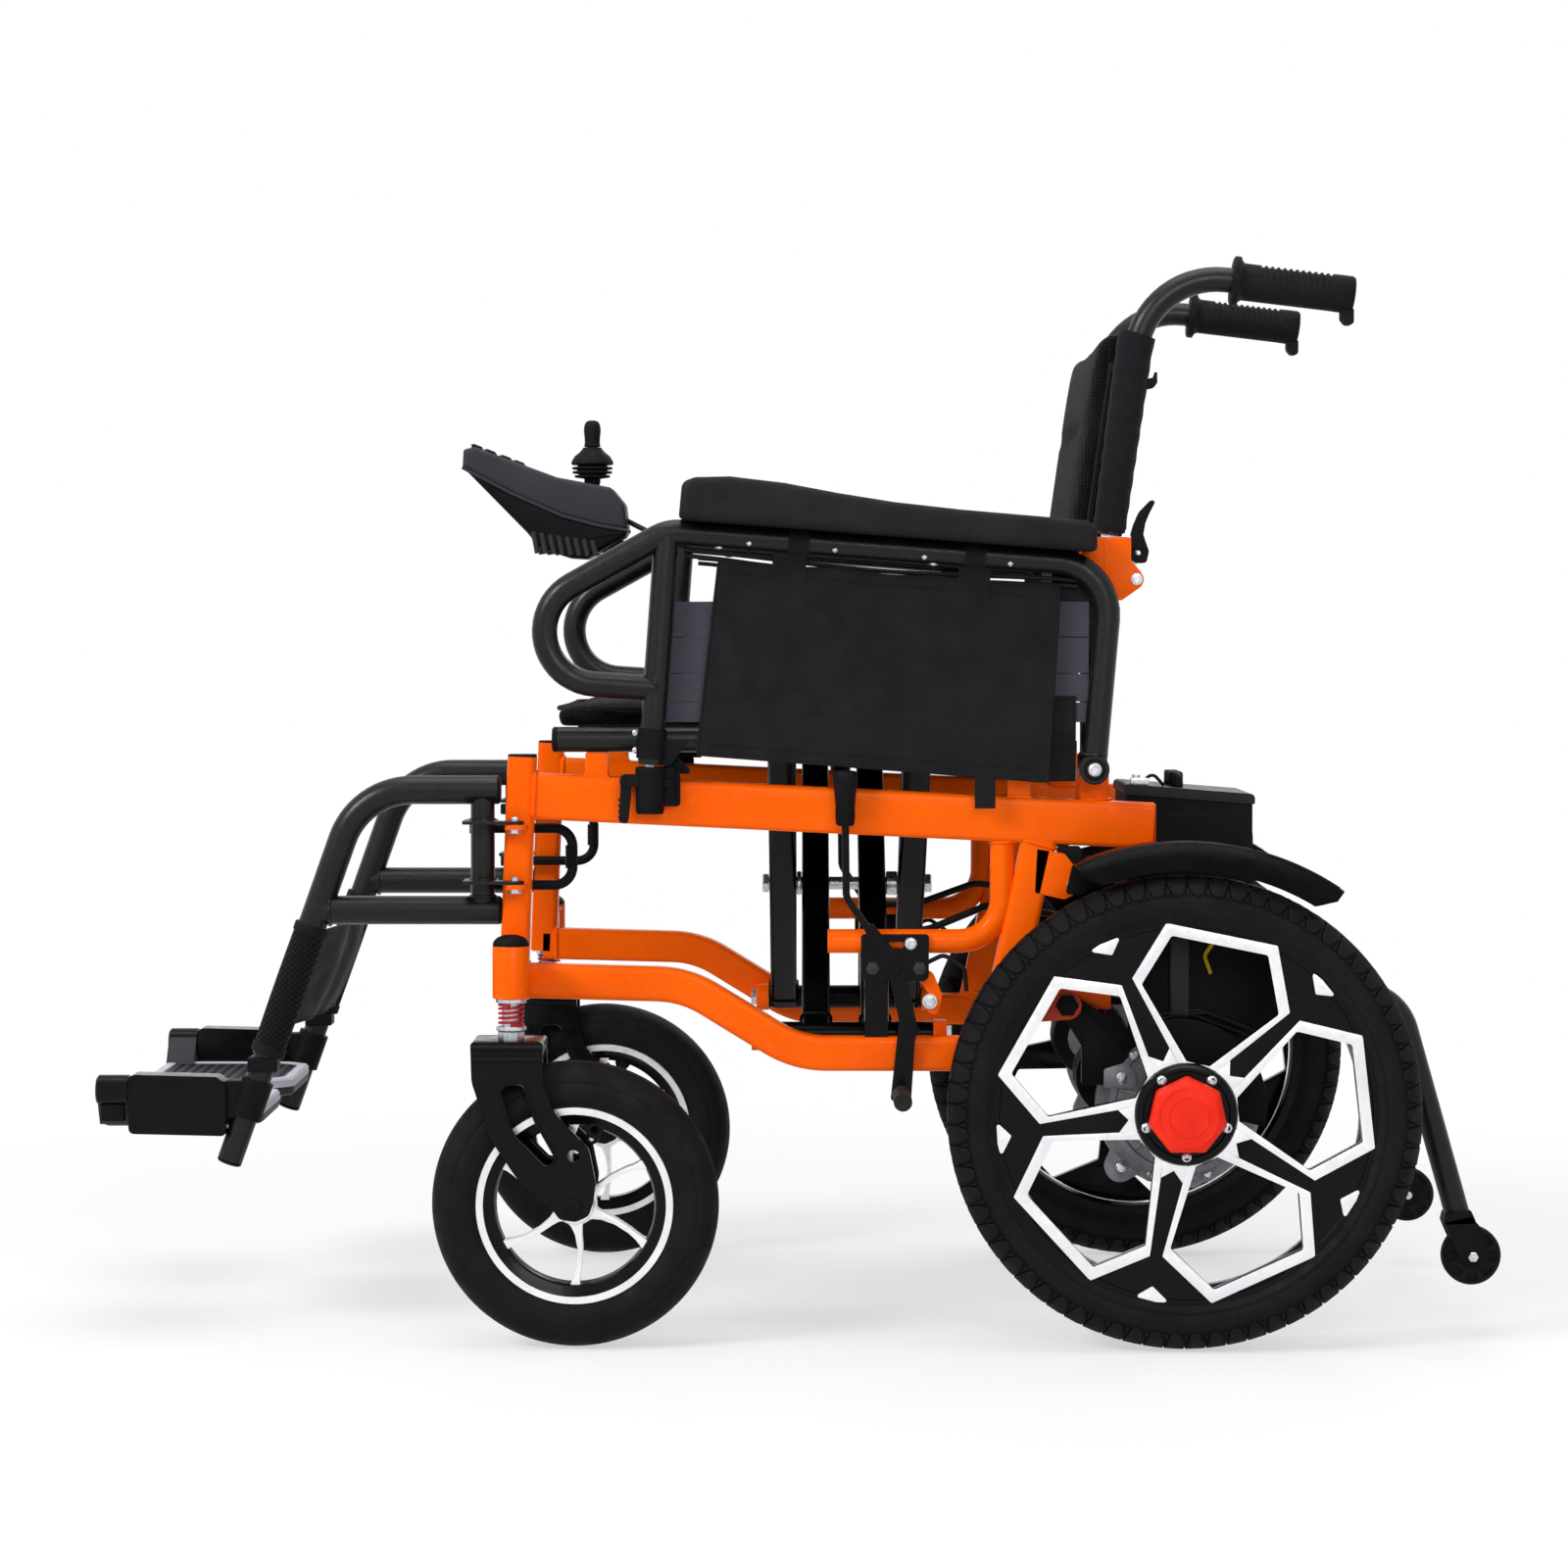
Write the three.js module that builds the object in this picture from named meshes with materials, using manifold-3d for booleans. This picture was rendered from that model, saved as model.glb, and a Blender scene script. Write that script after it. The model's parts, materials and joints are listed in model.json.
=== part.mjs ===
// Folding power wheelchair, in millimetres.
// The front faces -Y, the sitter's left is +X and the floor is Z = 0.
// Inside the chair, Y is measured rearward from the drive axle.

import * as THREE from 'three';
import { mergeVertices } from 'three/addons/utils/BufferGeometryUtils.js';
import Module from 'manifold-3d';

const wasm = await Module();
wasm.setup();

// ---------------------------------------------------------------- driving dimensions

const axleToMiddle = 330; // drive axle behind the middle of the chair's length
const clearance = 0.3; // between pieces that touch
const runningGap = 0.6; // between a pin and its bore

// Drive wheels
const wheelOffset = 60; // middle plane of a drive wheel outboard of the side frame's
const driveRadius = 205;
const driveTyreWidth = 54;
const driveTyreWall = 41; // tread to rim
const driveRimWidth = 40;
const driveRimWall = 12;
const driveSides = 32;
const spokeThickness = 12;
const windowBand = 11; // machined edge left round each window
const hubRadius = 43;
const hubReach = 24; // hub face outboard of the wheel's middle plane
const knobRadius = 34;
const knobDepth = 18;
const shaftRadius = 8.5;

// Casters
const casterOffset = 55; // middle plane of a caster outboard of the side frame's
const casterRadius = 125;
const casterTyreWidth = 44;
const casterTyreWall = 40;
const casterSides = 24;
const casterTrail = 55;
const forkPlate = 6; // thickness of a fork arm
const forkGap = 3; // fork arm to tyre
const crownRise = 17; // top of the fork's crown above the tyre
const crownDepth = 18;
const stemRadius = 8;
const nutHeight = 11;
const springRadius = 10.4; // of the coil's centre line
const springWire = 2.2;
const springTurns = 5;
const springLength = 20;
const headTubeRadius = 16;
const headTubeHeight = 47;
const washerHeight = 4; // spring seat under the head tube
const headY = -578.5; // swivel axis

// Side frames
const frameHalf = 205; // middle plane of a side frame
const railWidth = 25;
const railHeight = 40;
const railFrontY = -564;
const railRearY = -23;
const railFrontTop = 493;
const railFall = 26; // front to rear
const postHeadZ = 507;
const postLean = 8; // head of the front post behind its foot
const postFootY = -580;
const postFootZ = 305;
const lowerRailHeight = 30;
const lowerFrontZ = 308;
const lowerRearZ = 248;
const dipFrontY = -430; // the lower rail bends down here
const dipRearY = -332; // and level again here
const rearPostFootY = -164;
const rearPostHeadY = -118;
const hoopRadius = 10.5; // tube that carries the brake
const hoopZ = 346;
const hoopFrontY = -306;
const hoopRearY = -154;

// Cross brace
const pivotInset = 25; // bottom pivots inboard of the side frames
const pivotZ = 262;
const tubeRadius = 11; // seat rails, pivot tubes, armrests and back tubes
const seatRailZ = 522;
const seatRailFrontY = -546;
const seatRailRearY = -95;
const barSize = 25;
const innerBarY = [-316, -264];
const outerBarY = [-346, -228];
const boltRadius = 6;

// Armrests
const armGap = 1.5; // armrest tubes to the side frame's outer face
const armTopFrontY = -436;
const armTopFrontZ = 702;
const armTopRearY = -106;
const armTopRearZ = 676.4;
const armPivotY = -76;
const armPivotZ = 497;
const socketTopZ = 499.4;
const socketHeight = 41;
const socketRadius = 14.5;
const spigotRadius = 5;
const spigotLength = 18;
const padWidth = 54;
const loopReach = 126; // hand loop ahead of the front post's head
const loopFootZ = 571;
const guardHead = 22; // cloth panel's top edge under the tube's centre line
const guardFoot = 190;

// Back
const backInset = 7; // back tubes inboard of the side frames
const backPivotY = -38;
const backPivotZ = 661.5;
const backPostY = -75;
const bracketTopZ = 698;
const bracketFootZ = 643;
const bracketWidth = 30;
const hingeSlot = 8;
const backLean = 0.139; // rearward for each step up
const backMiddleY = -60.4; // the leaning tube passes here
const backMiddleZ = 700;
const handleBendRadius = 70; // the tube turns rearward into the grip
const gripFrontY = 44.5;
const gripFrontZ = 920.6;
const gripFall = 0.121; // toward the grip's end
const gripLength = 95;
const gripRadius = 16;

// Legrests
const legRadius = 12.5;
const legEyeRadius = 8; // eyes that swing past the front post
const legBendY = -714;
const legFootY = -829;
const legFootZ = 154;
const legTopZ = 478;
const legBarZ = 373;
const upperClevisZ = 450.5;
const lowerClevisZ = 398.5;
const clevisPlate = 3;
const sleeveTopZ = 356;
const sleeveFootZ = 251;
const hangerRadius = 11;
const latchInset = 22.5; // release handle inboard of the side frame
const latchReach = 82;
const footHingeInset = 1;
const footHingeZ = 215;
const footTopZ = 198;
const footThickness = 17;
const footWidth = 160;
const footInset = 19; // plate's outer edge inboard of the side frame
const footReach = 114; // hinge barrel's front ahead of the housing's rear
const footHeel = 26; // plate's rear edge behind the housing's rear
const barrelLength = 29;

// Brakes, motors and anti-tip bars
const brakePivotY = -247;
const brakePivotZ = 325;
const brakePlate = 5;
const gearRadius = 72;
const gearInset = 19; // gearbox's inner face inboard of the side frame
const gearDepth = 36;
const motorRadius = 36;
const motorLength = 49;
const lugY = -97;
const lugZ = 290;
const tipInset = 15; // anti-tip bars inboard of the side frames
const tipBarRise = 24; // of the level bar's centre line above the gearbox
const tipWheelRadius = 26;
const tipWheelY = 259;
const tipWheelZ = 69;

// Battery, mudguards and seat
const batteryInset = 33; // battery inboard of the left side frame
const batteryWidth = 130;
const batteryFrontY = -43;
const batteryRearY = 68;
const batteryFootZ = 293;
const batteryTopZ = 482;
const guardGap = 28; // mudguard outside the tyre
const guardWidth = 50;
const guardThickness = 3;
const seatThickness = 26;
const seatInset = 2; // seat cushion's edges inboard of the side frames
const seatCrown = 8;
const backrestThickness = 32;
const backrestCrown = 6;
const backrestFootZ = 600;
const backrestHeadZ = 880;
const backrestInset = 13; // back cushion's edges inboard of the back tubes

// Controller
const controllerOffset = 15; // outboard of the right armrest
const controllerWidth = 64;
const stickY = -534;
const stickBaseZ = 762;

// ---------------------------------------------------------------- worked out from them

const driveRimRadius = driveRadius - driveTyreWall;
const guardRadius = driveRadius + guardGap;
const casterRimRadius = casterRadius - casterTyreWall;
const axleHeight = driveRadius * Math.cos(Math.PI / driveSides); // a flat of the tyre is down
const casterAxleZ = casterRadius * Math.cos(Math.PI / casterSides);
const crownTop = casterAxleZ + casterRadius + crownRise;
const tipBarZ = axleHeight + gearRadius + tipBarRise;
const casterY = headY + casterTrail;
const frameOuter = frameHalf + railWidth / 2;
const frameInner = frameHalf - railWidth / 2;
const headTubeFootZ = crownTop + nutHeight + springLength + washerHeight;
const tipBarEndY = tipWheelY - 12;
const tipBarEndZ = tipWheelZ + 36;
const trackHalf = frameHalf + wheelOffset;
const casterHalf = frameHalf + casterOffset;
const pivotHalf = frameHalf - pivotInset;
const armHalf = frameOuter + armGap + tubeRadius;
const padInner = armHalf - tubeRadius;
const backHalf = frameHalf - backInset;
const tipHalf = frameHalf - tipInset;
const gearInner = frameHalf - gearInset;
const gearOuter = gearInner + gearDepth;
const motorInner = gearInner - motorLength;
const batteryOuter = frameHalf - batteryInset;
const batteryInner = batteryOuter - batteryWidth;
const seatHalf = frameHalf - seatInset;
const backrestHalf = backHalf - backrestInset;
const controllerHalf = armHalf + controllerOffset;
const latchHalf = frameHalf - latchInset;
const footHingeHalf = frameHalf - footHingeInset;
const footOuter = frameHalf - footInset;
const footInner = footOuter - footWidth;
const legHingeHalf = frameOuter + legEyeRadius + 2 * clearance;
const railTop = (y) => railFrontTop - (railFall * (y - railFrontY)) / (railRearY - railFrontY);
const postY = (z) => postFootY + (postLean * (z - postFootZ)) / (postHeadZ - postFootZ);
const legHingeY = postY(legBarZ);
const legY = (z) => legBendY + ((legFootY - legBendY) * (legTopZ - z)) / (legTopZ - legFootZ);
const uprightY = legHingeY - railWidth / 2 - 17;
const latchY = uprightY - 5;
const housingRearY = legY(footHingeZ) - 24;
const footFrontY = housingRearY - footReach;
const footRearY = housingRearY + footHeel;
const armTop = (y) => armTopFrontZ
  + ((armTopRearZ - armTopFrontZ) * (y - armTopFrontY)) / (armTopRearY - armTopFrontY);

// ---------------------------------------------------------------- materials

const finish = (color, roughness, metalness) => () =>
  new THREE.MeshStandardMaterial({ color, roughness, metalness });
const orangePaint = finish(0xff6a00, 0.3, 0.1);
const blackPaint = finish(0x1b1b1d, 0.4, 0.3);
const blackPlastic = finish(0x151515, 0.55, 0);
const rubber = finish(0x171719, 0.8, 0);
const castAlloy = finish(0x9a9a9c, 0.45, 0.8);
const machinedAlloy = finish(0xd9d9dc, 0.25, 0.9);
const redPlastic = finish(0xf02a10, 0.4, 0);
const redSpring = finish(0xa01812, 0.35, 0.4);
const blackCloth = finish(0x18181a, 0.95, 0);

// ---------------------------------------------------------------- solids

/** A closed three.js geometry as a solid; one wound inward is turned out. */
function solid(geometry) {
  const bare = geometry.clone();
  bare.deleteAttribute('normal');
  bare.deleteAttribute('uv');
  const merged = mergeVertices(bare, 1e-3);
  const points = merged.attributes.position.array;
  const faces = [];
  let volume = 0;
  const [a, b, c] = [new THREE.Vector3(), new THREE.Vector3(), new THREE.Vector3()];
  for (let i = 0; i < merged.index.count; i += 3) {
    const [p, q, r] = [0, 1, 2].map((k) => merged.index.array[i + k]);
    if (p === q || q === r || r === p) continue;
    faces.push(p, q, r);
    volume += a.fromArray(points, 3 * p).dot(b.fromArray(points, 3 * q).cross(c.fromArray(points, 3 * r)));
  }
  if (volume < 0) faces.reverse();
  return new wasm.Manifold(new wasm.Mesh({
    numProp: 3, vertProperties: points, triVerts: new Uint32Array(faces),
  }));
}

const join = (...bodies) => bodies.reduce((all, body) => all.add(body));
const cut = (body, ...tools) => tools.reduce((left, tool) => left.subtract(tool), body);
const at = (x, y, z) => new THREE.Vector3(x, y, z);
const point2 = ([a, b]) => new THREE.Vector2(a, b);

/** Block between two values along each axis. */
function block([x0, x1], [y0, y1], [z0, z1]) {
  const box = new THREE.BoxGeometry(x1 - x0, y1 - y0, z1 - z0);
  return solid(box.translate((x0 + x1) / 2, (y0 + y1) / 2, (z0 + z1) / 2));
}

/** Round bar, or a cone, between two points. */
function rod(from, to, radius, sides = 8, endRadius = radius) {
  const along = to.clone().sub(from);
  const bar = new THREE.CylinderGeometry(endRadius, radius, along.length(), sides);
  bar.rotateY(Math.PI / sides);
  const turn = new THREE.Quaternion().setFromUnitVectors(at(0, 1, 0), along.normalize());
  bar.applyQuaternion(turn);
  const middle = from.clone().add(to).multiplyScalar(0.5);
  return solid(bar.translate(middle.x, middle.y, middle.z));
}

/** Round hole whose flats clear a pin by a gap. */
function hole(from, to, pinRadius, gap = runningGap, sides = 10) {
  return rod(from, to, (pinRadius + gap) / Math.cos(Math.PI / sides), sides);
}

/** Outline drawn in the plane across an axis, and extruded along that axis. */
function plate(axis, outline, [from, to], holes = []) {
  const shape = new THREE.Shape(outline.map(point2));
  shape.holes = holes.map((hole) => new THREE.Path(hole.map(point2)));
  const slab = new THREE.ExtrudeGeometry(shape, { depth: to - from, bevelEnabled: false });
  return solid(stand(slab, axis, from));
}

/** Turns a slab drawn in XY to lie across an axis: YZ across x, XZ across y. */
function stand(slab, axis, from) {
  const across = new THREE.Matrix4();
  if (axis === 'x') across.makeBasis(at(0, 1, 0), at(0, 0, 1), at(1, 0, 0)).setPosition(from, 0, 0);
  if (axis === 'y') across.makeBasis(at(1, 0, 0), at(0, 0, 1), at(0, 1, 0)).setPosition(0, from, 0);
  if (axis === 'z') across.makeTranslation(0, 0, from);
  return slab.applyMatrix4(across);
}

/** Profile of [radius, distance along x] turned about an X axis, with a flat underneath. */
function turnedX(profile, [x, y, z], sides) {
  const lathe = new THREE.LatheGeometry(profile.map(point2), sides, Math.PI / sides);
  const lay = new THREE.Matrix4().makeBasis(at(0, 1, 0), at(1, 0, 0), at(0, 0, -1));
  return solid(lathe.applyMatrix4(lay.setPosition(x, y, z)));
}

/** Profile of [radius, height] turned about a vertical axis. */
function turnedZ(profile, [x, y, z], sides) {
  const lathe = new THREE.LatheGeometry(profile.map(point2), sides);
  const lay = new THREE.Matrix4().makeBasis(at(1, 0, 0), at(0, 0, 1), at(0, -1, 0));
  return solid(lathe.applyMatrix4(lay.setPosition(x, y, z)));
}

/** Ring of points on a circle, for sections and holes. */
function ring(radius, sides, [a, b] = [0, 0]) {
  return Array.from({ length: sides }, (_, i) => {
    const turn = (2 * Math.PI * (i + 0.5)) / sides;
    return [a + radius * Math.cos(turn), b + radius * Math.sin(turn)];
  });
}

const oblong = (across, along) => [
  [-across / 2, -along / 2], [across / 2, -along / 2], [across / 2, along / 2], [-across / 2, along / 2],
];

/** Centre line through chosen points, one ring of the tube at each. */
class CentreLine extends THREE.Curve {
  constructor(points) {
    super();
    this.points = points;
  }

  getPoint(t, target = new THREE.Vector3()) {
    const place = t * (this.points.length - 1);
    const i = Math.min(Math.floor(place), this.points.length - 2);
    return target.lerpVectors(this.points[i], this.points[i + 1], place - i);
  }

  getSpacedPoints(divisions) {
    return Array.from({ length: divisions + 1 }, (_, i) => this.getPoint(i / divisions));
  }

  getTangentAt(t, target = new THREE.Vector3()) {
    const last = this.points.length - 1;
    const i = Math.round(t * last);
    const before = this.points[Math.max(i - 1, 0)];
    const here = this.points[i];
    const after = this.points[Math.min(i + 1, last)];
    const ahead = after.clone().sub(here).normalize();
    return target.copy(here).sub(before).normalize().add(ahead).normalize();
  }
}

/** Points along straight runs, with each corner rounded to the bend radius. */
function bent(corners, bendRadius, stepDegrees = 24) {
  const points = [corners[0]];
  for (let i = 1; i < corners.length - 1; i += 1) {
    const into = corners[i].clone().sub(corners[i - 1]).normalize();
    const out = corners[i + 1].clone().sub(corners[i]).normalize();
    const angle = into.angleTo(out);
    const side = out.clone().addScaledVector(into, -into.dot(out)).normalize();
    const start = corners[i].clone().addScaledVector(into, -bendRadius * Math.tan(angle / 2));
    const steps = Math.max(1, Math.ceil(angle / THREE.MathUtils.degToRad(stepDegrees)));
    for (let k = 0; k <= steps; k += 1) {
      const turn = (angle * k) / steps;
      points.push(start.clone().addScaledVector(into, bendRadius * Math.sin(turn))
        .addScaledVector(side, bendRadius * (1 - Math.cos(turn))));
    }
  }
  points.push(corners[corners.length - 1]);
  return points;
}

/** Section carried along points; in a side view its first axis lies along X. */
function sweep(section, points) {
  const line = new CentreLine(points);
  const shape = new THREE.Shape(section.map(point2));
  return solid(new THREE.ExtrudeGeometry(shape, { steps: points.length - 1, extrudePath: line }));
}

const tube = (radius, points, sides = 8) => sweep(ring(radius, sides), points);
const tubeFlat = (radius) => radius * Math.cos(Math.PI / 8); // middle of a tube to its flat sides
const sideView = (x, corners) => corners.map(([y, z]) => at(x, y, z));

/** Closed body between two grids of points, rows by columns, joined round their edges. */
function between(rows, columns, front, back) {
  const vertices = [];
  for (const surface of [front, back]) {
    for (let i = 0; i <= rows; i += 1) {
      for (let j = 0; j <= columns; j += 1) vertices.push(...surface(i / rows, j / columns));
    }
  }
  const side = (rows + 1) * (columns + 1);
  const index = (i, j) => i * (columns + 1) + j;
  const faces = [];
  const quad = (a, b, c, d) => faces.push(a, b, c, a, c, d);
  for (let i = 0; i < rows; i += 1) {
    for (let j = 0; j < columns; j += 1) {
      const corners = [index(i, j), index(i, j + 1), index(i + 1, j + 1), index(i + 1, j)];
      quad(...corners);
      quad(...corners.map((k) => k + side).reverse());
    }
  }
  const rim = [];
  for (let j = 0; j < columns; j += 1) rim.push(index(0, j));
  for (let i = 0; i < rows; i += 1) rim.push(index(i, columns));
  for (let j = columns; j > 0; j -= 1) rim.push(index(rows, j));
  for (let i = rows; i > 0; i -= 1) rim.push(index(i, 0));
  rim.forEach((k, n) => {
    const next = rim[(n + 1) % rim.length];
    quad(next, k, k + side, next + side);
  });
  const geometry = new THREE.BufferGeometry();
  geometry.setAttribute('position', new THREE.Float32BufferAttribute(vertices, 3));
  geometry.setIndex(faces);
  return solid(geometry);
}

// ---------------------------------------------------------------- drive wheels

function driveTyre() {
  const bead = driveRimRadius + clearance;
  const half = driveTyreWidth / 2;
  const wall = driveRadius - bead;
  const outline = [
    [bead, -0.7 * half], [bead, 0.7 * half], [bead + 0.35 * wall, half], [bead + 0.7 * wall, half],
    [driveRadius, 0.45 * half], [driveRadius, -0.45 * half],
    [bead + 0.7 * wall, -half], [bead + 0.35 * wall, -half],
  ];
  return turnedX([...outline, outline[0]], [trackHalf, 0, axleHeight], driveSides);
}

/** One window's corners: radius as a share of the rim's, and angle from the horizontal. */
const windowCorners = [[0.76, 112], [0.29, 92], [0.3, 62], [0.75, 44.7], [1, 62], [1, 96]];

/** A convex outline moved inward by a distance. */
function inset(outline, distance) {
  const count = outline.length;
  const edges = outline.map((corner, i) => {
    const next = outline[(i + 1) % count];
    const run = [next[0] - corner[0], next[1] - corner[1]];
    const length = Math.hypot(...run);
    const inward = [-run[1] / length, run[0] / length];
    return { base: [corner[0] + distance * inward[0], corner[1] + distance * inward[1]], run };
  });
  return edges.map((edge, i) => {
    const last = edges[(i + count - 1) % count];
    const cross = last.run[0] * edge.run[1] - last.run[1] * edge.run[0];
    const away = [edge.base[0] - last.base[0], edge.base[1] - last.base[1]];
    const share = (away[0] * edge.run[1] - away[1] * edge.run[0]) / cross;
    return [last.base[0] + share * last.run[0], last.base[1] + share * last.run[1]];
  });
}

function driveRim() {
  const inner = driveRimRadius - driveRimWall;
  const half = driveRimWidth / 2;
  const barrel = [[inner, -half], [driveRimRadius, -half], [driveRimRadius, half], [inner, half]];
  const holes = Array.from({ length: 5 }, (_, n) => {
    const corners = windowCorners.map(([share, degrees]) => {
      const turn = THREE.MathUtils.degToRad(degrees + 72 * n);
      const radius = share * driveRimRadius;
      return [radius * Math.cos(turn), axleHeight + radius * Math.sin(turn)];
    });
    return inset(corners, windowBand);
  });
  const face = trackHalf + half;
  const disc = plate('x', ring(inner + 2, driveSides, [0, axleHeight]), [face - spokeThickness, face], holes);
  const hub = rod(at(trackHalf - half, 0, axleHeight), at(trackHalf + hubReach, 0, axleHeight), hubRadius, 24);
  const bore = hole(at(0, 0, axleHeight), at(2 * trackHalf, 0, axleHeight), shaftRadius);
  const hollow = turnedX([...barrel, barrel[0]], [trackHalf, 0, axleHeight], driveSides);
  return cut(join(hollow, disc, hub), bore);
}

function clutchKnob() {
  const foot = trackHalf + hubReach + clearance;
  const profile = [[0, 0], [knobRadius, 0], [knobRadius, 0.7 * knobDepth], [0.8 * knobRadius, knobDepth], [0, knobDepth]];
  return turnedX(profile, [foot, 0, axleHeight], 7);
}

/** Gearbox, motor can, output shaft, mounting arm and lead, as one bolted unit. */
function motor() {
  const boss = trackHalf - driveRimWidth / 2 - runningGap;
  const gear = [
    [0, gearInner], [gearRadius - 8, gearInner], [gearRadius, gearInner + 8],
    [gearRadius, gearOuter - 6], [gearRadius - 10, gearOuter], [30, gearOuter],
    [26, boss], [shaftRadius, boss], [shaftRadius, trackHalf + hubReach - 1], [0, trackHalf + hubReach - 1],
  ];
  const canY = -0.72 * gearRadius;
  const canZ = axleHeight + 0.3 * gearRadius;
  const can = rod(at(motorInner, canY, canZ), at(gearInner + 4, canY, canZ), motorRadius, 16);
  const armInner = frameHalf + 9;
  const arm = plate('x', [
    [lugY - 12, lugZ - 6], [lugY - 2, lugZ - 12], [-0.8 * gearRadius, axleHeight + 0.1 * gearRadius],
    [-0.4 * gearRadius, axleHeight + 0.8 * gearRadius], [lugY + 14, lugZ + 4], [lugY + 4, lugZ + 12],
    [lugY - 8, lugZ + 10],
  ], [armInner, gearOuter - 2]);
  const pin = rod(at(frameHalf - 6, lugY, lugZ), at(armInner + 2, lugY, lugZ), 6, 12);
  const leadEnd = at(frameInner - clearance, -138, 350);
  const lead = tube(3.5, bent([
    at(motorInner + 20, canY - 10, canZ + motorRadius - 8), at(motorInner + 20, canY - 16, 318),
    at(motorInner + 30, -138, 350), leadEnd,
  ], 12, 40), 6);
  return join(turnedX(gear, [0, 0, axleHeight], 24), can, arm, pin, lead);
}

// ---------------------------------------------------------------- casters

function casterTyre() {
  const bead = casterRimRadius + clearance;
  const half = casterTyreWidth / 2;
  const wall = casterRadius - bead;
  const outline = [
    [bead, -0.75 * half], [bead, 0.75 * half], [bead + 0.4 * wall, half],
    [bead + 0.8 * wall, 0.85 * half], [casterRadius, 0.4 * half], [casterRadius, -0.4 * half],
    [bead + 0.8 * wall, -0.85 * half], [bead + 0.4 * wall, -half],
  ];
  return turnedX([...outline, outline[0]], [casterHalf, casterY, casterAxleZ], casterSides);
}

function casterRim() {
  const half = 0.75 * (casterTyreWidth / 2);
  const inner = casterRimRadius - 15;
  const barrel = [[inner, -half], [casterRimRadius, -half], [casterRimRadius, half], [inner, half]];
  const centre = [casterHalf, casterY, casterAxleZ];
  const hub = rod(at(casterHalf - half - 2, casterY, casterAxleZ), at(casterHalf + half + 2, casterY, casterAxleZ), 17, 12);
  const spokes = Array.from({ length: 6 }, (_, n) => {
    const turn = THREE.MathUtils.degToRad(24 + 60 * n);
    const [across, along] = [[-Math.sin(turn), Math.cos(turn)], [Math.cos(turn), Math.sin(turn)]];
    const corner = (r, w) => [casterY + r * along[0] + w * across[0], casterAxleZ + r * along[1] + w * across[1]];
    return plate('x', [corner(8, -5), corner(45, -2.5), corner(inner + 2, -6), corner(inner + 2, 6),
      corner(45, 2.5), corner(8, 5)], [casterHalf + half - 9, casterHalf + half]);
  });
  const bore = hole(at(casterHalf - 40, casterY, casterAxleZ), at(casterHalf + 40, casterY, casterAxleZ), 5);
  return cut(join(turnedX([...barrel, barrel[0]], centre, casterSides), hub, ...spokes), bore);
}

/** Fork with its pressed-in stem, spring seat and wheel axle. */
function casterFork() {
  const armInner = casterTyreWidth / 2 + forkGap;
  const outline = [
    [headY - 33, crownTop], [headY - 32, crownTop - 32], [headY - 16, casterAxleZ + 59],
    [headY + 6, casterAxleZ + 25.5],
    [casterY - 17, casterAxleZ - 7], [casterY, casterAxleZ - 13], [casterY + 11, casterAxleZ - 5],
    [casterY + 17, casterAxleZ + 18], [casterY + 14, casterAxleZ + 49], [casterY + 5, casterAxleZ + 56],
    [headY + 38, casterAxleZ + 81], [headY + 29, crownTop - 32], [headY + 29, crownTop],
  ];
  const slot = [
    [headY - 9, crownTop - 40], [headY + 13, crownTop - 40], [headY + 19, casterAxleZ + 76],
    [headY + 39, casterAxleZ + 38], [headY + 31, casterAxleZ + 32], [headY + 7, casterAxleZ + 61],
  ];
  const arms = [-1, 1].map((side) => {
    const near = casterHalf + side * armInner;
    const far = casterHalf + side * (armInner + forkPlate);
    return plate('x', outline, [Math.min(near, far), Math.max(near, far)], [slot]);
  });
  const half = armInner + forkPlate;
  const crown = block([casterHalf - half, casterHalf + half], [headY - 31, headY + 29], [crownTop - crownDepth, crownTop]);
  const clear = casterRadius + 4;
  const wheelArch = rod(at(casterHalf - armInner, casterY, casterAxleZ), at(casterHalf + armInner, casterY, casterAxleZ), clear, 32);
  const seat = crownTop + nutHeight;
  const stem = turnedZ([
    [0, crownTop - 4], [11, crownTop - 4], [11, seat - 2.4], [13, seat - 2.4], [13, seat], [stemRadius, seat],
    [stemRadius, headTubeFootZ + headTubeHeight - 12], [0, headTubeFootZ + headTubeHeight - 12],
  ], [casterHalf, headY, 0], 12);
  const axle = rod(at(casterHalf - half + 1, casterY, casterAxleZ), at(casterHalf + half - 1, casterY, casterAxleZ), 5, 12);
  return join(cut(crown, wheelArch), ...arms, stem, axle);
}

/** Open coil with its ends turned square to their seats. */
function casterSpring() {
  const foot = crownTop + nutHeight + clearance;
  const head = foot + springLength - 2 * clearance;
  const steps = 8 * springTurns;
  const low = foot + springWire;
  const rise = head - foot - 2 * springWire;
  const coil = Array.from({ length: steps + 1 }, (_, i) => {
    const turn = (2 * Math.PI * i) / 8;
    return at(casterHalf + springRadius * Math.cos(turn), headY + springRadius * Math.sin(turn), low + (rise * i) / steps);
  });
  let gap = Infinity;
  coil.forEach((p, i) => coil.slice(i + 3).forEach((q) => { gap = Math.min(gap, p.distanceTo(q) - springWire); }));
  console.log(`caster spring, least gap between turns: ${gap.toFixed(2)} mm`);
  const [first, last] = [coil[0], coil[steps]];
  return tube(springWire / 2, [at(first.x, first.y, foot), ...coil, at(last.x, last.y, head)], 5);
}

// ---------------------------------------------------------------- side frames

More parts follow.
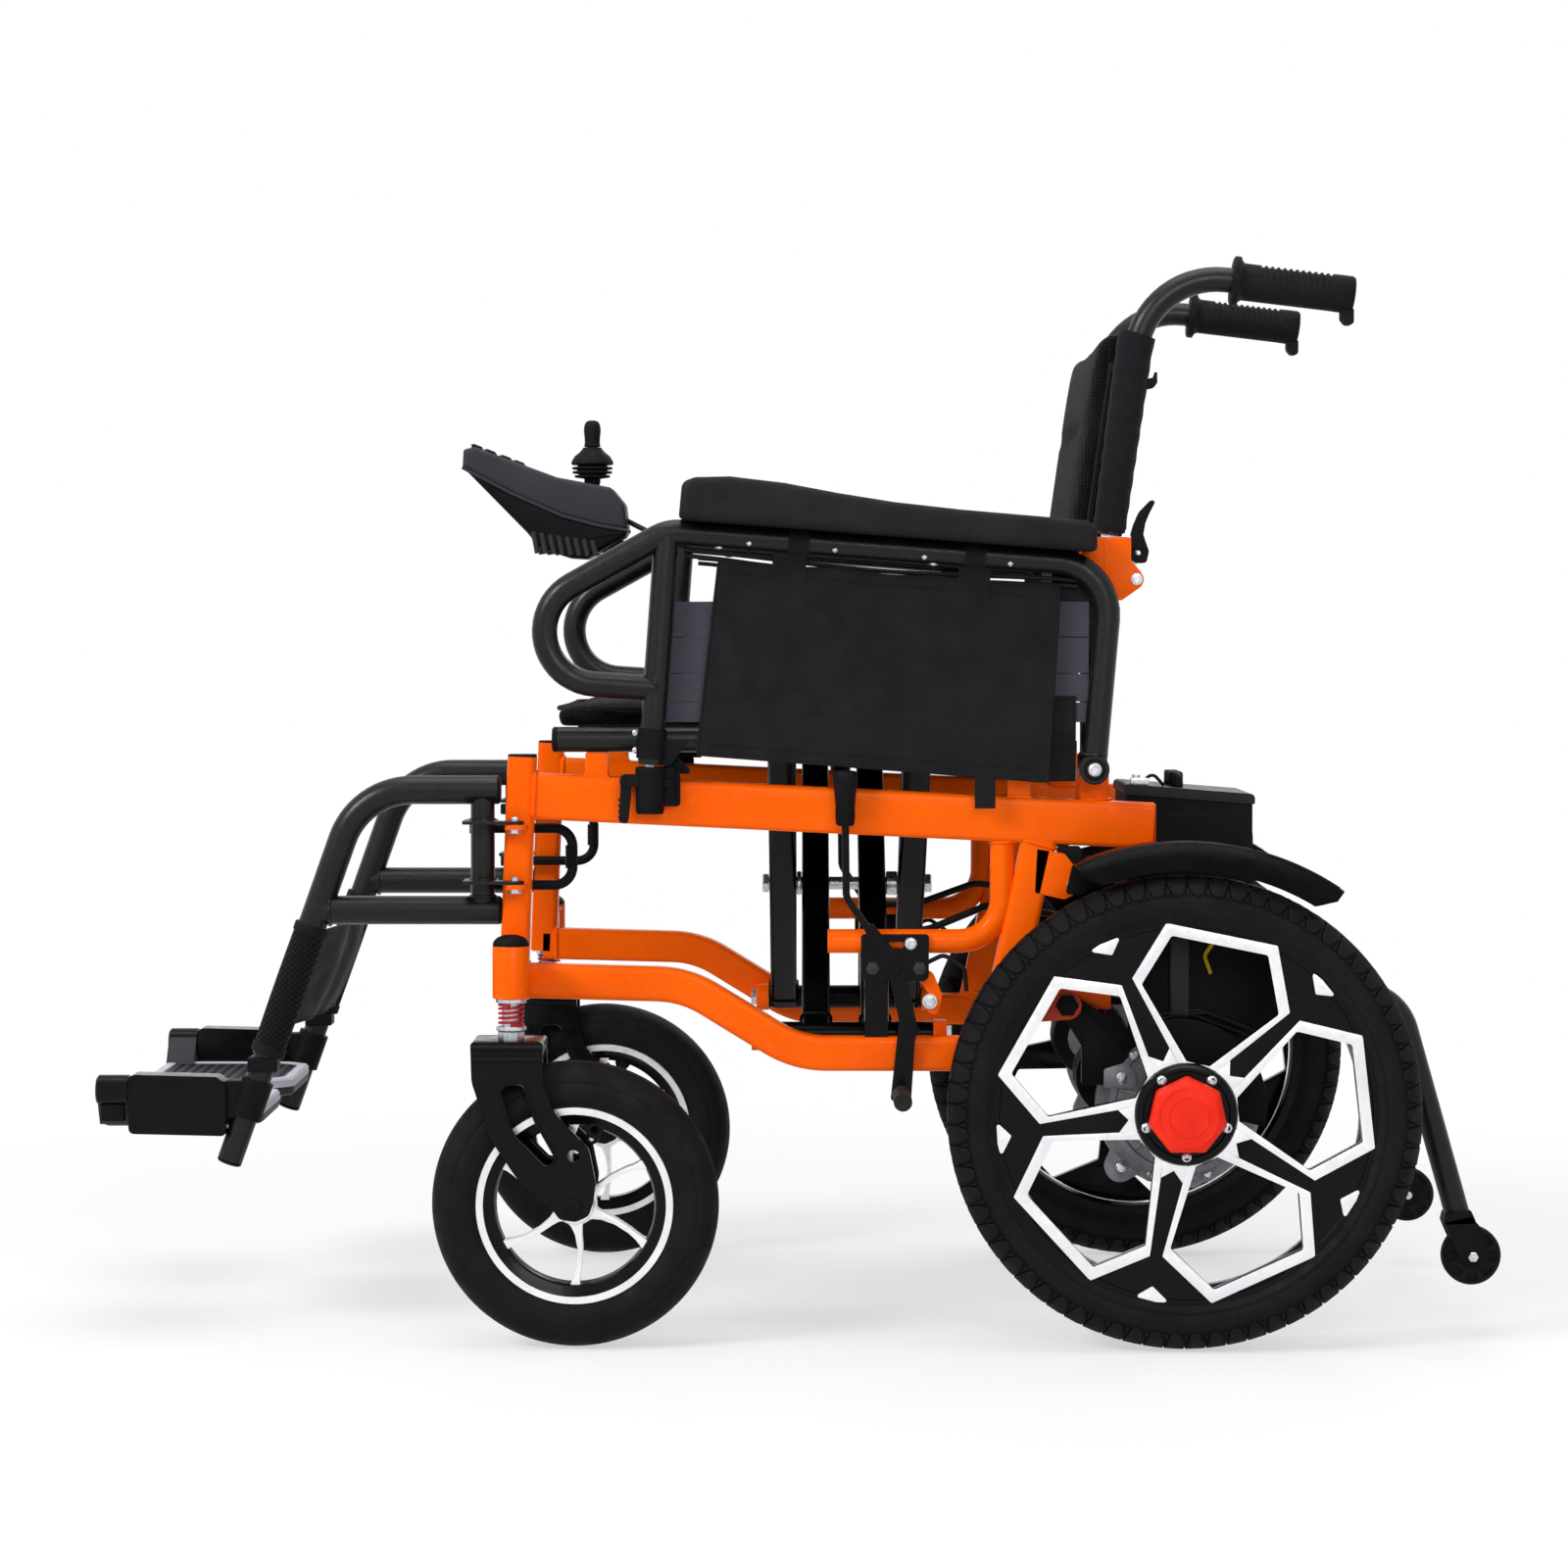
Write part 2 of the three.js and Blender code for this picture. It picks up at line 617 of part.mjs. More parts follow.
function sideFrame() {
  const railMiddle = (y) => railTop(y) - railHeight / 2;
  const oblongRail = oblong(railWidth, railHeight);
  const rail = sweep(oblongRail, sideView(frameHalf, [[railFrontY, railMiddle(railFrontY)], [railRearY, railMiddle(railRearY)]]));
  const post = sweep(oblong(railWidth, railWidth), sideView(frameHalf, [[postFootY, postFootZ], [postY(postHeadZ), postHeadZ]]));
  const lower = sweep(oblong(railWidth, lowerRailHeight), bent(sideView(frameHalf, [
    [postFootY, lowerFrontZ + 4], [dipFrontY, lowerFrontZ], [dipRearY, lowerRearZ], [rearPostFootY, lowerRearZ],
  ]), 90, 16));
  const rearPost = sweep(oblong(railWidth, 30), sideView(frameHalf, [
    [rearPostFootY, lowerRearZ - 8], [rearPostHeadY, railMiddle(rearPostHeadY)],
  ]));
  const hoop = tube(hoopRadius, bent(sideView(frameHalf, [
    [hoopFrontY, hoopZ], [hoopRearY, hoopZ], [hoopRearY, railMiddle(hoopRearY)],
  ]), 38));
  return join(rail, post, lower, rearPost, hoop, headTube(), ...legHingeLugs(), ...saddles(), armSocket(),
    backPost(), ...braceEars(), brakeBracket(), motorLug(), guardTab(), tipReceiver());
}

/** Head tube of the caster, with its dome cap, spring washer and web to the post. */
function headTube() {
  const foot = headTubeFootZ;
  const top = foot + headTubeHeight;
  const bore = stemRadius + runningGap;
  const profile = [
    [bore, foot - washerHeight], [13, foot - washerHeight], [13, foot], [headTubeRadius, foot], [headTubeRadius, top],
    [headTubeRadius - 3, top + 5], [0, top + 8], [0, top - 4], [bore, top - 4], [bore, foot - washerHeight],
  ];
  const web = block([frameOuter - 4, casterHalf - headTubeRadius + 3], [headY - 12, headY + 12], [foot + 3, top - 3]);
  return join(turnedZ(profile, [casterHalf, headY, 0], 12), web);
}

function legHingeLugs() {
  const lug = (z) => block([frameOuter - 3, legHingeHalf + 9], [legHingeY - 9, legHingeY + 11], [z - 4, z]);
  const reach = clevisPlate + 2 * clearance + 3;
  const pin = (z) => rod(at(legHingeHalf, legHingeY, z - 8), at(legHingeHalf, legHingeY, z + reach), 3.5, 8);
  const seats = [upperClevisZ, lowerClevisZ].map((z) => z - clevisPlate / 2 - clearance);
  return seats.flatMap((z) => [lug(z), pin(z)]);
}

/** Blocks on the top rail that the seat rail lies on. */
function saddles() {
  return [[-517, -497], [-150, -130]].map(([from, to]) =>
    block([frameHalf - 9, frameHalf + 9], [from, to], [railTop(to) - 4, seatRailZ - tubeRadius - clearance]));
}

function armSocket() {
  const postBottomY = armPostY(socketTopZ);
  const foot = socketTopZ - socketHeight;
  const shell = rod(at(armHalf, postBottomY, foot), at(armHalf, postBottomY, socketTopZ), socketRadius, 12);
  const bore = rod(at(armHalf, postBottomY, socketTopZ - spigotLength - 4), at(armHalf, postBottomY, socketTopZ + 4), 9, 12);
  const latchBlock = block([frameOuter - 1, frameOuter + 8], [postBottomY + 18, postBottomY + 31], [foot + 6, foot + 22]);
  return join(cut(join(shell, ...latchEars()), bore), latchBlock);
}

/** Lower back tube in its collar, hinge bracket on top and the armrest's pivot bolt. */
function backPost() {
  const collar = block([backHalf - 13, backHalf + 13], [backPostY - 14, backPostY + 14], [railTop(backPostY) - 6, armPivotZ + 12]);
  const post = rod(at(backHalf, backPostY, armPivotZ), at(backHalf, backPostY, bracketFootZ + 6), tubeRadius, 12);
  const half = bracketWidth / 2;
  const front = backPostY - tubeRadius;
  const bracket = plate('x', [
    [front, bracketFootZ], [backPivotY - 13, bracketFootZ], [backPivotY + 4, backPivotZ - 6.5],
    [backPivotY + 7, backPivotZ], [backPivotY + 3, backPivotZ + 7], [backPivotY - 5, backPivotZ + 16],
    [backPivotY - 5, bracketTopZ], [front, bracketTopZ],
  ], [backHalf - half, backHalf + half]);
  const slot = hingeSlot / 2 + clearance;
  const opening = block([backHalf - slot, backHalf + slot], [backPostY + 2, backPivotY + 20], [backPivotZ - 9, bracketTopZ + 5]);
  const pin = rod(at(backHalf - half, backPivotY, backPivotZ), at(backHalf + half + 0.6, backPivotY, backPivotZ), 3.5, 8);
  const armBolt = rod(at(backHalf + 5, armPivotY, armPivotZ), at(armHalf + tubeRadius + 4, armPivotY, armPivotZ), 5, 12);
  const bolt = join(armBolt, rod(at(armHalf + tubeRadius + 1, armPivotY, armPivotZ),
    at(armHalf + tubeRadius + 6, armPivotY, armPivotZ), 8, 12));
  return join(collar, post, cut(bracket, opening), pin, bolt);
}

/** Ears on the lower rail at both ends of a brace's pivot tube, each with its pin hole. */
function braceEars() {
  const end = braceTubeEnds();
  return [[end[0] - 12, end[0] - clearance], [end[1] + clearance, end[1] + 12]].map((span) => cut(
    block([pivotHalf - 13, frameInner + 2], span, [pivotZ - 13, pivotZ + 13]),
    hole(at(pivotHalf, span[0] - 1, pivotZ), at(pivotHalf, span[1] + 1, pivotZ), boltRadius),
  ));
}

function braceTubeEnds() {
  return [outerBarY[0] - barSize / 2 - 2, outerBarY[1] + barSize / 2 + 2];
}

function brakeBracket() {
  const face = frameHalf + hoopRadius + 4;
  const body = block([frameHalf, face], [brakePivotY - 22, brakePivotY + 29], [brakePivotZ - 9, hoopZ + 14]);
  const pin = rod(at(face - 2, brakePivotY, brakePivotZ), at(face + brakePlate + 3, brakePivotY, brakePivotZ), 4, 8);
  return join(body, pin);
}

/** Arm that reaches back from the rear post to the motor's mounting bolt. */
function motorLug() {
  const eye = 13;
  const arm = plate('x', [
    [rearPostHeadY - 30, lugZ + 24], [lugY, lugZ + eye], [lugY + 9, lugZ + 9], [lugY + eye, lugZ],
    [lugY + 9, lugZ - 9], [lugY, lugZ - eye], [rearPostFootY + 14, lugZ - 6],
  ], [frameHalf - 2, frameHalf + 8]);
  const bore = hole(at(frameHalf - 20, lugY, lugZ), at(frameHalf + 20, lugY, lugZ), 6);
  return cut(arm, bore);
}

function guardTab() {
  const [y, z] = guardBolt();
  const tab = plate('x', [
    [rearPostHeadY - 6, z + 30], [y - 8, z + 26], [y + 7, z + 6], [y + 7, z - 6], [y - 8, z - 14], [rearPostHeadY - 8, z - 8],
  ], [frameHalf, frameOuter]);
  const spacer = rod(at(frameOuter - 2, y, z), at(guardInner() - clearance, y, z), 5, 8);
  return join(tab, spacer);
}

const guardInner = () => trackHalf - guardWidth / 2;
const guardBolt = () => {
  const turn = THREE.MathUtils.degToRad(115.5);
  const radius = guardRadius - 19;
  return [radius * Math.cos(turn), axleHeight + radius * Math.sin(turn)];
};

/** Clamp on the motor arm that holds the front end of the anti-tip bar. */
function tipReceiver() {
  const [from, to] = [lugY + 14, lugY + 38];
  const half = 14;
  const clamp = block([tipHalf - half + 1, frameHalf + 4], [from, to], [tipBarZ - half, tipBarZ + half]);
  const strap = plate('x', [
    [lugY + 6, lugZ + 5], [to, lugZ - 4], [to, tipBarZ + half], [from, tipBarZ + half], [lugY - 2, lugZ + 12.5],
  ], [frameHalf - 2, frameHalf + 4]);
  const bore = hole(at(tipHalf, from - 2, tipBarZ), at(tipHalf, to + 2, tipBarZ), tubeRadius, clearance);
  return cut(join(clamp, strap), bore);
}

// ---------------------------------------------------------------- cross brace

/** One pair of crossing bars, with its pivot tube below and a seat rail above. */
function crossBrace(side, barYs, holdsBolt) {
  const [tubeFront, tubeRear] = braceTubeEnds();
  const foot = (y) => at(side * pivotHalf, y, pivotZ);
  const head = (y) => at(-side * frameHalf, y, seatRailZ);
  const bars = barYs.map((y) => sweep(oblong(barSize, barSize), [foot(y), head(y)]));
  const pivot = tube(tubeRadius, [foot(tubeFront), foot(tubeRear)], 12);
  const pin = tube(boltRadius, [foot(tubeFront - 11), foot(tubeRear + 11)], 8);
  const rail = tube(tubeRadius, [head(seatRailFrontY), head(seatRailRearY)], 12);
  const body = join(...bars, pivot, pin, rail);
  return holdsBolt ? join(body, centreBolt()) : cut(body, boltBore());
}

const crossingZ = pivotZ + ((seatRailZ - pivotZ) * pivotHalf) / (pivotHalf + frameHalf);

function centreBolt() {
  const [front, rear] = [outerBarY[0] - barSize / 2 - 5, outerBarY[1] + barSize / 2 + 5];
  const bolt = rod(at(0, front, crossingZ), at(0, rear, crossingZ), boltRadius, 8);
  const spacers = [[outerBarY[0] + barSize / 2, innerBarY[0] - barSize / 2], [innerBarY[1] + barSize / 2, outerBarY[1] - barSize / 2]]
    .map(([from, to], n) => rod(at(0, from + (n ? -1 : clearance), crossingZ), at(0, to + (n ? -clearance : 1), crossingZ), 11, 8));
  return join(bolt, ...spacers);
}

function boltBore() {
  return hole(at(0, outerBarY[0] - barSize, crossingZ), at(0, outerBarY[1] + barSize, crossingZ), boltRadius);
}

// ---------------------------------------------------------------- legrests

function legrest() {
  const topY = postY(legTopZ) - railWidth / 2 - 8;
  const barY = postY(legBarZ) - railWidth / 2 - 3;
  const onLeg = (z) => [legY(z), z];
  const main = tube(legRadius, bent(sideView(frameHalf, [
    [topY, legTopZ], [legBendY, legTopZ], onLeg(sleeveFootZ - 6),
  ]), 65, 18));
  const sleeve = tube(legRadius + 2, sideView(frameHalf, [onLeg(sleeveTopZ), onLeg(sleeveFootZ)]));
  const hanger = tube(hangerRadius, sideView(frameHalf, [onLeg(sleeveFootZ + 6), onLeg(legFootZ)]));
  const lowerBar = tube(legRadius, sideView(frameHalf, [[barY, legBarZ], onLeg(legBarZ)]));
  const upright = rod(at(frameHalf, uprightY, legBarZ), at(frameHalf, uprightY, legTopZ), 10.5);
  const eye = legEyeRadius;
  const eyeEdge = ring(eye, 12, [legHingeHalf, legHingeY]).slice(0, 6);
  const [front, rear] = [uprightY - 16, uprightY + 13];
  const clevis = [
    [frameHalf - 11, front], [legHingeHalf + eye, front], ...eyeEdge, [legHingeHalf - eye, rear], [frameHalf - 11, rear],
  ];
  const plates = [upperClevisZ, lowerClevisZ].map((z) => cut(
    plate('z', clevis, [z - clevisPlate / 2, z + clevisPlate / 2]),
    hole(at(legHingeHalf, legHingeY, z - 9), at(legHingeHalf, legHingeY, z + 9), 3.5),
  ));
  return join(main, sleeve, hanger, lowerBar, upright, ...plates, footHousing(), latchPivot());
}

/** Housing on the hanger that the footplate hinges in. */
function footHousing() {
  const rear = housingRearY;
  const front = footFrontY + barrelLength;
  const z = footHingeZ;
  const body = plate('x', [
    [front, z - 37], [rear, z - 39], [rear, z + 7], [rear - 8, z + 13], [front, z + 15],
  ], [footOuter + 4, frameHalf + 12]);
  const neck = block([frameHalf - 9, frameHalf + 9], [rear - 2, legY(z)], [z - 23, z + 9]);
  const pin = rod(at(footHingeHalf, footFrontY + 6, footHingeZ), at(footHingeHalf, rear - 20, footHingeZ), 4, 8);
  return join(body, neck, pin);
}

/** Upright pin of the release handle, on an arm from the legrest. */
function latchPivot() {
  const pin = rod(at(latchHalf, latchY, lowerClevisZ - 8), at(latchHalf, latchY, upperClevisZ + 4), 3);
  const middle = (upperClevisZ + lowerClevisZ) / 2;
  return join(pin, block([latchHalf - 4, frameHalf - 8], [latchY - 5, latchY + 7], [middle - 4, middle + 4]));
}

/** D-shaped release handle behind the front post. */
function legrestLatch() {
  const [top, foot] = [upperClevisZ - 7, lowerClevisZ - 5];
  const rear = latchY + latchReach;
  const loop = tube(4.4, bent(sideView(latchHalf, [[latchY + 4, top], [rear, top], [rear, foot], [latchY + 4, foot]]), 16, 30), 6);
  const eyes = [top, foot].map((z) => cut(
    rod(at(latchHalf, latchY, z - 5), at(latchHalf, latchY, z + 5), 8.5),
    hole(at(latchHalf, latchY, z - 9), at(latchHalf, latchY, z + 9), 3),
  ));
  return join(loop, ...eyes);
}

function footplate() {
  const corner = 24;
  const outline = [
    [footOuter, footFrontY], [footOuter, footRearY - 20], [footOuter - 20, footRearY], [footInner + corner, footRearY],
    [footInner, footRearY - corner], [footInner, footFrontY + corner], [footInner + corner, footFrontY],
  ];
  const board = plate('z', outline, [footTopZ - footThickness, footTopZ]);
  const barrelRear = footFrontY + barrelLength - clearance;
  const barrel = rod(at(footHingeHalf, footFrontY, footHingeZ), at(footHingeHalf, barrelRear, footHingeZ), 13.5, 12);
  const arm = block([footOuter - 12, footHingeHalf], [footFrontY, barrelRear], [footTopZ - footThickness, footHingeZ]);
  const bore = hole(at(footHingeHalf, footFrontY + 4, footHingeZ), at(footHingeHalf, barrelRear + 5, footHingeZ), 4);
  return cut(join(board, barrel, arm), bore);
}

/** Band between the legrests, sagging rearward. */
function calfStrap() {
  const half = frameHalf - tubeFlat(legRadius + 2) - clearance;
  const sag = 26;
  const thickness = 4;
  const height = 104;
  const steps = 14;
  const foot = sleeveFootZ - 3;
  const surface = (offset) => (u, v) => {
    const x = half * (2 * u - 1);
    const z = foot + height * v;
    const y = legY(z) + sag * (1 - (2 * u - 1) ** 2) + offset;
    return [x, y, z];
  };
  return between(steps, 2, surface(0), surface(thickness));
}

// ---------------------------------------------------------------- armrests

const armPostLean = 0.0738; // foot ahead of the head, for each step down
const armPostY = (z) => armTopFrontY - 9 - armPostLean * (armTopFrontZ - z);

function armrestFrame() {
  const loopY = armTopFrontY - loopReach;
  const loop = tube(tubeRadius, bent(sideView(armHalf, [
    [armPostY(loopFootZ), loopFootZ], [loopY + 31, loopFootZ + 7], [loopY, loopFootZ + 59], [loopY + 35, loopFootZ + 91],
    [armTopFrontY, armTopFrontZ], [armTopRearY + 14, armTop(armTopRearY + 14)], [armPivotY + 8, armPivotZ + 113],
    [armPivotY, armPivotZ],
  ]), 16, 30));
  const lift = 1.6; // the post leans, so its square-cut foot has a low edge
  const post = tube(tubeRadius, sideView(armHalf, [[armPostY(socketTopZ + lift), socketTopZ + lift],
    [armPostY(armTopFrontZ), armTopFrontZ]]));
  const foot = armPostY(socketTopZ);
  const spigot = rod(at(armHalf, foot, socketTopZ - spigotLength), at(armHalf, foot, socketTopZ + 4), spigotRadius, 8);
  const [low, high] = [socketTopZ + 1, socketTopZ + 23];
  const keeper = plate('x', [[foot + 6, high], [foot + 6, low], [foot + 18, low], [foot + 34, high]],
    [armHalf - 4, armHalf + 4]);
  const boss = rod(at(armHalf - tubeRadius, armPivotY, armPivotZ), at(armHalf + tubeRadius, armPivotY, armPivotZ), 13, 12);
  const bore = hole(at(armHalf - 20, armPivotY, armPivotZ), at(armHalf + 20, armPivotY, armPivotZ), 5);
  return cut(join(loop, post, spigot, keeper, boss), bore);
}

/** Moulded pad: raised at the front, thinner toward the rear, edges rounded over. */
function armPad() {
  const bevel = 5;
  const foot = (y) => armTop(y) + tubeFlat(tubeRadius) + 1.5 * clearance;
  const [front, rear] = [armTopFrontY + 2, armTopRearY + 30];
  const thickness = [
    [rear, 20], [rear - 8, 26], [rear - 117, 27], [rear - 174, 29], [rear - 222, 33],
    [rear - 267, 38], [front + 44, 40], [front + 14, 37], [front + 3, 32],
  ];
  const outline = [[front, foot(front)], [rear, foot(rear)], ...thickness.map(([y, t]) => [y, foot(y) + t])];
  const shape = new THREE.Shape(inset(outline, bevel).map(point2));
  const slab = new THREE.ExtrudeGeometry(shape, {
    depth: padWidth - 2 * bevel, bevelEnabled: true, bevelSize: bevel, bevelThickness: bevel, bevelSegments: 2,
  });
  return solid(stand(slab, 'x', padInner + bevel));
}

/** Cloth panel under the armrest, with elastic bands behind it and its hanging straps. */
function sideGuard() {
  const under = (y, drop) => [y, armTop(y) - drop];
  const corners = [
    under(armTopFrontY + 17, guardFoot), under(armTopRearY - 10, guardFoot),
    under(armTopRearY, guardHead), under(armTopFrontY + 36, guardHead),
  ]; // foot front, foot rear, head rear, head front
  const skin = 2.4;
  const middle = armHalf + 1;
  const surface = (offset) => (u, v) => {
    const foot = [0, 1].map((k) => corners[0][k] + (corners[1][k] - corners[0][k]) * u);
    const head = [0, 1].map((k) => corners[3][k] + (corners[2][k] - corners[3][k]) * u);
    const [y, z] = [0, 1].map((k) => foot[k] + (head[k] - foot[k]) * v);
    const fold = 1.6 * Math.sin(9 * u + 4 * v) * Math.sin(Math.PI * v) * Math.sin(Math.PI * u);
    return [middle + fold + offset, y, z];
  };
  const panel = between(7, 4, surface(-skin / 2), surface(skin / 2));
  const bandOuter = armHalf - tubeFlat(tubeRadius) - clearance;
  const [bandLow, bandHigh] = [guardFoot - 38, guardHead + 14];
  const bands = plate('x', [
    under(armTopFrontY - 26, bandLow), under(armPivotY - 10, bandLow),
    under(armPivotY - 22, bandHigh), under(armTopFrontY - 14, bandHigh),
  ], [bandOuter - 2.5, bandOuter]);
  const halfWay = (armTopFrontY + armTopRearY) / 2;
  const tie = block([bandOuter - 1, middle], [halfWay - 15, halfWay + 15], [armTop(halfWay) - 110, armTop(halfWay) - 80]);
  const strap = (from, to) => plate('x', [
    under(from, guardHead + 8), under(to, guardHead + 8), [to, armTop(to) - tubeFlat(tubeRadius) - 2 * clearance],
    [from, armTop(from) - tubeFlat(tubeRadius) - 2 * clearance],
  ], [middle - 1, middle + 1]);
  return join(panel, bands, tie, strap(armTopFrontY + 82, armTopFrontY + 111), strap(armTopRearY - 87, armTopRearY - 60));
}

const latchWidth = 10;
const latchPin = () => [armPostY(socketTopZ) - socketRadius - 6.5, socketTopZ - 12];

/** Ears on the front of the socket, with the pin that the armrest's latch turns on. */
function latchEars() {
  const [y, z] = latchPin();
  const near = latchWidth / 2 + clearance;
  const ears = [[-near - 3.5, -near], [near, near + 3.5]].map(([from, to]) =>
    block([armHalf + from, armHalf + to], [y - 4, y + 12], [z - 5, z + 5]));
  const pin = rod(at(armHalf - near - 1, y, z), at(armHalf + near + 1, y, z), 2, 8);
  return [...ears, pin];
}

function armLatch() {
  const [y, z] = latchPin();
  const lever = plate('x', [
    [y - 4.5, z - 8], [y - 4.5, z + 3], [y, z + 5], [y + 4.5, z + 3], [y + 4.5, z - 14], [y + 2, z - 38], [y - 6, z - 36],
  ], [armHalf - latchWidth / 2, armHalf + latchWidth / 2]);
  return cut(lever, hole(at(armHalf - 9, y, z), at(armHalf + 9, y, z), 2, runningGap, 8));
}

// ---------------------------------------------------------------- back

const backY = (z) => backMiddleY + backLean * (z - backMiddleZ);
const gripRearY = gripFrontY + 15 + gripLength;
const gripZ = (y) => gripFrontZ - gripFall * (y - gripFrontY);

/** Where the lines of the leaning tube and the push handle cross. */
function handleCorner() {
  const z = (gripFrontZ - gripFall * (backY(0) - gripFrontY)) / (1 + gripFall * backLean);
  return [backY(z), z];
}

/** Upper back tube with its push handle and the tongue that turns in the bracket. */
function backTube() {
  const foot = bracketTopZ + 2;
  const points = bent(sideView(backHalf, [
    [backY(foot), foot], handleCorner(), [gripRearY - 12, gripZ(gripRearY - 12)],
  ]), handleBendRadius, 24);
  const [leverY, leverZ] = leverPin();
  const leverBar = rod(at(backHalf - hingeSlot, leverY, leverZ), at(backHalf + hingeSlot, leverY, leverZ), 2, 8);
  const tongue = plate('x', [
    [backPivotY - 6, backPivotZ - 4], [backPivotY, backPivotZ - 7], [backPivotY + 6, backPivotZ - 3],
    [backPivotY + 6, backPivotZ + 4], [backPivotY, backPivotZ + 12], [leverY + 4, leverZ - 3], [leverY + 4, leverZ + 4],
    [leverY - 2, leverZ + 7], [backY(foot) + 8, foot + 14],
    [backY(foot) - 8, foot + 14], [backY(foot) - 8, foot - 14],
  ], [backHalf - hingeSlot / 2, backHalf + hingeSlot / 2]);
  const bore = hole(at(backHalf - 20, backPivotY, backPivotZ), at(backHalf + 20, backPivotY, backPivotZ), 3.5);
  return join(tube(tubeRadius, points), cut(tongue, bore), leverBar);
}

/** Rubber grip with a flange in front and a finger hook at the end. */
function handgrip() {
  const to = gripRearY;
  const [start, end] = [at(backHalf, gripFrontY, gripZ(gripFrontY)), at(backHalf, to, gripZ(to))];
  const along = end.clone().sub(start).normalize();
  const body = rod(start, end, gripRadius, 12);
  const flange = rod(start, start.clone().addScaledVector(along, 6), 20.5, 12);
  const hookTop = gripZ(to) - gripRadius + 4;
  const hook = block([backHalf - 8, backHalf + 8], [to - 13, to - 1], [hookTop - 14, hookTop]);
  const bore = hole(start.clone().addScaledVector(along, -5), end.clone().addScaledVector(along, -11), tubeRadius, clearance);
  return cut(join(body, flange, hook), bore);
}

/** Pin of the back's release lever, behind the hinge bracket. */
const leverPin = () => [backPivotY + 2, backPivotZ + 23];

/** Curved release lever: a fork over the tongue below, a thumb piece above. */
function backLever() {
  const [y, z] = leverPin();
  const half = hingeSlot / 2 + 4;
  const curve = plate('x', [
    [y - 2.5, z - 5], [y + 4, z - 4], [y + 6, z + 4], [y + 8, z + 16], [y + 14, z + 28], [y + 20, z + 42],
    [y + 17, z + 47], [y + 11, z + 41], [y + 4, z + 28], [y, z + 16], [y - 5, z + 5], [y - 5, z],
  ], [backHalf - half, backHalf + half]);
  const inside = hingeSlot / 2 + clearance;
  const fork = block([backHalf - inside, backHalf + inside], [y - 20, y + 20], [z - 20, z + 11]);
  return cut(curve, fork, hole(at(backHalf - 20, y, z), at(backHalf + 20, y, z), 2, runningGap, 8));
}

// ---------------------------------------------------------------- cushions

/** Cushion on a flat seat: crowned on top, sides drawn in, with sewn channels across. */
function cushion(halfWidth, length, thickness, crown, channels, rows) {
  const drawn = 5;
  const outline = (u, v) => {
    const [a, b] = [2 * u - 1, 2 * v - 1];
    return [a * (halfWidth - drawn * (1 - b * b) * Math.abs(a)), (b * (length - 2 * drawn * (1 - a * a) * Math.abs(b))) / 2];
  };
  const top = (u, v) => {
    const [a, b] = [2 * u - 1, 2 * v - 1];
    const rise = crown * (1 - a ** 4) * (1 - b ** 4);
    const groove = channels.reduce((sum, c) => sum + 3 * Math.exp(-Math.pow(((v - c) * length) / 9, 2)), 0);
    return [...outline(u, v), thickness - crown + rise - groove];
  };
  const foot = (u, v) => [...outline(u, v), 0];
  return between(8, rows, foot, top);
}

function seatCushion() {
  const [front, rear] = [seatRailFrontY - 3, seatRailRearY - 5];
  const foot = seatRailZ + tubeRadius + clearance;
  return cushion(seatHalf, rear - front, seatThickness, seatCrown, [0.33, 0.66], 14)
    .translate([0, (front + rear) / 2, foot]);
}

function backCushion() {
  const [foot, head] = [backrestFootZ, backrestHeadZ];
  const degrees = THREE.MathUtils.radToDeg(Math.atan(backLean));
  const length = (head - foot) / Math.cos(Math.atan(backLean));
  return cushion(backrestHalf, length, backrestThickness, backrestCrown, [0.36, 0.68], 14)
    .rotate([90 - degrees, 0, 0])
    .translate([0, backY((foot + head) / 2) - 1, (foot + head) / 2]);
}

// ---------------------------------------------------------------- brake, anti-tip bar and mudguard

/** Brake lever: grip and rod above the pivot, arm and shoe below it. */
function brakeLever() {
  const inner = frameHalf + hoopRadius + 4 + clearance;
  const [y, z] = [brakePivotY, brakePivotZ];
  const arm = plate('x', [
    [y - 28, z + 33], [y - 21, z + 39], [y + 6, z + 6], [y + 18, z - 47],
    [y + 12, z - 117], [y - 3, z - 117], [y + 4, z - 47], [y - 7, z - 4],
  ], [inner, inner + brakePlate]);
  const bore = hole(at(inner - 5, brakePivotY, brakePivotZ), at(inner + 20, brakePivotY, brakePivotZ), 4);
  const rodX = inner + brakePlate + 3;
  const stalk = tube(4.5, bent(sideView(rodX, [[y - 24, z + 33], [y - 43, z + 61], [y - 44, z + 135]]), 14, 30));
  const grip = rod(at(rodX + 2, y - 44, z + 123), at(rodX + 2, y - 44, z + 171), 8, 10, 11);
  const shoe = rod(at(inner + 1, brakePivotY + 5, 214), at(trackHalf + 20, brakePivotY + 5, 214), 8, 8);
  return join(cut(arm, bore), stalk, grip, shoe);
}

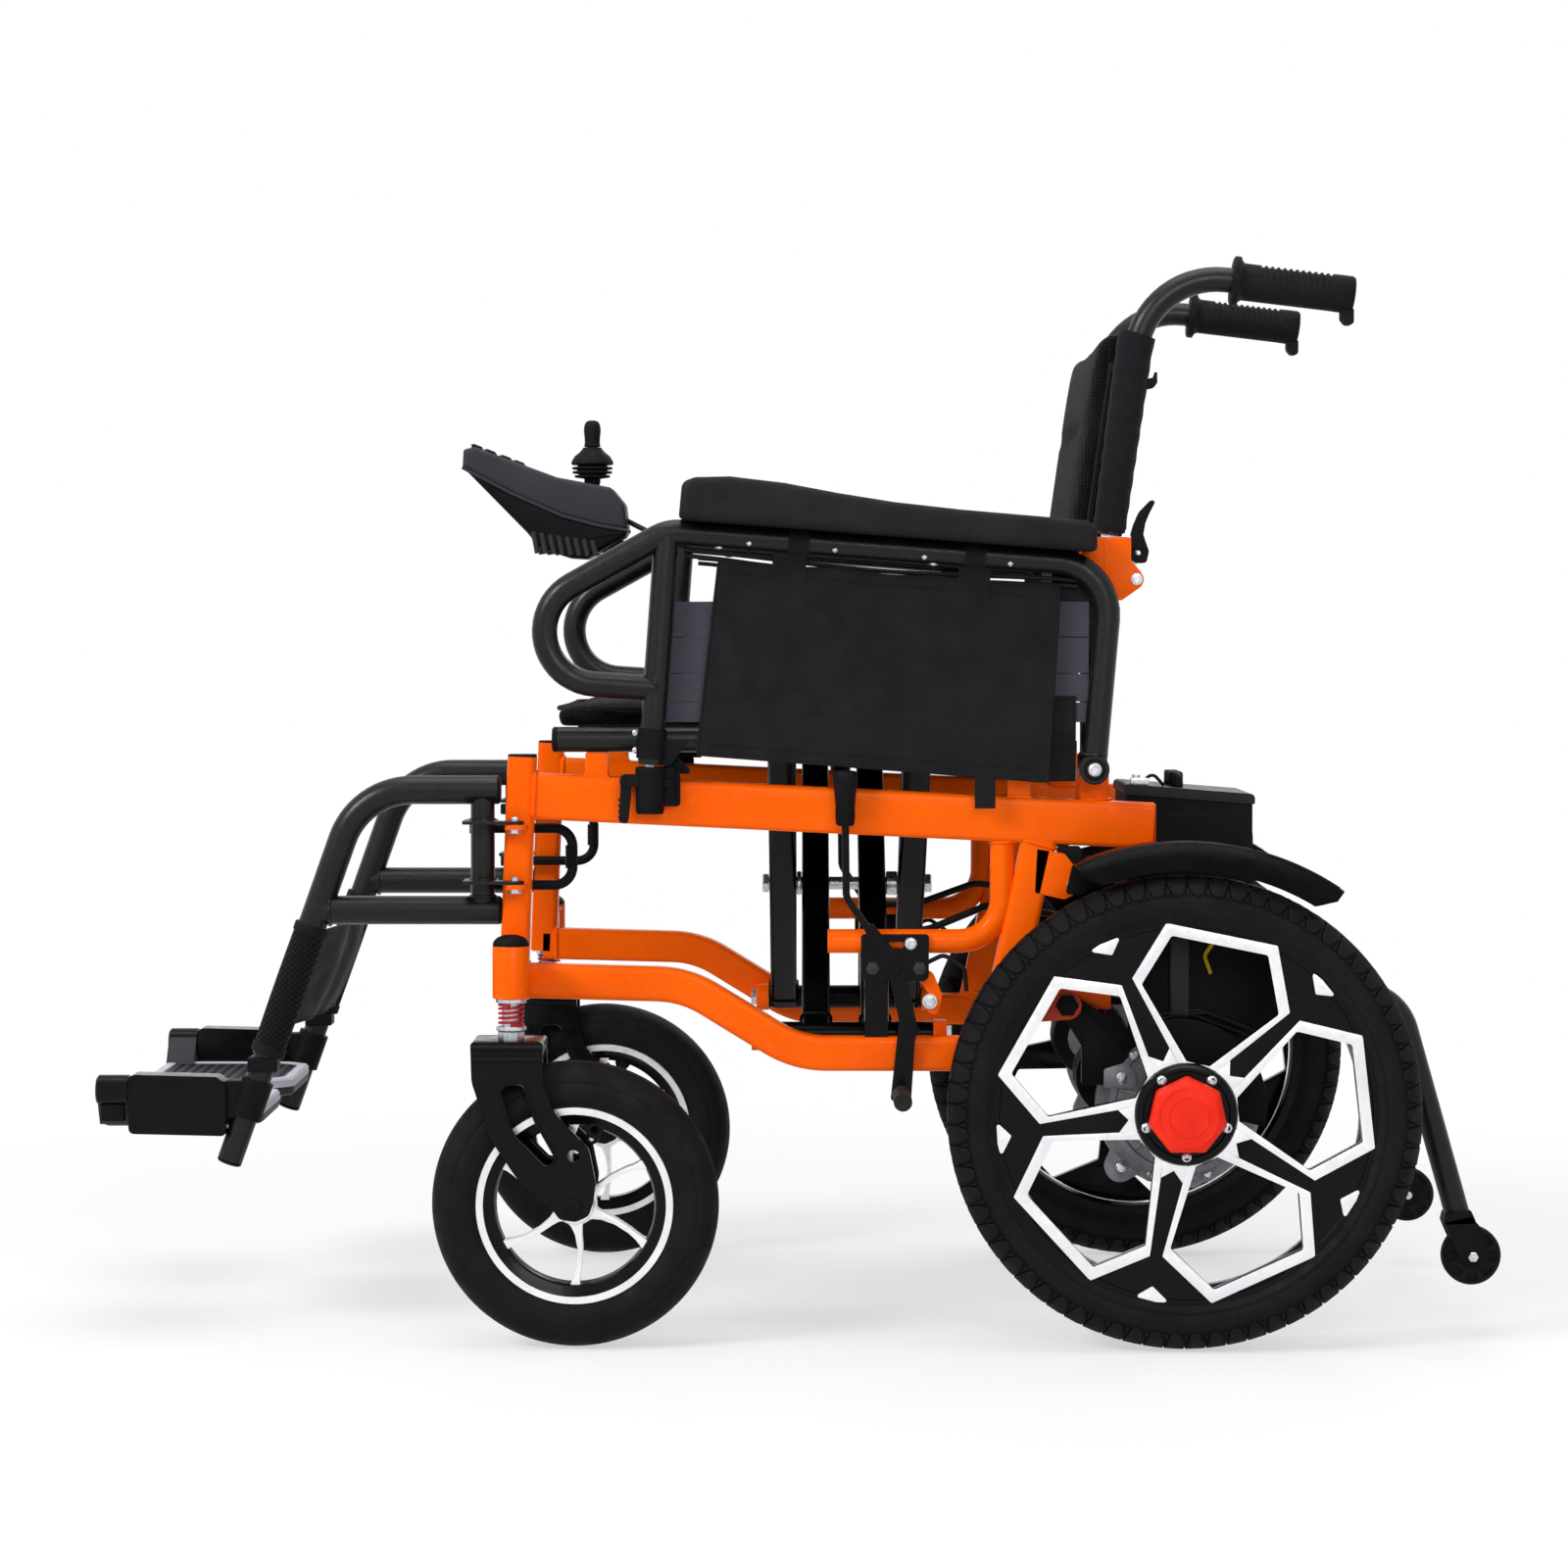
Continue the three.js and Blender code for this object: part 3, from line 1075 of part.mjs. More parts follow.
function antiTipBar() {
  const front = lugY + 15;
  const corner = tipWheelY - 12 - 0.284 * (tipBarZ - tipBarEndZ);
  const bar = tube(tubeRadius, bent(sideView(tipHalf, [[front, tipBarZ], [corner, tipBarZ], [tipBarEndY, tipBarEndZ]]), 45, 26));
  const half = 13;
  const cap = block([tipHalf - half, tipHalf + half], [tipBarEndY - 12, tipWheelY + 8], [tipWheelZ + 30, tipBarEndZ + 4]);
  const cheek = (side) => {
    const [from, to] = side > 0 ? [half - 4, half] : [-half, 4 - half];
    return plate('x', [[tipWheelY - 23, tipWheelZ + 33], [tipWheelY + 8, tipWheelZ + 33], [tipWheelY + 8, tipWheelZ],
      [tipWheelY, tipWheelZ - 8], [tipWheelY - 8, tipWheelZ]], [tipHalf + from, tipHalf + to]);
  };
  const axle = rod(at(tipHalf - half, tipWheelY, tipWheelZ), at(tipHalf + half, tipWheelY, tipWheelZ), 4, 8);
  return join(bar, cap, cheek(1), cheek(-1), axle);
}

function antiTipWheel() {
  const half = 8;
  const bore = 4 + runningGap;
  const profile = [
    [bore, -half], [tipWheelRadius - 3, -half], [tipWheelRadius, 3 - half], [tipWheelRadius, half - 3],
    [tipWheelRadius - 3, half], [bore, half], [bore, -half],
  ];
  return turnedX(profile, [tipHalf, tipWheelY, tipWheelZ], 16);
}

/** Mudguard over the drive wheel, from ahead of its top to well behind it. */
function mudguard() {
  const arc = (radius, degrees) => {
    const turn = THREE.MathUtils.degToRad(degrees);
    return [radius * Math.sin(turn), axleHeight + radius * Math.cos(turn)];
  };
  const angles = Array.from({ length: 9 }, (_, i) => -24 + (59 * i) / 8);
  const outline = [...angles.map((a) => arc(guardRadius, a)), ...angles.reverse().map((a) => arc(guardRadius - guardThickness, a))];
  const inner = guardInner();
  const shell = plate('x', outline, [inner, inner + guardWidth]);
  const lipAngles = Array.from({ length: 9 }, (_, i) => -24 + (59 * i) / 8);
  const lip = [...lipAngles.map((a) => arc(guardRadius, a)), ...lipAngles.reverse().map((a) => arc(guardRadius - 12, a))];
  const outerLip = plate('x', lip, [inner + guardWidth - guardThickness, inner + guardWidth]);
  const [y, z] = guardBolt();
  const tab = plate('x', [[y - 9, z - 8], [y + 8, z - 8], [y + 14, z + 22], [y - 3, z + 22]], [inner, inner + guardThickness]);
  return join(shell, outerLip, tab);
}

// ---------------------------------------------------------------- battery and controller

function batteryBox() {
  const [front, rear, foot, top] = [batteryFrontY, batteryRearY, batteryFootZ, batteryTopZ];
  const fall = 9; // of the lid toward the rear
  const body = plate('x', [[front, foot], [rear, foot], [rear, top - fall - 14], [front, top - 14]], [batteryInner + 2, batteryOuter - 2]);
  const lid = plate('x', [[front - 2, top - 16], [rear + 2, top - fall - 16], [rear + 2, top - fall], [front - 2, top]],
    [batteryInner, batteryOuter]);
  const across = (batteryInner + batteryOuter) / 2;
  const handle = tube(5, bent([at(across - 38, 4, top - 8), at(across - 38, 4, top + 16), at(across + 38, 4, top + 16),
    at(across + 38, 4, top - 8)], 9, 45), 8);
  return join(body, lid, handle);
}

/** Tray under the battery, hung on the left anti-tip bar by its outer wall. */
function batteryTray() {
  const wall = 3;
  const [front, rear] = [batteryFrontY - 2, batteryRearY + 2];
  const outer = tipHalf - tubeRadius - clearance;
  const inner = batteryInner - 2;
  const floor = block([inner, outer], [front - wall, rear + wall], [batteryFootZ - clearance - wall, batteryFootZ - clearance]);
  const outerWall = block([batteryOuter + 1, outer], [front - wall, rear + wall], [batteryFootZ - wall, tipBarZ + 24]);
  const frontWall = block([inner, outer], [front - wall, front], [batteryFootZ - wall, tipBarZ + 30]);
  const rearWall = block([inner, outer], [rear, rear + wall], [batteryFootZ - wall, tipBarZ + 8]);
  const arm = block([batteryOuter + 1, tipHalf - tubeRadius - 1], [lugY + 30, front], [tipBarZ + 13, tipBarZ + 24]);
  const hook = block([batteryOuter + 1, tipHalf], [lugY + 16, lugY + 36], [tipBarZ + 13, tipBarZ + 24]);
  return join(floor, outerWall, frontWall, rearWall, arm, hook);
}

/** Side of the handset, measured from the foot of the joystick. */
const controllerOutline = [
  [-139, 20], [-114, 0], [-73, -47], [-63, -62], [-38, -70], [-32, -74], [-14, -74], [31, -45],
  [31, -38], [23, -10], [15, -3], [-45, 7], [-126, 38], [-139, 33],
].map(([y, z]) => [stickY + y, stickBaseZ + z]);

/** Handset shell, with its mounting bar along the right armrest. */
function controllerBody() {
  const bevel = 6;
  const half = controllerWidth / 2;
  const shape = new THREE.Shape(inset(controllerOutline, bevel).map(point2));
  const shell = new THREE.ExtrudeGeometry(shape, {
    depth: controllerWidth - 2 * bevel, bevelEnabled: true, bevelSize: bevel, bevelThickness: bevel, bevelSegments: 2,
  });
  const body = solid(stand(shell, 'x', -controllerHalf - half + bevel));
  const barInner = -(armHalf + tubeRadius + clearance);
  const bar = block([barInner - 13, barInner], [armTopFrontY - 109, armTopFrontY + 36], [armTopFrontZ - 10, armTopFrontZ + 2]);
  const pit = rod(at(-controllerHalf, stickY, stickBaseZ - ballRadius - clearance),
    at(-controllerHalf, stickY, stickBaseZ + 20), ballRadius + 1.5, 12);
  const pits = buttonPlaces().map(([y, z]) => rod(buttonPoint(y, z, -3.2), buttonPoint(y, z, 9), 6.4, 8));
  return cut(join(body, bar), pit, ...pits);
}

const buttonSlope = 31 / 81; // fall of the key panel, nose to joystick
const keyPanelZ = (y) => stickBaseZ + 38 - buttonSlope * (y - stickY + 126);
const buttonPlaces = () => [-113, -100, -85, -72].map((y) => [stickY + y, keyPanelZ(stickY + y)]);

/** Point above the key panel, measured square to it. */
function buttonPoint(y, z, lift) {
  const tilt = Math.atan(buttonSlope);
  return at(-controllerHalf, y + lift * Math.sin(tilt), z + lift * Math.cos(tilt));
}

const button = (n) => {
  const [y, z] = buttonPlaces()[n];
  return rod(buttonPoint(y, z, -2.2), buttonPoint(y, z, 2.4), 5.6, 8);
};

const ballRadius = 8; // the joystick turns about the middle of this ball
const bootHeight = 36;

/** Ribbed boot round the joystick, on its ball; its top is rounded about the ball's middle. */
function joystickGaiter() {
  const ball = [90, 60, 30, 0].map((degrees) => {
    const turn = THREE.MathUtils.degToRad(degrees);
    return [ballRadius * Math.cos(turn), stickBaseZ - ballRadius * Math.sin(turn)];
  });
  const ribs = [0, 1, 2].flatMap((i) => [[14, stickBaseZ + 7 + 5.5 * i], [9.5, stickBaseZ + 9.5 + 5.5 * i]]);
  const head = [9, 5, 0].map((r) => [r, stickBaseZ + Math.sqrt(bootHeight ** 2 - r ** 2) - (r ? clearance : 0)]);
  const profile = [[0, stickBaseZ - ballRadius], ...ball.slice(1), [ballRadius, stickBaseZ + 5], ...ribs,
    [20, stickBaseZ + 22.5], ...head];
  return turnedZ(profile, [-controllerHalf, stickY, 0], 12);
}

function joystickKnob() {
  const foot = stickBaseZ + bootHeight + clearance;
  const profile = [[0, foot], [7.5, foot], [8.2, foot + 16], [7.2, foot + 25], [4, foot + 28], [0, foot + 28]];
  return turnedZ(profile, [-controllerHalf, stickY, 0], 12);
}

/** Handset lead along the right armrest, down to the pivot end of its tube. */
function controllerCable() {
  const radius = 2.6;
  const x = -(armHalf - tubeRadius - radius + clearance);
  return tube(radius, bent([
    at(x - 14, stickY + 32.6, stickBaseZ - 38), at(x, armTopFrontY - 42, armTopFrontZ + 10),
    at(x, armTopFrontY, armTopFrontZ - 5), at(x, armTopRearY, armTopRearZ - 4),
    at(x, armPivotY + 8, armPivotZ + 113), at(x, armPivotY + 4, armPivotZ + 59),
  ], 12, 45), 6);
}

// ---------------------------------------------------------------- assembly

const slack = 0.02; // flat neighbours closer than this to one plane share a face

/** Solid as a named mesh; the right-hand copy is reflected and its faces turned back. */
function mesh(name, body, material, reflected = false) {
  const { vertProperties, triVerts } = body.asOriginal().simplify(slack).getMesh();
  const geometry = new THREE.BufferGeometry();
  const points = Float32Array.from(vertProperties);
  const faces = Uint32Array.from(triVerts);
  if (reflected) {
    for (let i = 0; i < points.length; i += 3) points[i] *= -1;
    faces.reverse();
  }
  geometry.setAttribute('position', new THREE.BufferAttribute(points, 3));
  geometry.setIndex(new THREE.BufferAttribute(faces, 1));
  geometry.computeVertexNormals();
  const piece = new THREE.Mesh(geometry, material());
  piece.name = name;
  return piece;
}

const chair = new THREE.Group();
chair.position.y = axleToMiddle;

function pair(name, body, material) {
  chair.add(mesh(`left_${name}`, body, material), mesh(`right_${name}`, body, material, true));
}

function single(name, body, material) {
  chair.add(mesh(name, body, material));
}

const frameBody = sideFrame();
single('left_side_frame', join(frameBody, batteryTray()), orangePaint);
chair.add(mesh('right_side_frame', frameBody, orangePaint, true));
pair('drive_tyre', driveTyre(), rubber);
pair('drive_rim', driveRim(), machinedAlloy);
pair('clutch_knob', clutchKnob(), redPlastic);
pair('motor', motor(), castAlloy);
pair('caster_tyre', casterTyre(), rubber);
pair('caster_rim', casterRim(), machinedAlloy);
pair('caster_fork', casterFork(), blackPaint);
pair('caster_spring', casterSpring(), redSpring);
pair('legrest_frame', legrest(), blackPaint);
pair('legrest_latch', legrestLatch(), blackPlastic);
pair('footplate', footplate(), blackPlastic);
pair('armrest_frame', armrestFrame(), blackPaint);
pair('arm_pad', armPad(), blackPlastic);
pair('side_guard', sideGuard(), blackCloth);
pair('arm_latch', armLatch(), blackPlastic);
pair('back_tube', backTube(), blackPaint);
pair('handgrip', handgrip(), rubber);
pair('back_lever', backLever(), blackPlastic);
pair('brake_lever', brakeLever(), blackPaint);
pair('anti_tip_bar', antiTipBar(), blackPaint);
pair('anti_tip_wheel', antiTipWheel(), blackPlastic);
pair('mudguard', mudguard(), blackPlastic);
single('cross_brace_a', crossBrace(1, innerBarY, true), blackPaint);
single('cross_brace_b', crossBrace(-1, outerBarY, false), blackPaint);
single('seat_cushion', seatCushion(), blackCloth);
single('back_cushion', backCushion(), blackCloth);
single('calf_strap', calfStrap(), blackCloth);
single('battery_box', batteryBox(), blackPlastic);
single('controller_body', controllerBody(), blackPlastic);
single('joystick_gaiter', joystickGaiter(), rubber);
single('joystick_knob', joystickKnob(), rubber);
['power', 'horn', 'slower', 'faster'].forEach((use, n) => single(`${use}_button`, button(n), blackPlastic));
single('controller_cable', controllerCable(), rubber);

const wheelchair = new THREE.Group();
wheelchair.add(chair);
export default wheelchair;
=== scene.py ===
"""Looks of a folding power wheelchair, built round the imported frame.

Lengths are millimetres in the chair's own frame, as on the frame's parts: X to the sitter's left,
Y rearward from the drive axle, Z up from the floor. piece() turns them into metres in the frame.
Each sub-part is written once, for the left side, and mirrored for the right.
"""

import json
import math

import bmesh
import bpy
from mathutils import Matrix, Quaternion, Vector, noise
from mathutils.geometry import tessellate_polygon

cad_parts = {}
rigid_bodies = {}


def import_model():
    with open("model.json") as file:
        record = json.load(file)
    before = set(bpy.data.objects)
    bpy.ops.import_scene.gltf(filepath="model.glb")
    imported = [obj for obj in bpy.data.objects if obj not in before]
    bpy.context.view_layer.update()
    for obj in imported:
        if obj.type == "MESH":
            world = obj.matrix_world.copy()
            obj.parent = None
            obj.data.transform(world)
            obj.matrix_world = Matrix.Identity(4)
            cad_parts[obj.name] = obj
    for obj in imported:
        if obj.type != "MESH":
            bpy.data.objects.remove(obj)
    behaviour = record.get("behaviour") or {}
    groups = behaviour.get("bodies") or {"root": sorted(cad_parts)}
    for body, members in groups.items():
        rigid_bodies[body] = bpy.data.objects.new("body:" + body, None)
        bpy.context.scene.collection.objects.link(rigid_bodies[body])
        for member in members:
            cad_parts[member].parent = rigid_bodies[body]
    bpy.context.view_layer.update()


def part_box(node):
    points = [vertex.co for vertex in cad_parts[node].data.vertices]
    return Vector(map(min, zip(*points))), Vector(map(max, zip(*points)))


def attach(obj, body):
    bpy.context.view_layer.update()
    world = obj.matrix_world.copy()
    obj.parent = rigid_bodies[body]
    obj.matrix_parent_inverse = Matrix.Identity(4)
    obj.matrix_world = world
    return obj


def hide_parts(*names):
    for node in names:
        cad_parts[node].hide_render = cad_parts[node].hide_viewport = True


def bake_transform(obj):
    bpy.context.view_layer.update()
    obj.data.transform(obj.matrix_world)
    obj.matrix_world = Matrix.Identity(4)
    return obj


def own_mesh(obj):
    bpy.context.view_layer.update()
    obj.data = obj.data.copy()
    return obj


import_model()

# ---------------------------------------------------------------- sizes taken from the frame

METRES = 0.001
axle = (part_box("left_drive_tyre")[0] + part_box("left_drive_tyre")[1]) / 2
AXLE_Y = round(axle.y, 4) / METRES


def extent(node):
    """Lowest and highest corners of a node of the frame, in the chair's millimetres."""
    return [Vector((p.x / METRES, p.y / METRES - AXLE_Y, p.z / METRES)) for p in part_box(node)]


def middle(node):
    """Middle of a node's box."""
    low, high = extent(node)
    return (low + high) / 2


# Wheels
axle_z = middle("left_drive_tyre").z
track = middle("left_drive_tyre").x
drive_radius = axle_z
rim_radius = 164
rim_half = 20
spoke_depth = 12
window_corners = [(164.6, 96.2), (125.5, 111.8), (44.9, 99.9), (44.9, 55.5), (123.7, 44.7), (163.7, 61.8)]
band_widths = [9.5, 4.6, 0.5, 4.6, 9.5, 9.5]
opening_foot = [(45.5, 90.2), (45.5, 64.4)]
spoke_axis = 113.7
hub_radius = 43
hub_face = track + 24
caster = middle("left_caster_tyre")
caster_radius = caster.z
caster_rim = 85
caster_half = 22
swivel_y = -578.5
crown_top = 266
spring_low, spring_high = crown_top + 11.3, crown_top + 30.6

# Side frames
half = 205
rail_width = 25
outer = half + rail_width / 2
rail_height = 40
rail_front, rail_rear = -564, -23
post_foot_y, post_foot_z, post_head_z, post_lean = -580, 305, 507, 8
hoop_z = 346
seat_rail_z = 522
socket_top = 499.4
arm_pivot_y, arm_pivot_z = -76, 497
fold_y, fold_z = -38, 661.5
lever_y, lever_z = fold_y + 2, fold_z + 23
leg_hinge_x, leg_hinge_y = 226.1, -577.3
clevis_z = (450.5, 398.5)
brake_y, brake_z = -247, 325
motor_bolt_y, motor_bolt_z = -97, 290
tip_x, tip_z = 190, 300
tip_wheel = (tip_x, 259, 69)
arm_x = middle("left_armrest_frame").x
back_x = 198


def rail_top(y):
    """Height of the top rail's upper face; the rail falls to the rear."""
    return 493 - 26 * (y - rail_front) / (rail_rear - rail_front)


def post_y(z):
    """Middle of the leaning front post."""
    return post_foot_y + post_lean * (z - post_foot_z) / (post_head_z - post_foot_z)


def arm_top(y):
    """Height of the armrest tube's middle line under the pad."""
    return 702 - 25.6 * (y + 436) / 330


def arm_post_y(z):
    """Middle of the armrest's leaning front post."""
    return -445 - 0.0738 * (702 - z)


def leg_y(z):
    """Middle of the legrest's slanted tube."""
    return -714 - 115 * (478 - z) / 324


# ---------------------------------------------------------------- shapes

def rounded(corners, radius, steps=6, closed=False):
    """A line through corners, each turned into an arc; radius may be one for each corner."""
    corners = [Vector(c) for c in corners]
    radii = radius if hasattr(radius, "__len__") else [radius] * len(corners)
    line = []
    for i, corner in enumerate(corners):
        before, after = corners[i - 1] - corner, corners[(i + 1) % len(corners)] - corner
        end = not closed and i in (0, len(corners) - 1)
        turn = 0 if end else math.pi - before.angle(after)
        if turn < 0.01 or not radii[i]:
            line.append(corner)
            continue
        reach = min(radii[i] * math.tan(turn / 2), 0.49 * before.length, 0.49 * after.length)
        bow = reach / math.tan(turn / 2) / math.cos(turn / 2)
        centre = corner + (before.normalized() + after.normalized()).normalized() * bow
        first = corner + before.normalized() * reach - centre
        spin = first.cross(corner + after.normalized() * reach - centre)
        line += [centre + Quaternion(spin, turn * k / steps) @ first for k in range(steps + 1)]
    return line


def outline2(corners, radius, steps=4):
    """A closed flat outline with rounded corners."""
    flat = rounded([(a, b, 0) for a, b in corners], radius, steps, closed=True)
    return [(p.x, p.y) for p in flat]


def side_view(x, corners):
    """Points (y, z) placed at one x."""
    return [Vector((x, y, z)) for y, z in corners]


def polar(radius, degrees, y=0.0, z=0.0):
    """A point (y, z) on a circle round y, z."""
    turn = math.radians(degrees)
    return (y + radius * math.cos(turn), z + radius * math.sin(turn))


def bore(radius, y, z):
    """Outline of a round hole, with twelve sides."""
    return [polar(radius, 30 * k, y, z) for k in range(12)]


def skin(rings, closed=False, capped=True):
    """Faces between rings of points; a ring that is one point closes the shape there."""
    points, starts = [], []
    for ring in rings:
        single = all((p - ring[0]).length < 1e-5 for p in ring)
        starts.append((len(points), 1 if single else len(ring)))
        points += [ring[0]] if single else ring
    faces = []
    count = max(len(r) for r in rings)
    pairs = list(zip(starts, starts[1:])) + ([(starts[-1], starts[0])] if closed else [])
    for (a, na), (b, nb) in pairs:
        for k in range(count):
            corner = [a + k % na, a + (k + 1) % na, b + (k + 1) % nb, b + k % nb]
            face = list(dict.fromkeys(corner))
            if len(face) > 2:
                faces.append(face)
    if capped and not closed:
        for start, size in (starts[0], starts[-1]):
            if size > 2:
                faces.append(list(range(start, start + size)))
    return points, faces


def circle(radius, sides=20):
    """Points round a circle."""
    return [(radius * math.cos(2 * math.pi * k / sides), radius * math.sin(2 * math.pi * k / sides))
            for k in range(sides)]


def oblong(width, height, corner=5, steps=3):
    """A rounded rectangle round the origin."""
    w, h = width / 2, height / 2
    return outline2([(-w, -h), (w, -h), (w, h), (-w, h)], corner, steps)


def sweep(path, section, across=(1, 0, 0), closed=False):
    """section carried along path; it may be a function of the share of the way."""
    path = [Vector(p) for p in path]
    last = len(path) - 1
    side, rings = Vector(across), []
    for i, p in enumerate(path):
        ahead = path[(i + 1) % len(path)] if closed else path[min(i + 1, last)]
        behind = path[i - 1] if closed else path[max(i - 1, 0)]
        along = (ahead - behind).normalized()
        side = (side - along * side.dot(along)).normalized()
        up = along.cross(side)
        flat = section(i / last) if callable(section) else section
        rings.append([p + side * a + up * b for a, b in flat])
    return skin(rings, closed)


def tube(path, radius, sides=20, closed=False):
    """A round tube along a path."""
    across = (0, 1, 0) if abs((Vector(path[1]) - Vector(path[0])).normalized().x) > 0.9 else (1, 0, 0)
    return sweep(path, circle(radius, sides), across, closed)


def turned(profile, centre, axis="x", sides=64, closed=False):
    """A lathed shape: profile points are (radius, place along the axis)."""
    c = Vector(centre)
    rings = []
    for r, t in profile:
        ring = []
        for k in range(sides):
            a, b = r * math.cos(2 * math.pi * k / sides), r * math.sin(2 * math.pi * k / sides)
            ring.append(c + Vector({"x": (t, a, b), "y": (a, t, b), "z": (a, b, t)}[axis]))
        rings.append(ring)
    return skin(rings, closed, capped=False)


def square_to(along):
    """Two directions square to a unit vector and to each other."""
    helper = Vector((0, 0, 1)) if abs(along.z) < 0.9 else Vector((1, 0, 0))
    side = along.cross(helper).normalized()
    return side, along.cross(side)


def rod(start, end, radius, end_radius=None, sides=20, chamfer=0.8):
    """A straight round bar, or a cone, with chamfered ends."""
    start, end = Vector(start), Vector(end)
    along = (end - start).normalized()
    last = radius if end_radius is None else end_radius
    stations = [(0, radius - chamfer), (chamfer, radius),
                ((end - start).length - chamfer, last), ((end - start).length, last - chamfer)]
    side, up = square_to(along)
    return skin([[start + along * t + side * a + up * b for a, b in circle(r, sides)] for t, r in stations])


def bevelled(shape, width, segments):
    """The shape with its sharp edges rounded over."""
    if not width:
        return shape
    mesh = to_bmesh([shape])
    least = math.radians(25)
    edges = [e for e in mesh.edges if len(e.link_faces) == 2 and e.calc_face_angle(0) > least]
    bmesh.ops.bevel(mesh, geom=edges, offset=width, segments=segments, profile=0.7, affect="EDGES",
                    clamp_overlap=True)
    points = [v.co.copy() for v in mesh.verts]
    mesh.verts.index_update()
    faces = [[v.index for v in f.verts] for f in mesh.faces]
    mesh.free()
    return points, faces


def to_bmesh(shapes):
    """Shapes joined in one bmesh, their normals outward."""
    mesh = bmesh.new()
    for points, faces in shapes:
        made = [mesh.verts.new(p) for p in points]
        for face in faces:
            mesh.faces.new([made[i] for i in face])
    bmesh.ops.recalc_face_normals(mesh, faces=mesh.faces)
    return mesh


def plate(axis, outline, span, holes=(), bevel=0.8, segments=2):
    """A flat piece square to axis, with holes, between the two places of span."""
    loops = [list(outline), *[list(h) for h in holes]]
    flat = [p for loop in loops for p in loop]

    def place(p, t):
        return Vector({"x": (t, p[0], p[1]), "y": (p[0], t, p[1]), "z": (p[0], p[1], t)}[axis])

    triangles = tessellate_polygon([[Vector((a, b, 0)) for a, b in loop] for loop in loops])
    count = len(flat)
    points = [place(p, t) for t in span for p in flat]
    faces = [list(t) for t in triangles] + [[i + count for i in t] for t in triangles]
    start = 0
    for loop in loops:
        n = len(loop)
        for k in range(n):
            a, b = start + k, start + (k + 1) % n
            faces.append([a, b, b + count, a + count])
        start += n
    return bevelled((points, faces), bevel, segments)


def box(xs, ys, zs, bevel=1.0, segments=2):
    """A rounded box between pairs of x, y and z."""
    return plate("x", [(ys[0], zs[0]), (ys[1], zs[0]), (ys[1], zs[1]), (ys[0], zs[1])], xs, bevel=bevel,
                 segments=segments)


def hexagon(centre, direction, radius, depth):
    """A hexagon head or nut, its top edge chamfered."""
    c, along = Vector(centre), Vector(direction).normalized()
    side, up = square_to(along)

    def ring(r, t):
        return [c + along * t + side * a + up * b for a, b in circle(r, 6)]

    return skin([ring(radius, 0), ring(radius, depth * 0.82), ring(radius * 0.86, depth)])


def bolt(centre, direction, radius, depth):
    """A hexagon bolt head on its washer."""
    c, along = Vector(centre), Vector(direction).normalized()
    washer = rod(c, c + along * 1.2, radius * 1.35, sides=24, chamfer=0.3)
    return [(washer, ZINC), (hexagon(c + along * 1.2, along, radius, depth), ZINC)]


def cap_screw(centre, direction, radius, depth):
    """A domed screw head with a hexagon socket."""
    c, along = Vector(centre), Vector(direction).normalized()
    side, up = square_to(along)
    profile = [(radius, 0), (radius, depth * 0.35), (radius * 0.86, depth * 0.75), (radius * 0.55, depth),
               (radius * 0.5, depth * 0.4), (0, depth * 0.4)]
    rings = [[c + along * t + side * a + up * b for a, b in circle(r, 24)] for r, t in profile]
    return [(skin(rings), ZINC)]


def weld(path, radius=1.6, closed=True):
    """A welded bead along a line, with its ripples."""
    path = [Vector(p) for p in path]
    length = sum((b - a).length for a, b in zip(path, path[1:]))
    count = max(12, int(length / 1.1))
    dense = along_line(path + ([path[0]] if closed else []), count)
    if closed:
        dense = dense[:-1]
    last = len(dense) - 1

    def section(share):
        i = round(share * last)
        ripple = 1 + 0.16 * math.sin(2.1 * i) + 0.08 * math.sin(5.3 * i)
        return circle(radius * ripple, 8)

    return sweep(dense, section, (0.31, 0.87, 0.38), closed)


def along_line(path, count):
    """count + 1 points at even distances along a line."""
    lengths = [0.0]
    for a, b in zip(path, path[1:]):
        lengths.append(lengths[-1] + (b - a).length)
    out, k = [], 0
    for i in range(count + 1):
        target = lengths[-1] * i / count
        while k < len(path) - 2 and lengths[k + 1] < target:
            k += 1
        span = max(lengths[k + 1] - lengths[k], 1e-9)
        out.append(path[k].lerp(path[k + 1], (target - lengths[k]) / span))
    return out


def ring_round(centre, normal, radius, count=28):
    """A circle of points square to normal."""
    c, n = Vector(centre), Vector(normal).normalized()
    side, up = square_to(n)
    return [c + side * a + up * b for a, b in circle(radius, count)]


def grid(rows, columns, surface):
    """An open sheet of points surface(u, v)."""
    points = [Vector(surface(i / columns, j / rows)) for j in range(rows + 1) for i in range(columns + 1)]
    wide = columns + 1
    faces = [[j * wide + i, j * wide + i + 1, (j + 1) * wide + i + 1, (j + 1) * wide + i]
             for j in range(rows) for i in range(columns)]
    return points, faces


def thick(shape, depth):
    """A sheet given a thickness, both ways from its middle."""
    mesh = to_bmesh([shape])
    for v in mesh.verts:
        v.normal_update()
    front = [v.co + v.normal * depth / 2 for v in mesh.verts]
    back = [v.co - v.normal * depth / 2 for v in mesh.verts]
    mesh.verts.index_update()
    count = len(front)
    faces = [[v.index for v in f.verts] for f in mesh.faces]
    faces += [[i + count for i in reversed(f)] for f in faces[:]]
    for e in mesh.edges:
        if len(e.link_faces) == 1:
            a, b = e.verts[0].index, e.verts[1].index
            faces.append([a, b, b + count, a + count])
    mesh.free()
    return front + back, faces


# ---------------------------------------------------------------- pieces

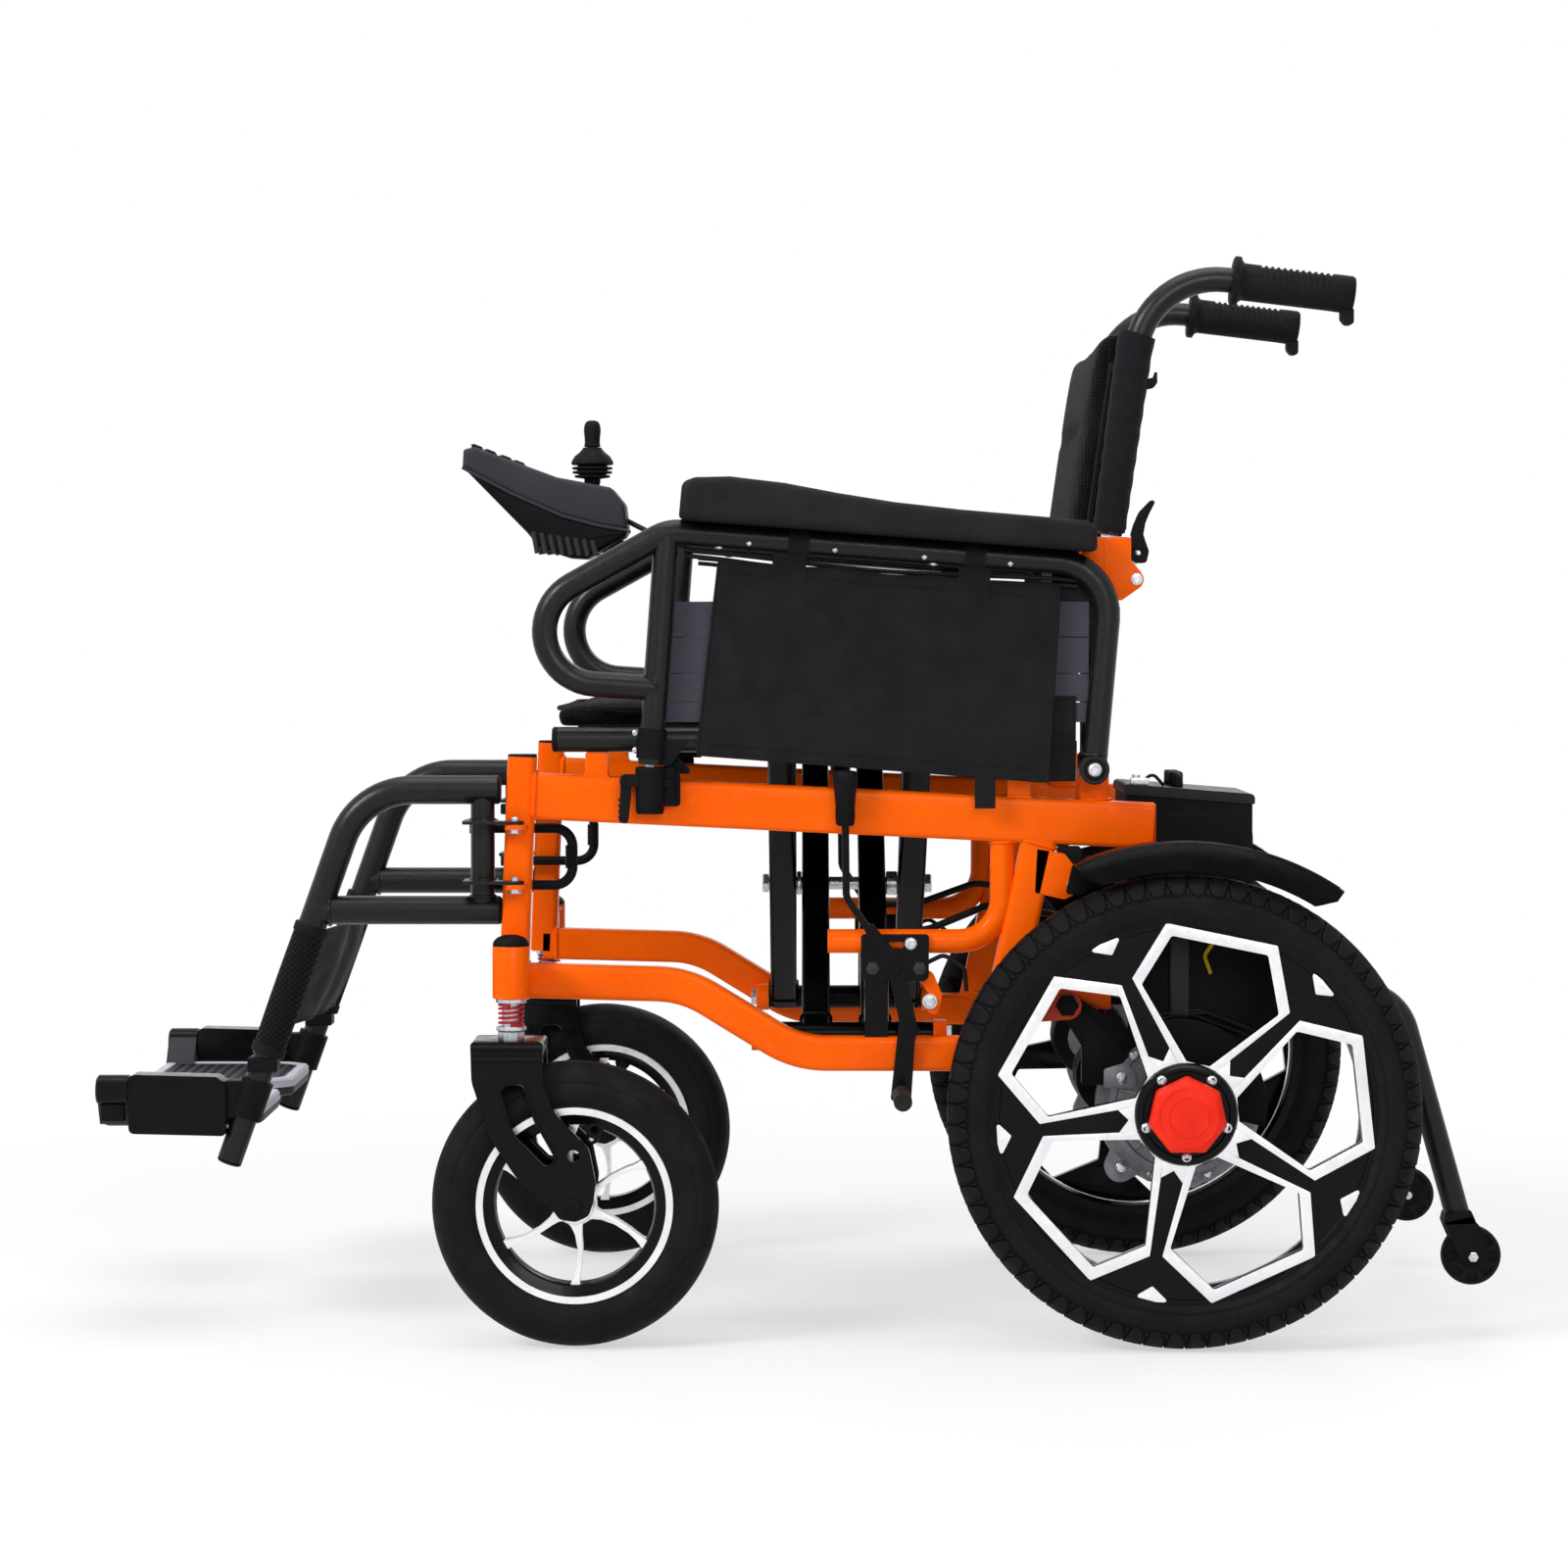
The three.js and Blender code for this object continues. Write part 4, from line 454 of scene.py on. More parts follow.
def piece(name, body, parts, replaces=(), smooth=32, mirrored=False):
    """One object from (shape, material) parts, in place, riding on a body of the frame."""
    mesh = bmesh.new()
    finishes = []
    for shape, finish in parts:
        if finish not in finishes:
            finishes.append(finish)
        made = [mesh.verts.new(p) for p in shape[0]]
        fresh = []
        for face in shape[1]:
            fresh.append(mesh.faces.new([made[i] for i in face]))
            fresh[-1].material_index = finishes.index(finish)
        bmesh.ops.recalc_face_normals(mesh, faces=fresh)
    side = -1 if mirrored else 1
    for v in mesh.verts:
        v.co = Vector((side * v.co.x, v.co.y + AXLE_Y, v.co.z)) * METRES
    if mirrored:
        bmesh.ops.reverse_faces(mesh, faces=mesh.faces)
    data = bpy.data.meshes.new(name)
    mesh.to_mesh(data)
    mesh.free()
    for finish in finishes:
        data.materials.append(finish)
    for polygon in data.polygons:
        polygon.use_smooth = True
    data.set_sharp_from_angle(angle=math.radians(smooth))
    made = bpy.data.objects.new(name, data)
    bpy.context.scene.collection.objects.link(made)
    if body:
        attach(made, body)
    if replaces:
        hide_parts(*replaces)
    return made


# ---------------------------------------------------------------- materials

def colour(code):
    """A #rrggbb colour as the linear values that shaders take."""
    parts = [int(code[i:i + 2], 16) / 255 for i in (1, 3, 5)]
    return [*[c / 12.92 if c <= 0.04045 else ((c + 0.055) / 1.055) ** 2.4 for c in parts], 1]


class Shader:
    """A Principled material with its texture nodes, placed by the mesh's own coordinates."""

    def __init__(self, name, tint, roughness, metallic=0.0, specular=0.5, coat=0.0, sheen=0.0):
        self.material = bpy.data.materials.new(name)
        self.material.use_nodes = True
        self.tree = self.material.node_tree
        self.base = self.tree.nodes["Principled BSDF"]
        self.tint = colour(tint)
        self.set(**{"Base Color": self.tint, "Roughness": roughness, "Metallic": metallic,
                    "Specular IOR Level": specular, "Coat Weight": coat, "Coat Roughness": 0.08,
                    "Sheen Weight": sheen, "Sheen Roughness": 0.4})
        self.place = self.tree.nodes.new("ShaderNodeTexCoord").outputs["Object"]
        self.normal = None
        self.shade = None

    def set(self, **values):
        for key, value in values.items():
            self.base.inputs[key].default_value = value

    def node(self, kind, **inputs):
        made = self.tree.nodes.new(kind)
        for key, value in inputs.items():
            socket = made.inputs[key.replace("_", " ")]
            if isinstance(value, bpy.types.NodeSocket):
                self.tree.links.new(value, socket)
            else:
                socket.default_value = value
        return made

    def noise(self, scale, detail=3.0, stretch=None):
        place = self.place
        if stretch:
            place = self.node("ShaderNodeMapping", Vector=place, Scale=stretch).outputs[0]
        return self.node("ShaderNodeTexNoise", Vector=place, Scale=scale, Detail=detail).outputs["Fac"]

    def wave(self, scale, direction="X", turn=(0, 0, 0)):
        place = self.place
        if any(turn):
            place = self.node("ShaderNodeMapping", Vector=place, Rotation=turn).outputs[0]
        made = self.node("ShaderNodeTexWave", Vector=place, Scale=scale)
        made.bands_direction = direction
        return made.outputs["Fac"]

    def cells(self, scale, feature="F1", randomness=1.0):
        made = self.node("ShaderNodeTexVoronoi", Vector=self.place, Scale=scale, Randomness=randomness)
        made.feature = feature
        return made.outputs["Distance"]

    def spread(self, value, low, high, from_low=0.3, from_high=0.7):
        made = self.tree.nodes.new("ShaderNodeMapRange")
        self.tree.links.new(value, made.inputs["Value"])
        for key, number in (("From Min", from_low), ("From Max", from_high), ("To Min", low),
                            ("To Max", high)):
            made.inputs[key].default_value = number
        return made.outputs["Result"]

    def maths(self, operation, a, b):
        made = self.tree.nodes.new("ShaderNodeMath")
        made.operation = operation
        for socket, value in zip(made.inputs, (a, b)):
            if isinstance(value, bpy.types.NodeSocket):
                self.tree.links.new(value, socket)
            else:
                socket.default_value = value
        return made.outputs[0]

    def vary(self, amount, other, low=0.35, high=0.65):
        """Mixes another colour in where amount is high."""
        made = self.tree.nodes.new("ShaderNodeMix")
        made.data_type = "RGBA"
        self.tree.links.new(self.spread(amount, 0, 1, low, high), made.inputs["Factor"])
        first = self.shade or self.tint
        for socket, value in ((made.inputs[6], first), (made.inputs[7], colour(other))):
            if isinstance(value, bpy.types.NodeSocket):
                self.tree.links.new(value, socket)
            else:
                socket.default_value = value
        self.shade = made.outputs[2]
        self.tree.links.new(self.shade, self.base.inputs["Base Color"])
        return self

    def rough(self, value, low, high):
        self.tree.links.new(self.spread(value, low, high), self.base.inputs["Roughness"])
        return self

    def bump(self, height, strength, distance=0.0004):
        made = self.node("ShaderNodeBump", Height=height, Strength=strength, Distance=distance)
        if self.normal:
            self.tree.links.new(self.normal, made.inputs["Normal"])
        self.normal = made.outputs["Normal"]
        self.tree.links.new(self.normal, self.base.inputs["Normal"])
        return self


def orange_paint():
    """Orange enamel of the side frames."""
    s = Shader("orange_paint", "#fc6400", 0.3, specular=0.06, coat=0.05)
    s.vary(s.noise(9), "#f35a00").vary(s.noise(140, 6), "#ff6c0a", 0.6, 0.8)
    s.rough(s.noise(60, 5), 0.22, 0.34)
    return s.bump(s.noise(700, 2), 0.12, 0.0002).bump(s.noise(45, 2), 0.1, 0.0004).material


def black_coat():
    """Satin powder coat on the tubes, with its fine orange peel."""
    s = Shader("black_coat", "#0e0e10", 0.28, specular=0.24)
    s.vary(s.noise(14), "#121214").vary(s.noise(900, 2), "#1d1d20", 0.66, 0.8)
    s.rough(s.noise(120, 4), 0.24, 0.38)
    return s.bump(s.noise(1100, 3), 0.3, 0.0003).material


def gloss_black(name="gloss_black", tint="#060607", specular=0.12):
    """Black enamel, as on the rims and forks."""
    s = Shader(name, tint, 0.16, specular=specular)
    s.vary(s.noise(40, 4), "#0a0a0c")
    s.rough(s.noise(90, 5), 0.12, 0.26)
    return s.bump(s.noise(500, 2), 0.06, 0.0002).material


def tyre_rubber():
    """Dull black tyre rubber."""
    s = Shader("tyre_rubber", "#0f0f11", 0.55, specular=0.09)
    s.vary(s.noise(26, 5), "#151517").vary(s.noise(260, 4), "#1d1d1f", 0.6, 0.85)
    s.rough(s.noise(70, 5), 0.5, 0.75)
    return s.bump(s.noise(800, 4), 0.25, 0.0004).material


def machined():
    """Bright turned aluminium with fine cutter marks."""
    s = Shader("machined_aluminium", "#f2f2f3", 0.3, 0.9)
    s.vary(s.noise(30, 3), "#e4e5e8")
    s.rough(s.noise(220, 4), 0.24, 0.4)
    return s.bump(s.noise(1500, 2, (1, 1, 0.06)), 0.12, 0.0001).material


def zinc():
    """Zinc-plated bolts and pins."""
    s = Shader("zinc_plate", "#d9dbe0", 0.28, 0.85)
    s.vary(s.noise(300, 4), "#b9bcc4")
    s.rough(s.noise(500, 4), 0.2, 0.42)
    return s.bump(s.noise(1600, 3), 0.15, 0.0001).material


def cast_aluminium():
    """Grey cast motor housing."""
    s = Shader("cast_aluminium", "#8f9194", 0.46, 0.55, specular=0.3)
    s.vary(s.noise(60, 5), "#76797c").vary(s.noise(420, 4), "#a5a7aa", 0.6, 0.8)
    s.rough(s.noise(150, 4), 0.38, 0.6)
    return s.bump(s.noise(900, 4), 0.5, 0.0005).material


def black_plastic():
    """Grained black plastic."""
    s = Shader("black_plastic", "#0b0b0d", 0.42, specular=0.07)
    s.vary(s.noise(22, 4), "#131315")
    s.rough(s.noise(180, 4), 0.42, 0.6)
    return s.bump(s.cells(1500), 0.22, 0.0003).material


def shell_plastic():
    """Dark grey moulded shell of the hand controller, finely eroded."""
    s = Shader("shell_plastic", "#2c2c31", 0.42, specular=0.16)
    s.vary(s.noise(18, 3), "#323237")
    s.rough(s.noise(260, 4), 0.44, 0.6)
    return s.bump(s.noise(2200, 2), 0.3, 0.0002).material


def red_plastic():
    """Red moulded clutch knob."""
    s = Shader("red_plastic", "#f02d14", 0.34, specular=0.16)
    s.vary(s.noise(40, 4), "#e22610")
    s.rough(s.noise(200, 4), 0.32, 0.48)
    return s.bump(s.noise(1300, 2), 0.12, 0.0002).material


def soft_rubber():
    """Matt black rubber of grips and boots."""
    s = Shader("soft_rubber", "#101012", 0.6, specular=0.1)
    s.vary(s.noise(35, 4), "#161618")
    s.rough(s.noise(160, 4), 0.58, 0.78)
    return s.bump(s.noise(1400, 3), 0.3, 0.0003).material


def foam_sleeve():
    """Foam on the legrests, pressed in a fine diamond pattern."""
    s = Shader("foam_sleeve", "#101012", 0.82, specular=0.06, sheen=0.06)
    diamonds = s.maths("MULTIPLY", s.wave(85, "Z", (0.75, 0, 0)), s.wave(85, "Z", (-0.75, 0, 0)))
    s.vary(diamonds, "#1d1d20", 0.1, 0.8)
    return s.bump(diamonds, 0.9, 0.0014).bump(s.noise(1500, 3), 0.3, 0.0003).material


def pad_skin():
    """Self-skinned polyurethane of the arm pads."""
    s = Shader("pad_skin", "#17171a", 0.55, specular=0.1)
    s.vary(s.noise(20, 4), "#1d1d20")
    s.rough(s.noise(90, 4), 0.52, 0.72)
    return s.bump(s.cells(650), 0.22, 0.0004).bump(s.noise(1700, 2), 0.2, 0.0002).material


def nylon(name="nylon_cloth", tint="#0e0e10", other="#151518"):
    """Plain woven bag cloth with a slack weave."""
    s = Shader(name, tint, 0.46, specular=0.16, sheen=0.04)
    warp, weft = s.wave(210, "Y"), s.wave(210, "Z")
    weave = s.maths("MULTIPLY", warp, weft)
    s.vary(weave, other, 0.1, 0.8)
    s.rough(s.noise(40, 4), 0.62, 0.82)
    return s.bump(weave, 0.5, 0.0005).bump(s.noise(90, 3), 0.15, 0.0008).material


def webbing():
    """Ribbed elastic band."""
    s = Shader("webbing", "#565660", 0.78, specular=0.08, sheen=0.06)
    ribs = s.wave(330, "Z")
    s.vary(ribs, "#44444c", 0.2, 0.9)
    return s.bump(ribs, 0.7, 0.0006).bump(s.wave(700, "Y"), 0.3, 0.0003).material


def air_mesh():
    """Black spacer mesh, with its rows of small holes."""
    s = Shader("air_mesh", "#19191b", 0.82, specular=0.07, sheen=0.08)
    holes = s.cells(330, randomness=0.12)
    s.vary(holes, "#050505", 0.15, 0.42)
    s.vary(s.noise(10, 3), "#202023", 0.5, 0.9)
    return s.bump(holes, 0.9, 0.0012).bump(s.noise(1500, 2), 0.3, 0.0003).material


def seat_cloth():
    """Black cloth of sleeves and bound edges."""
    s = Shader("seat_cloth", "#18181b", 0.8, specular=0.07, sheen=0.08)
    weave = s.maths("MULTIPLY", s.wave(380, "X"), s.wave(380, "Y"))
    s.vary(weave, "#202024", 0.1, 0.8)
    return s.bump(weave, 0.6, 0.0005).material


def red_spring():
    """Red coated spring wire."""
    s = Shader("red_spring", "#b8182a", 0.3, specular=0.2, coat=0.06)
    s.vary(s.noise(200, 4), "#9c1020")
    return s.bump(s.noise(900, 3), 0.15, 0.0002).material


def grey_plastic():
    """Pale grey edge of the footplates."""
    s = Shader("grey_plastic", "#c6c7d4", 0.5, specular=0.14)
    s.vary(s.noise(60, 4), "#b9bac6")
    s.rough(s.noise(120, 4), 0.42, 0.6)
    return s.bump(s.noise(1200, 3), 0.25, 0.0002).material


def shaded_orange_paint():
    """Orange paint darkened with painted shade, as on the motor's plate where the wheel shades it."""
    s = Shader("orange_painted_shade", "#c83a08", 0.34, specular=0.16, coat=0.06)
    s.vary(s.noise(30, 4), "#b83204")
    return s.bump(s.noise(600, 3), 0.18, 0.0002).material


def satin_lid():
    """Battery lid, a little lighter than its box."""
    s = Shader("satin_lid", "#1d1d1f", 0.42, specular=0.14)
    s.vary(s.noise(25, 4), "#242427")
    s.rough(s.noise(140, 4), 0.36, 0.55)
    return s.bump(s.noise(1400, 2), 0.3, 0.0002).material


def cable_jacket(name="cable_jacket", tint="#0f0f10", other="#161617"):
    """Smooth plastic jacket."""
    s = Shader(name, tint, 0.5, specular=0.12)
    s.vary(s.noise(70, 3), other)
    return s.bump(s.noise(900, 3), 0.25, 0.0003).material


ORANGE, COAT, GLOSS, TYRE, BRIGHT, ZINC = (orange_paint(), black_coat(), gloss_black(), tyre_rubber(),
                                           machined(), zinc())
CAST, PLASTIC, SHELL, RED, RUBBER, FOAM = (cast_aluminium(), black_plastic(), shell_plastic(), red_plastic(),
                                           soft_rubber(), foam_sleeve())
PAD, NYLON, BAND, MESH, CLOTH, SPRING = pad_skin(), nylon(), webbing(), air_mesh(), seat_cloth(), red_spring()
GREY, SHADED_ORANGE, LID, CABLE = grey_plastic(), shaded_orange_paint(), satin_lid(), cable_jacket()
# A darker copy of the black enamel: painted shade on the braces, which sit in the chair's shadow, and on the
# mudguard, where it also has weaker reflection.
SHADED_GLOSS = gloss_black("gloss_black_painted_shade", "#030304", 0.05)
YELLOW = cable_jacket("yellow_jacket", "#c9a81c", "#b5940f")
SHOE = cable_jacket("shoe_rubber", "#24211e", "#1b1917")
STRAP = nylon("strap_cloth", "#060607", "#0b0b0c")

# ---------------------------------------------------------------- drive wheels

tread_periods = 70
tread_depth = 3.2


def tyre_point(s, lift=0.0):
    """Radius and offset of a point s millimetres from the crown along the tyre's section."""
    stations = [(0, 200.8, 0), (12, 200.2, 12), (20, 197.6, 19.4), (27, 192.4, 24.2), (36, 184.0, 26.8),
                (46, 174.2, 26.4), (57, 164.2, 21.0)]
    for (s0, r0, x0), (s1, r1, x1) in zip(stations, stations[1:]):
        if s <= s1:
            t = (s - s0) / (s1 - s0)
            run = Vector((r1 - r0, x1 - x0)).normalized()
            return r0 + (r1 - r0) * t + run.y * lift, x0 + (x1 - x0) * t - run.x * lift
    return stations[-1][1], stations[-1][2]


def tyre_carcass():
    half_line = [tyre_point(s) for s in (0, 6, 12, 16, 20, 24, 27, 31, 36, 41, 46, 50, 54, 57)]
    ribs = [tyre_point(s, 0.8 if n % 2 else 0.0) for n, s in enumerate((47, 48.2, 49.4, 50.6))]
    right = half_line[:11] + ribs + half_line[12:]
    profile = [(r, -x) for r, x in reversed(right)] + [(r, x) for r, x in right[1:]]
    return turned(profile, (track, 0, axle_z), sides=128, closed=True)


def tread_block(corners, turn, side):
    """One rubber block: corners are (arc along the tread, distance from the crown)."""
    rings = []
    for lift, grow in ((-1.0, 1.0), (tread_depth * 0.8, 1.0), (tread_depth, 0.86)):
        centre = (sum(a for a, _ in corners) / len(corners), sum(s for _, s in corners) / len(corners))
        ring = []
        for a, s in corners:
            arc, far = centre[0] + (a - centre[0]) * grow, centre[1] + (s - centre[1]) * grow
            r, x = tyre_point(abs(far), lift)
            angle = turn + arc / drive_radius
            x = math.copysign(x, far) * side
            ring.append(Vector((track + x, r * math.cos(angle), axle_z + r * math.sin(angle))))
        rings.append(ring)
    return skin(rings)


def drive_tyre():
    """Carcass with its tread: tongues and wedges at both shoulders and a chevron on the crown."""
    tongue = [(-8.1, 12.4), (8.1, 12.4), (8.2, 20), (7.2, 26), (5.2, 30.4), (2.2, 32.6), (-2.2, 32.6),
              (-5.2, 30.4), (-7.2, 26), (-8.2, 20)]
    wedge = [(9.15, 26.4), (10.9, 30.2), (9.15, 33.2), (7.4, 30.2)]
    crown = [(-9, -10.8), (5.2, -10.8), (10.6, 0), (5.2, 10.8), (-9, 10.8), (-3.6, 0)]
    blocks = []
    for n in range(tread_periods):
        turn = 2 * math.pi * n / tread_periods
        half_step = math.pi / tread_periods
        for side in (1, -1):
            shift = turn + (half_step if side < 0 else 0)
            blocks += [tread_block(tongue, shift, side), tread_block(wedge, shift, side)]
        blocks.append(tread_block(crown, turn, 1))
    return [(tyre_carcass(), TYRE), *[(b, TYRE) for b in blocks]]


def moved_in(corners, distances):
    """A convex outline with each edge moved inward by its own distance."""
    area = sum(a[0] * b[1] - b[0] * a[1] for a, b in zip(corners, corners[1:] + corners[:1]))
    turn = 1 if area > 0 else -1
    edges = []
    for (a, b), distance in zip(zip(corners, corners[1:] + corners[:1]), distances):
        run = Vector((b[0] - a[0], b[1] - a[1])).normalized()
        shift = Vector((-run.y, run.x)) * distance * turn
        edges.append((Vector(a) + shift, run))
    out = []
    for (p, u), (q, v) in zip(edges[-1:] + edges[:-1], edges):
        across = u.x * v.y - u.y * v.x
        t = ((q - p).x * v.y - (q - p).y * v.x) / across
        out.append(tuple(p + u * t))
    return out


def wheel_points(corners, turn=0):
    """Points given by radius and angle round the drive axle."""
    return [polar(r, a + turn, 0, axle_z) for r, a in corners]


def drive_rim():
    """Five-window rim: black disc, bright window frames and spoke ends, barrel and hub."""
    face = track + rim_half
    windows = [wheel_points(window_corners, 72 * n) for n in range(5)]
    openings = [window_opening(w, 72 * n) for n, w in enumerate(windows)]
    disc = [polar(rim_radius - 1.6, 360 * k / 96, 0, axle_z) for k in range(96)]
    parts = [(plate("x", disc, [face - spoke_depth, face - 1.2], openings, bevel=0.7), GLOSS)]
    for window, opening in zip(windows, openings):
        parts.append((plate("x", outline2(window, 1.2, 2), [face - 1.6, face + 0.2], [opening], bevel=0.35),
                      BRIGHT))
    for n in range(5):
        parts += spoke_trim(face, 72 * n)
    barrel = [(rim_radius, -rim_half), (rim_radius, rim_half), (160, rim_half), (157, 15), (153.4, 7),
              (152, -6), (152.6, -15), (156, -rim_half)]
    parts.append((turned(barrel, (track, 0, axle_z), sides=128, closed=True), GLOSS))
    edge = [(151.4, -11), (152.4, -11), (152.8, -13.4), (151.8, -13.4)]
    parts.append((turned(edge, (track, 0, axle_z), sides=128, closed=True), BRIGHT))
    return parts + wheel_hub()


def window_opening(window, turn):
    """The hole inside a window's bright frame, cut straight across at the hub."""
    corners = moved_in(window, band_widths)
    corners[2:4] = wheel_points(opening_foot, turn)
    return outline2(corners, [3, 3, 1, 1, 3, 3], 3)


def spoke_points(corners, turn):
    """Corners given along and across a spoke, from the axle."""
    a = math.radians(spoke_axis + turn)
    return [(u * math.cos(a) - v * math.sin(a), axle_z + u * math.sin(a) + v * math.cos(a))
            for u, v in corners]


def spoke_trim(face, turn):
    """Bright end of a spoke at the hub with its arrow notch, and the bright corner at the rim."""
    tip = [(43, -11.2), (58.5, -10.3), (49.5, 0), (58.5, 9.8), (43, 10.8)]
    corner = [(162.4, 121), (163.2, 117), (162.4, 110.4), (150.4, 115.1)]
    arrow = [(49.9, 0), (58.5, 9.3), (122, 6.2), (122, -4.0), (58.5, -9.3)]
    return [(plate("x", spoke_points(tip, turn), [face - 1.6, face + 0.2], bevel=0.3), BRIGHT),
            (plate("x", outline2(wheel_points(corner, turn), 1.5, 2), [face - 1.6, face + 0.2], bevel=0.35),
             BRIGHT),
            (plate("x", outline2(spoke_points(arrow, turn), 1, 2), [face - 1.6, face - 0.5], bevel=0.3),
             PLASTIC)]


def wheel_hub():
    """Hub cup with its five screws."""
    centre = (track, 0, axle_z)
    cup = [(0, -rim_half), (hub_radius - 6, -rim_half), (hub_radius, -rim_half + 8),
           (hub_radius + 1.5, rim_half), (hub_radius, 23), (hub_radius - 2, 24), (37.5, 24), (36.5, 22),
           (0, 22)]
    parts = [(turned(cup, centre, sides=72), GLOSS)]
    for n in range(5):
        y, z = polar(36.4, 54 + 72 * n, 0, axle_z)
        parts += cap_screw((hub_face - 2, y, z), (1, 0, 0), 4.6, 4.4)
    return parts


def clutch_knob():
    """Seven-sided red knob with two turned rings on its face."""
    foot = hub_face + 0.3
    corners = [polar(34.5, 90 + 360 * k / 7, 0, axle_z) for k in range(7)]

    def ring(scale, x, corner):
        flat = outline2([(y * scale, axle_z + (z - axle_z) * scale) for y, z in corners], corner, 4)
        return [Vector((x, y, z)) for y, z in flat]

    body = skin([ring(0.94, foot, 5), ring(0.99, foot + 2, 5), ring(1.0, foot + 10, 5),
                 ring(0.97, foot + 14.5, 5), ring(0.88, foot + 17, 5), ring(0.8, foot + 17.6, 5)])
    face = [(26.6, 17), (26.2, 18.0), (24.8, 18.2), (24.2, 17.5), (18.2, 17.5), (17.6, 18.2), (16.4, 18.2),
            (15.8, 17.4), (0, 17.4)]
    disc = [(0, 15), (26.6, 15), *face]
    return [(body, RED),
            (turned([(r, t + foot - track) for r, t in disc], (track, 0, axle_z), sides=72), RED)]


# ---------------------------------------------------------------- casters

def caster_tyre():
    """Smooth caster tyre with a groove round each side."""
    profile = [(caster_rim + 0.4, 16.5), (89, 19.6), (94, 21.4), (99, 22), (104, 21.8), (106, 20.6),
               (107.2, 20.9), (111, 19.9), (115.5, 17.2), (119.4, 13), (122.4, 7.2), (caster_radius - 0.2, 0)]
    full = profile + [(r, -x) for r, x in reversed(profile[:-1])]
    return [(turned(full, tuple(caster), sides=112, closed=True), TYRE)]


def caster_spoke(turn):
    """A slim spoke that curves a little and flares at both ends."""
    widths = [(14, 8.5), (19, 4.6), (26, 2.9), (38, 2.2), (52, 2.1), (60, 2.4), (65, 3.2), (70.5, 4.8)]

    def edge(side):
        line = []
        for r, w in widths:
            bow = 4.5 * math.sin(math.pi * min(1, (r - 14) / 55))
            a = math.radians(turn)
            along, across = Vector((math.cos(a), math.sin(a))), Vector((-math.sin(a), math.cos(a)))
            p = along * r + across * (bow + side * w)
            line.append((caster.y + p.x, caster.z + p.y))
        return line

    return edge(1) + edge(-1)[::-1]


def caster_rim_parts():
    """Bright six-spoked rim with its black channel, hub and valve."""
    c = tuple(caster)
    ring = [(78.6, 17.6), (84.6, 17.6), (85.2, 16.6), (85.2, 15), (78.6, 15)]
    channel = [(85.2, 15.4), (85.2, -15.4), (82.5, -17.4), (79, -17.4), (77, -14), (70.5, -8), (68.2, -6),
               (68.2, 8), (70, 12), (76.5, 14.2), (78.6, 15.4)]
    parts = [(turned(ring, c, sides=112, closed=True), BRIGHT),
             (turned(channel, c, sides=112, closed=True), GLOSS),
             (turned([(r, -x) for r, x in ring], c, sides=112, closed=True), BRIGHT)]
    for n in range(6):
        shape = plate("x", caster_spoke(30 + 60 * n), [caster.x - 8, caster.x + 10], bevel=1.1)
        parts.append((shape, BRIGHT))
    hub = [(5.2, -22), (10, -22), (12, -18), (17, -15), (19, 0), (17, 12), (15.5, 14.5), (12, 15), (11, 18.5),
           (5.2, 18.5)]
    parts.append((turned(hub, c, sides=48, closed=True), BRIGHT))
    y, z = polar(60, 75, caster.y, caster.z)
    valve_foot = polar(72, 75, caster.y, caster.z)
    ring_y, ring_z = polar(66.5, 75, caster.y, caster.z)
    parts.append((tube(ring_round((caster.x + 11, ring_y, ring_z), (1, 0, 0), 5.6), 1.9, 10, closed=True),
                  RUBBER))
    parts += [(rod((caster.x - 3, *valve_foot), (caster.x - 3, y, z), 4.4, 3.6), RUBBER),
              (rod((caster.x - 3, y, z), (caster.x + 9, y - 1, z - 1), 6.2, 5.4), RUBBER),
              (rod((caster.x + 8, y - 1, z - 1), (caster.x + 12, y - 1, z - 1), 2.6, 2.2), ZINC)]
    return parts


def fork_outline():
    """Side view of a fork blade."""
    front = [(swivel_y - 33, crown_top), (swivel_y - 32, crown_top - 34), (swivel_y - 16, 183),
             (swivel_y + 6, 150)]
    foot = [(caster.y - 17, caster.z - 3), (caster.y - 12, caster.z - 10), (caster.y + 2, caster.z - 12),
            (caster.y + 13, caster.z - 7), (caster.y + 17, caster.z + 5)]
    rear = [(caster.y + 19, caster.z + 22), (caster.y + 13, caster.z + 52), (caster.y + 2, caster.z + 62),
            (swivel_y + 37, caster.z + 84), (swivel_y + 29, crown_top - 34), (swivel_y + 29, crown_top)]
    return outline2(front + foot + rear, [3, 30, 40, 30, 8, 8, 8, 8, 8, 16, 18, 24, 40, 30, 3], 4)


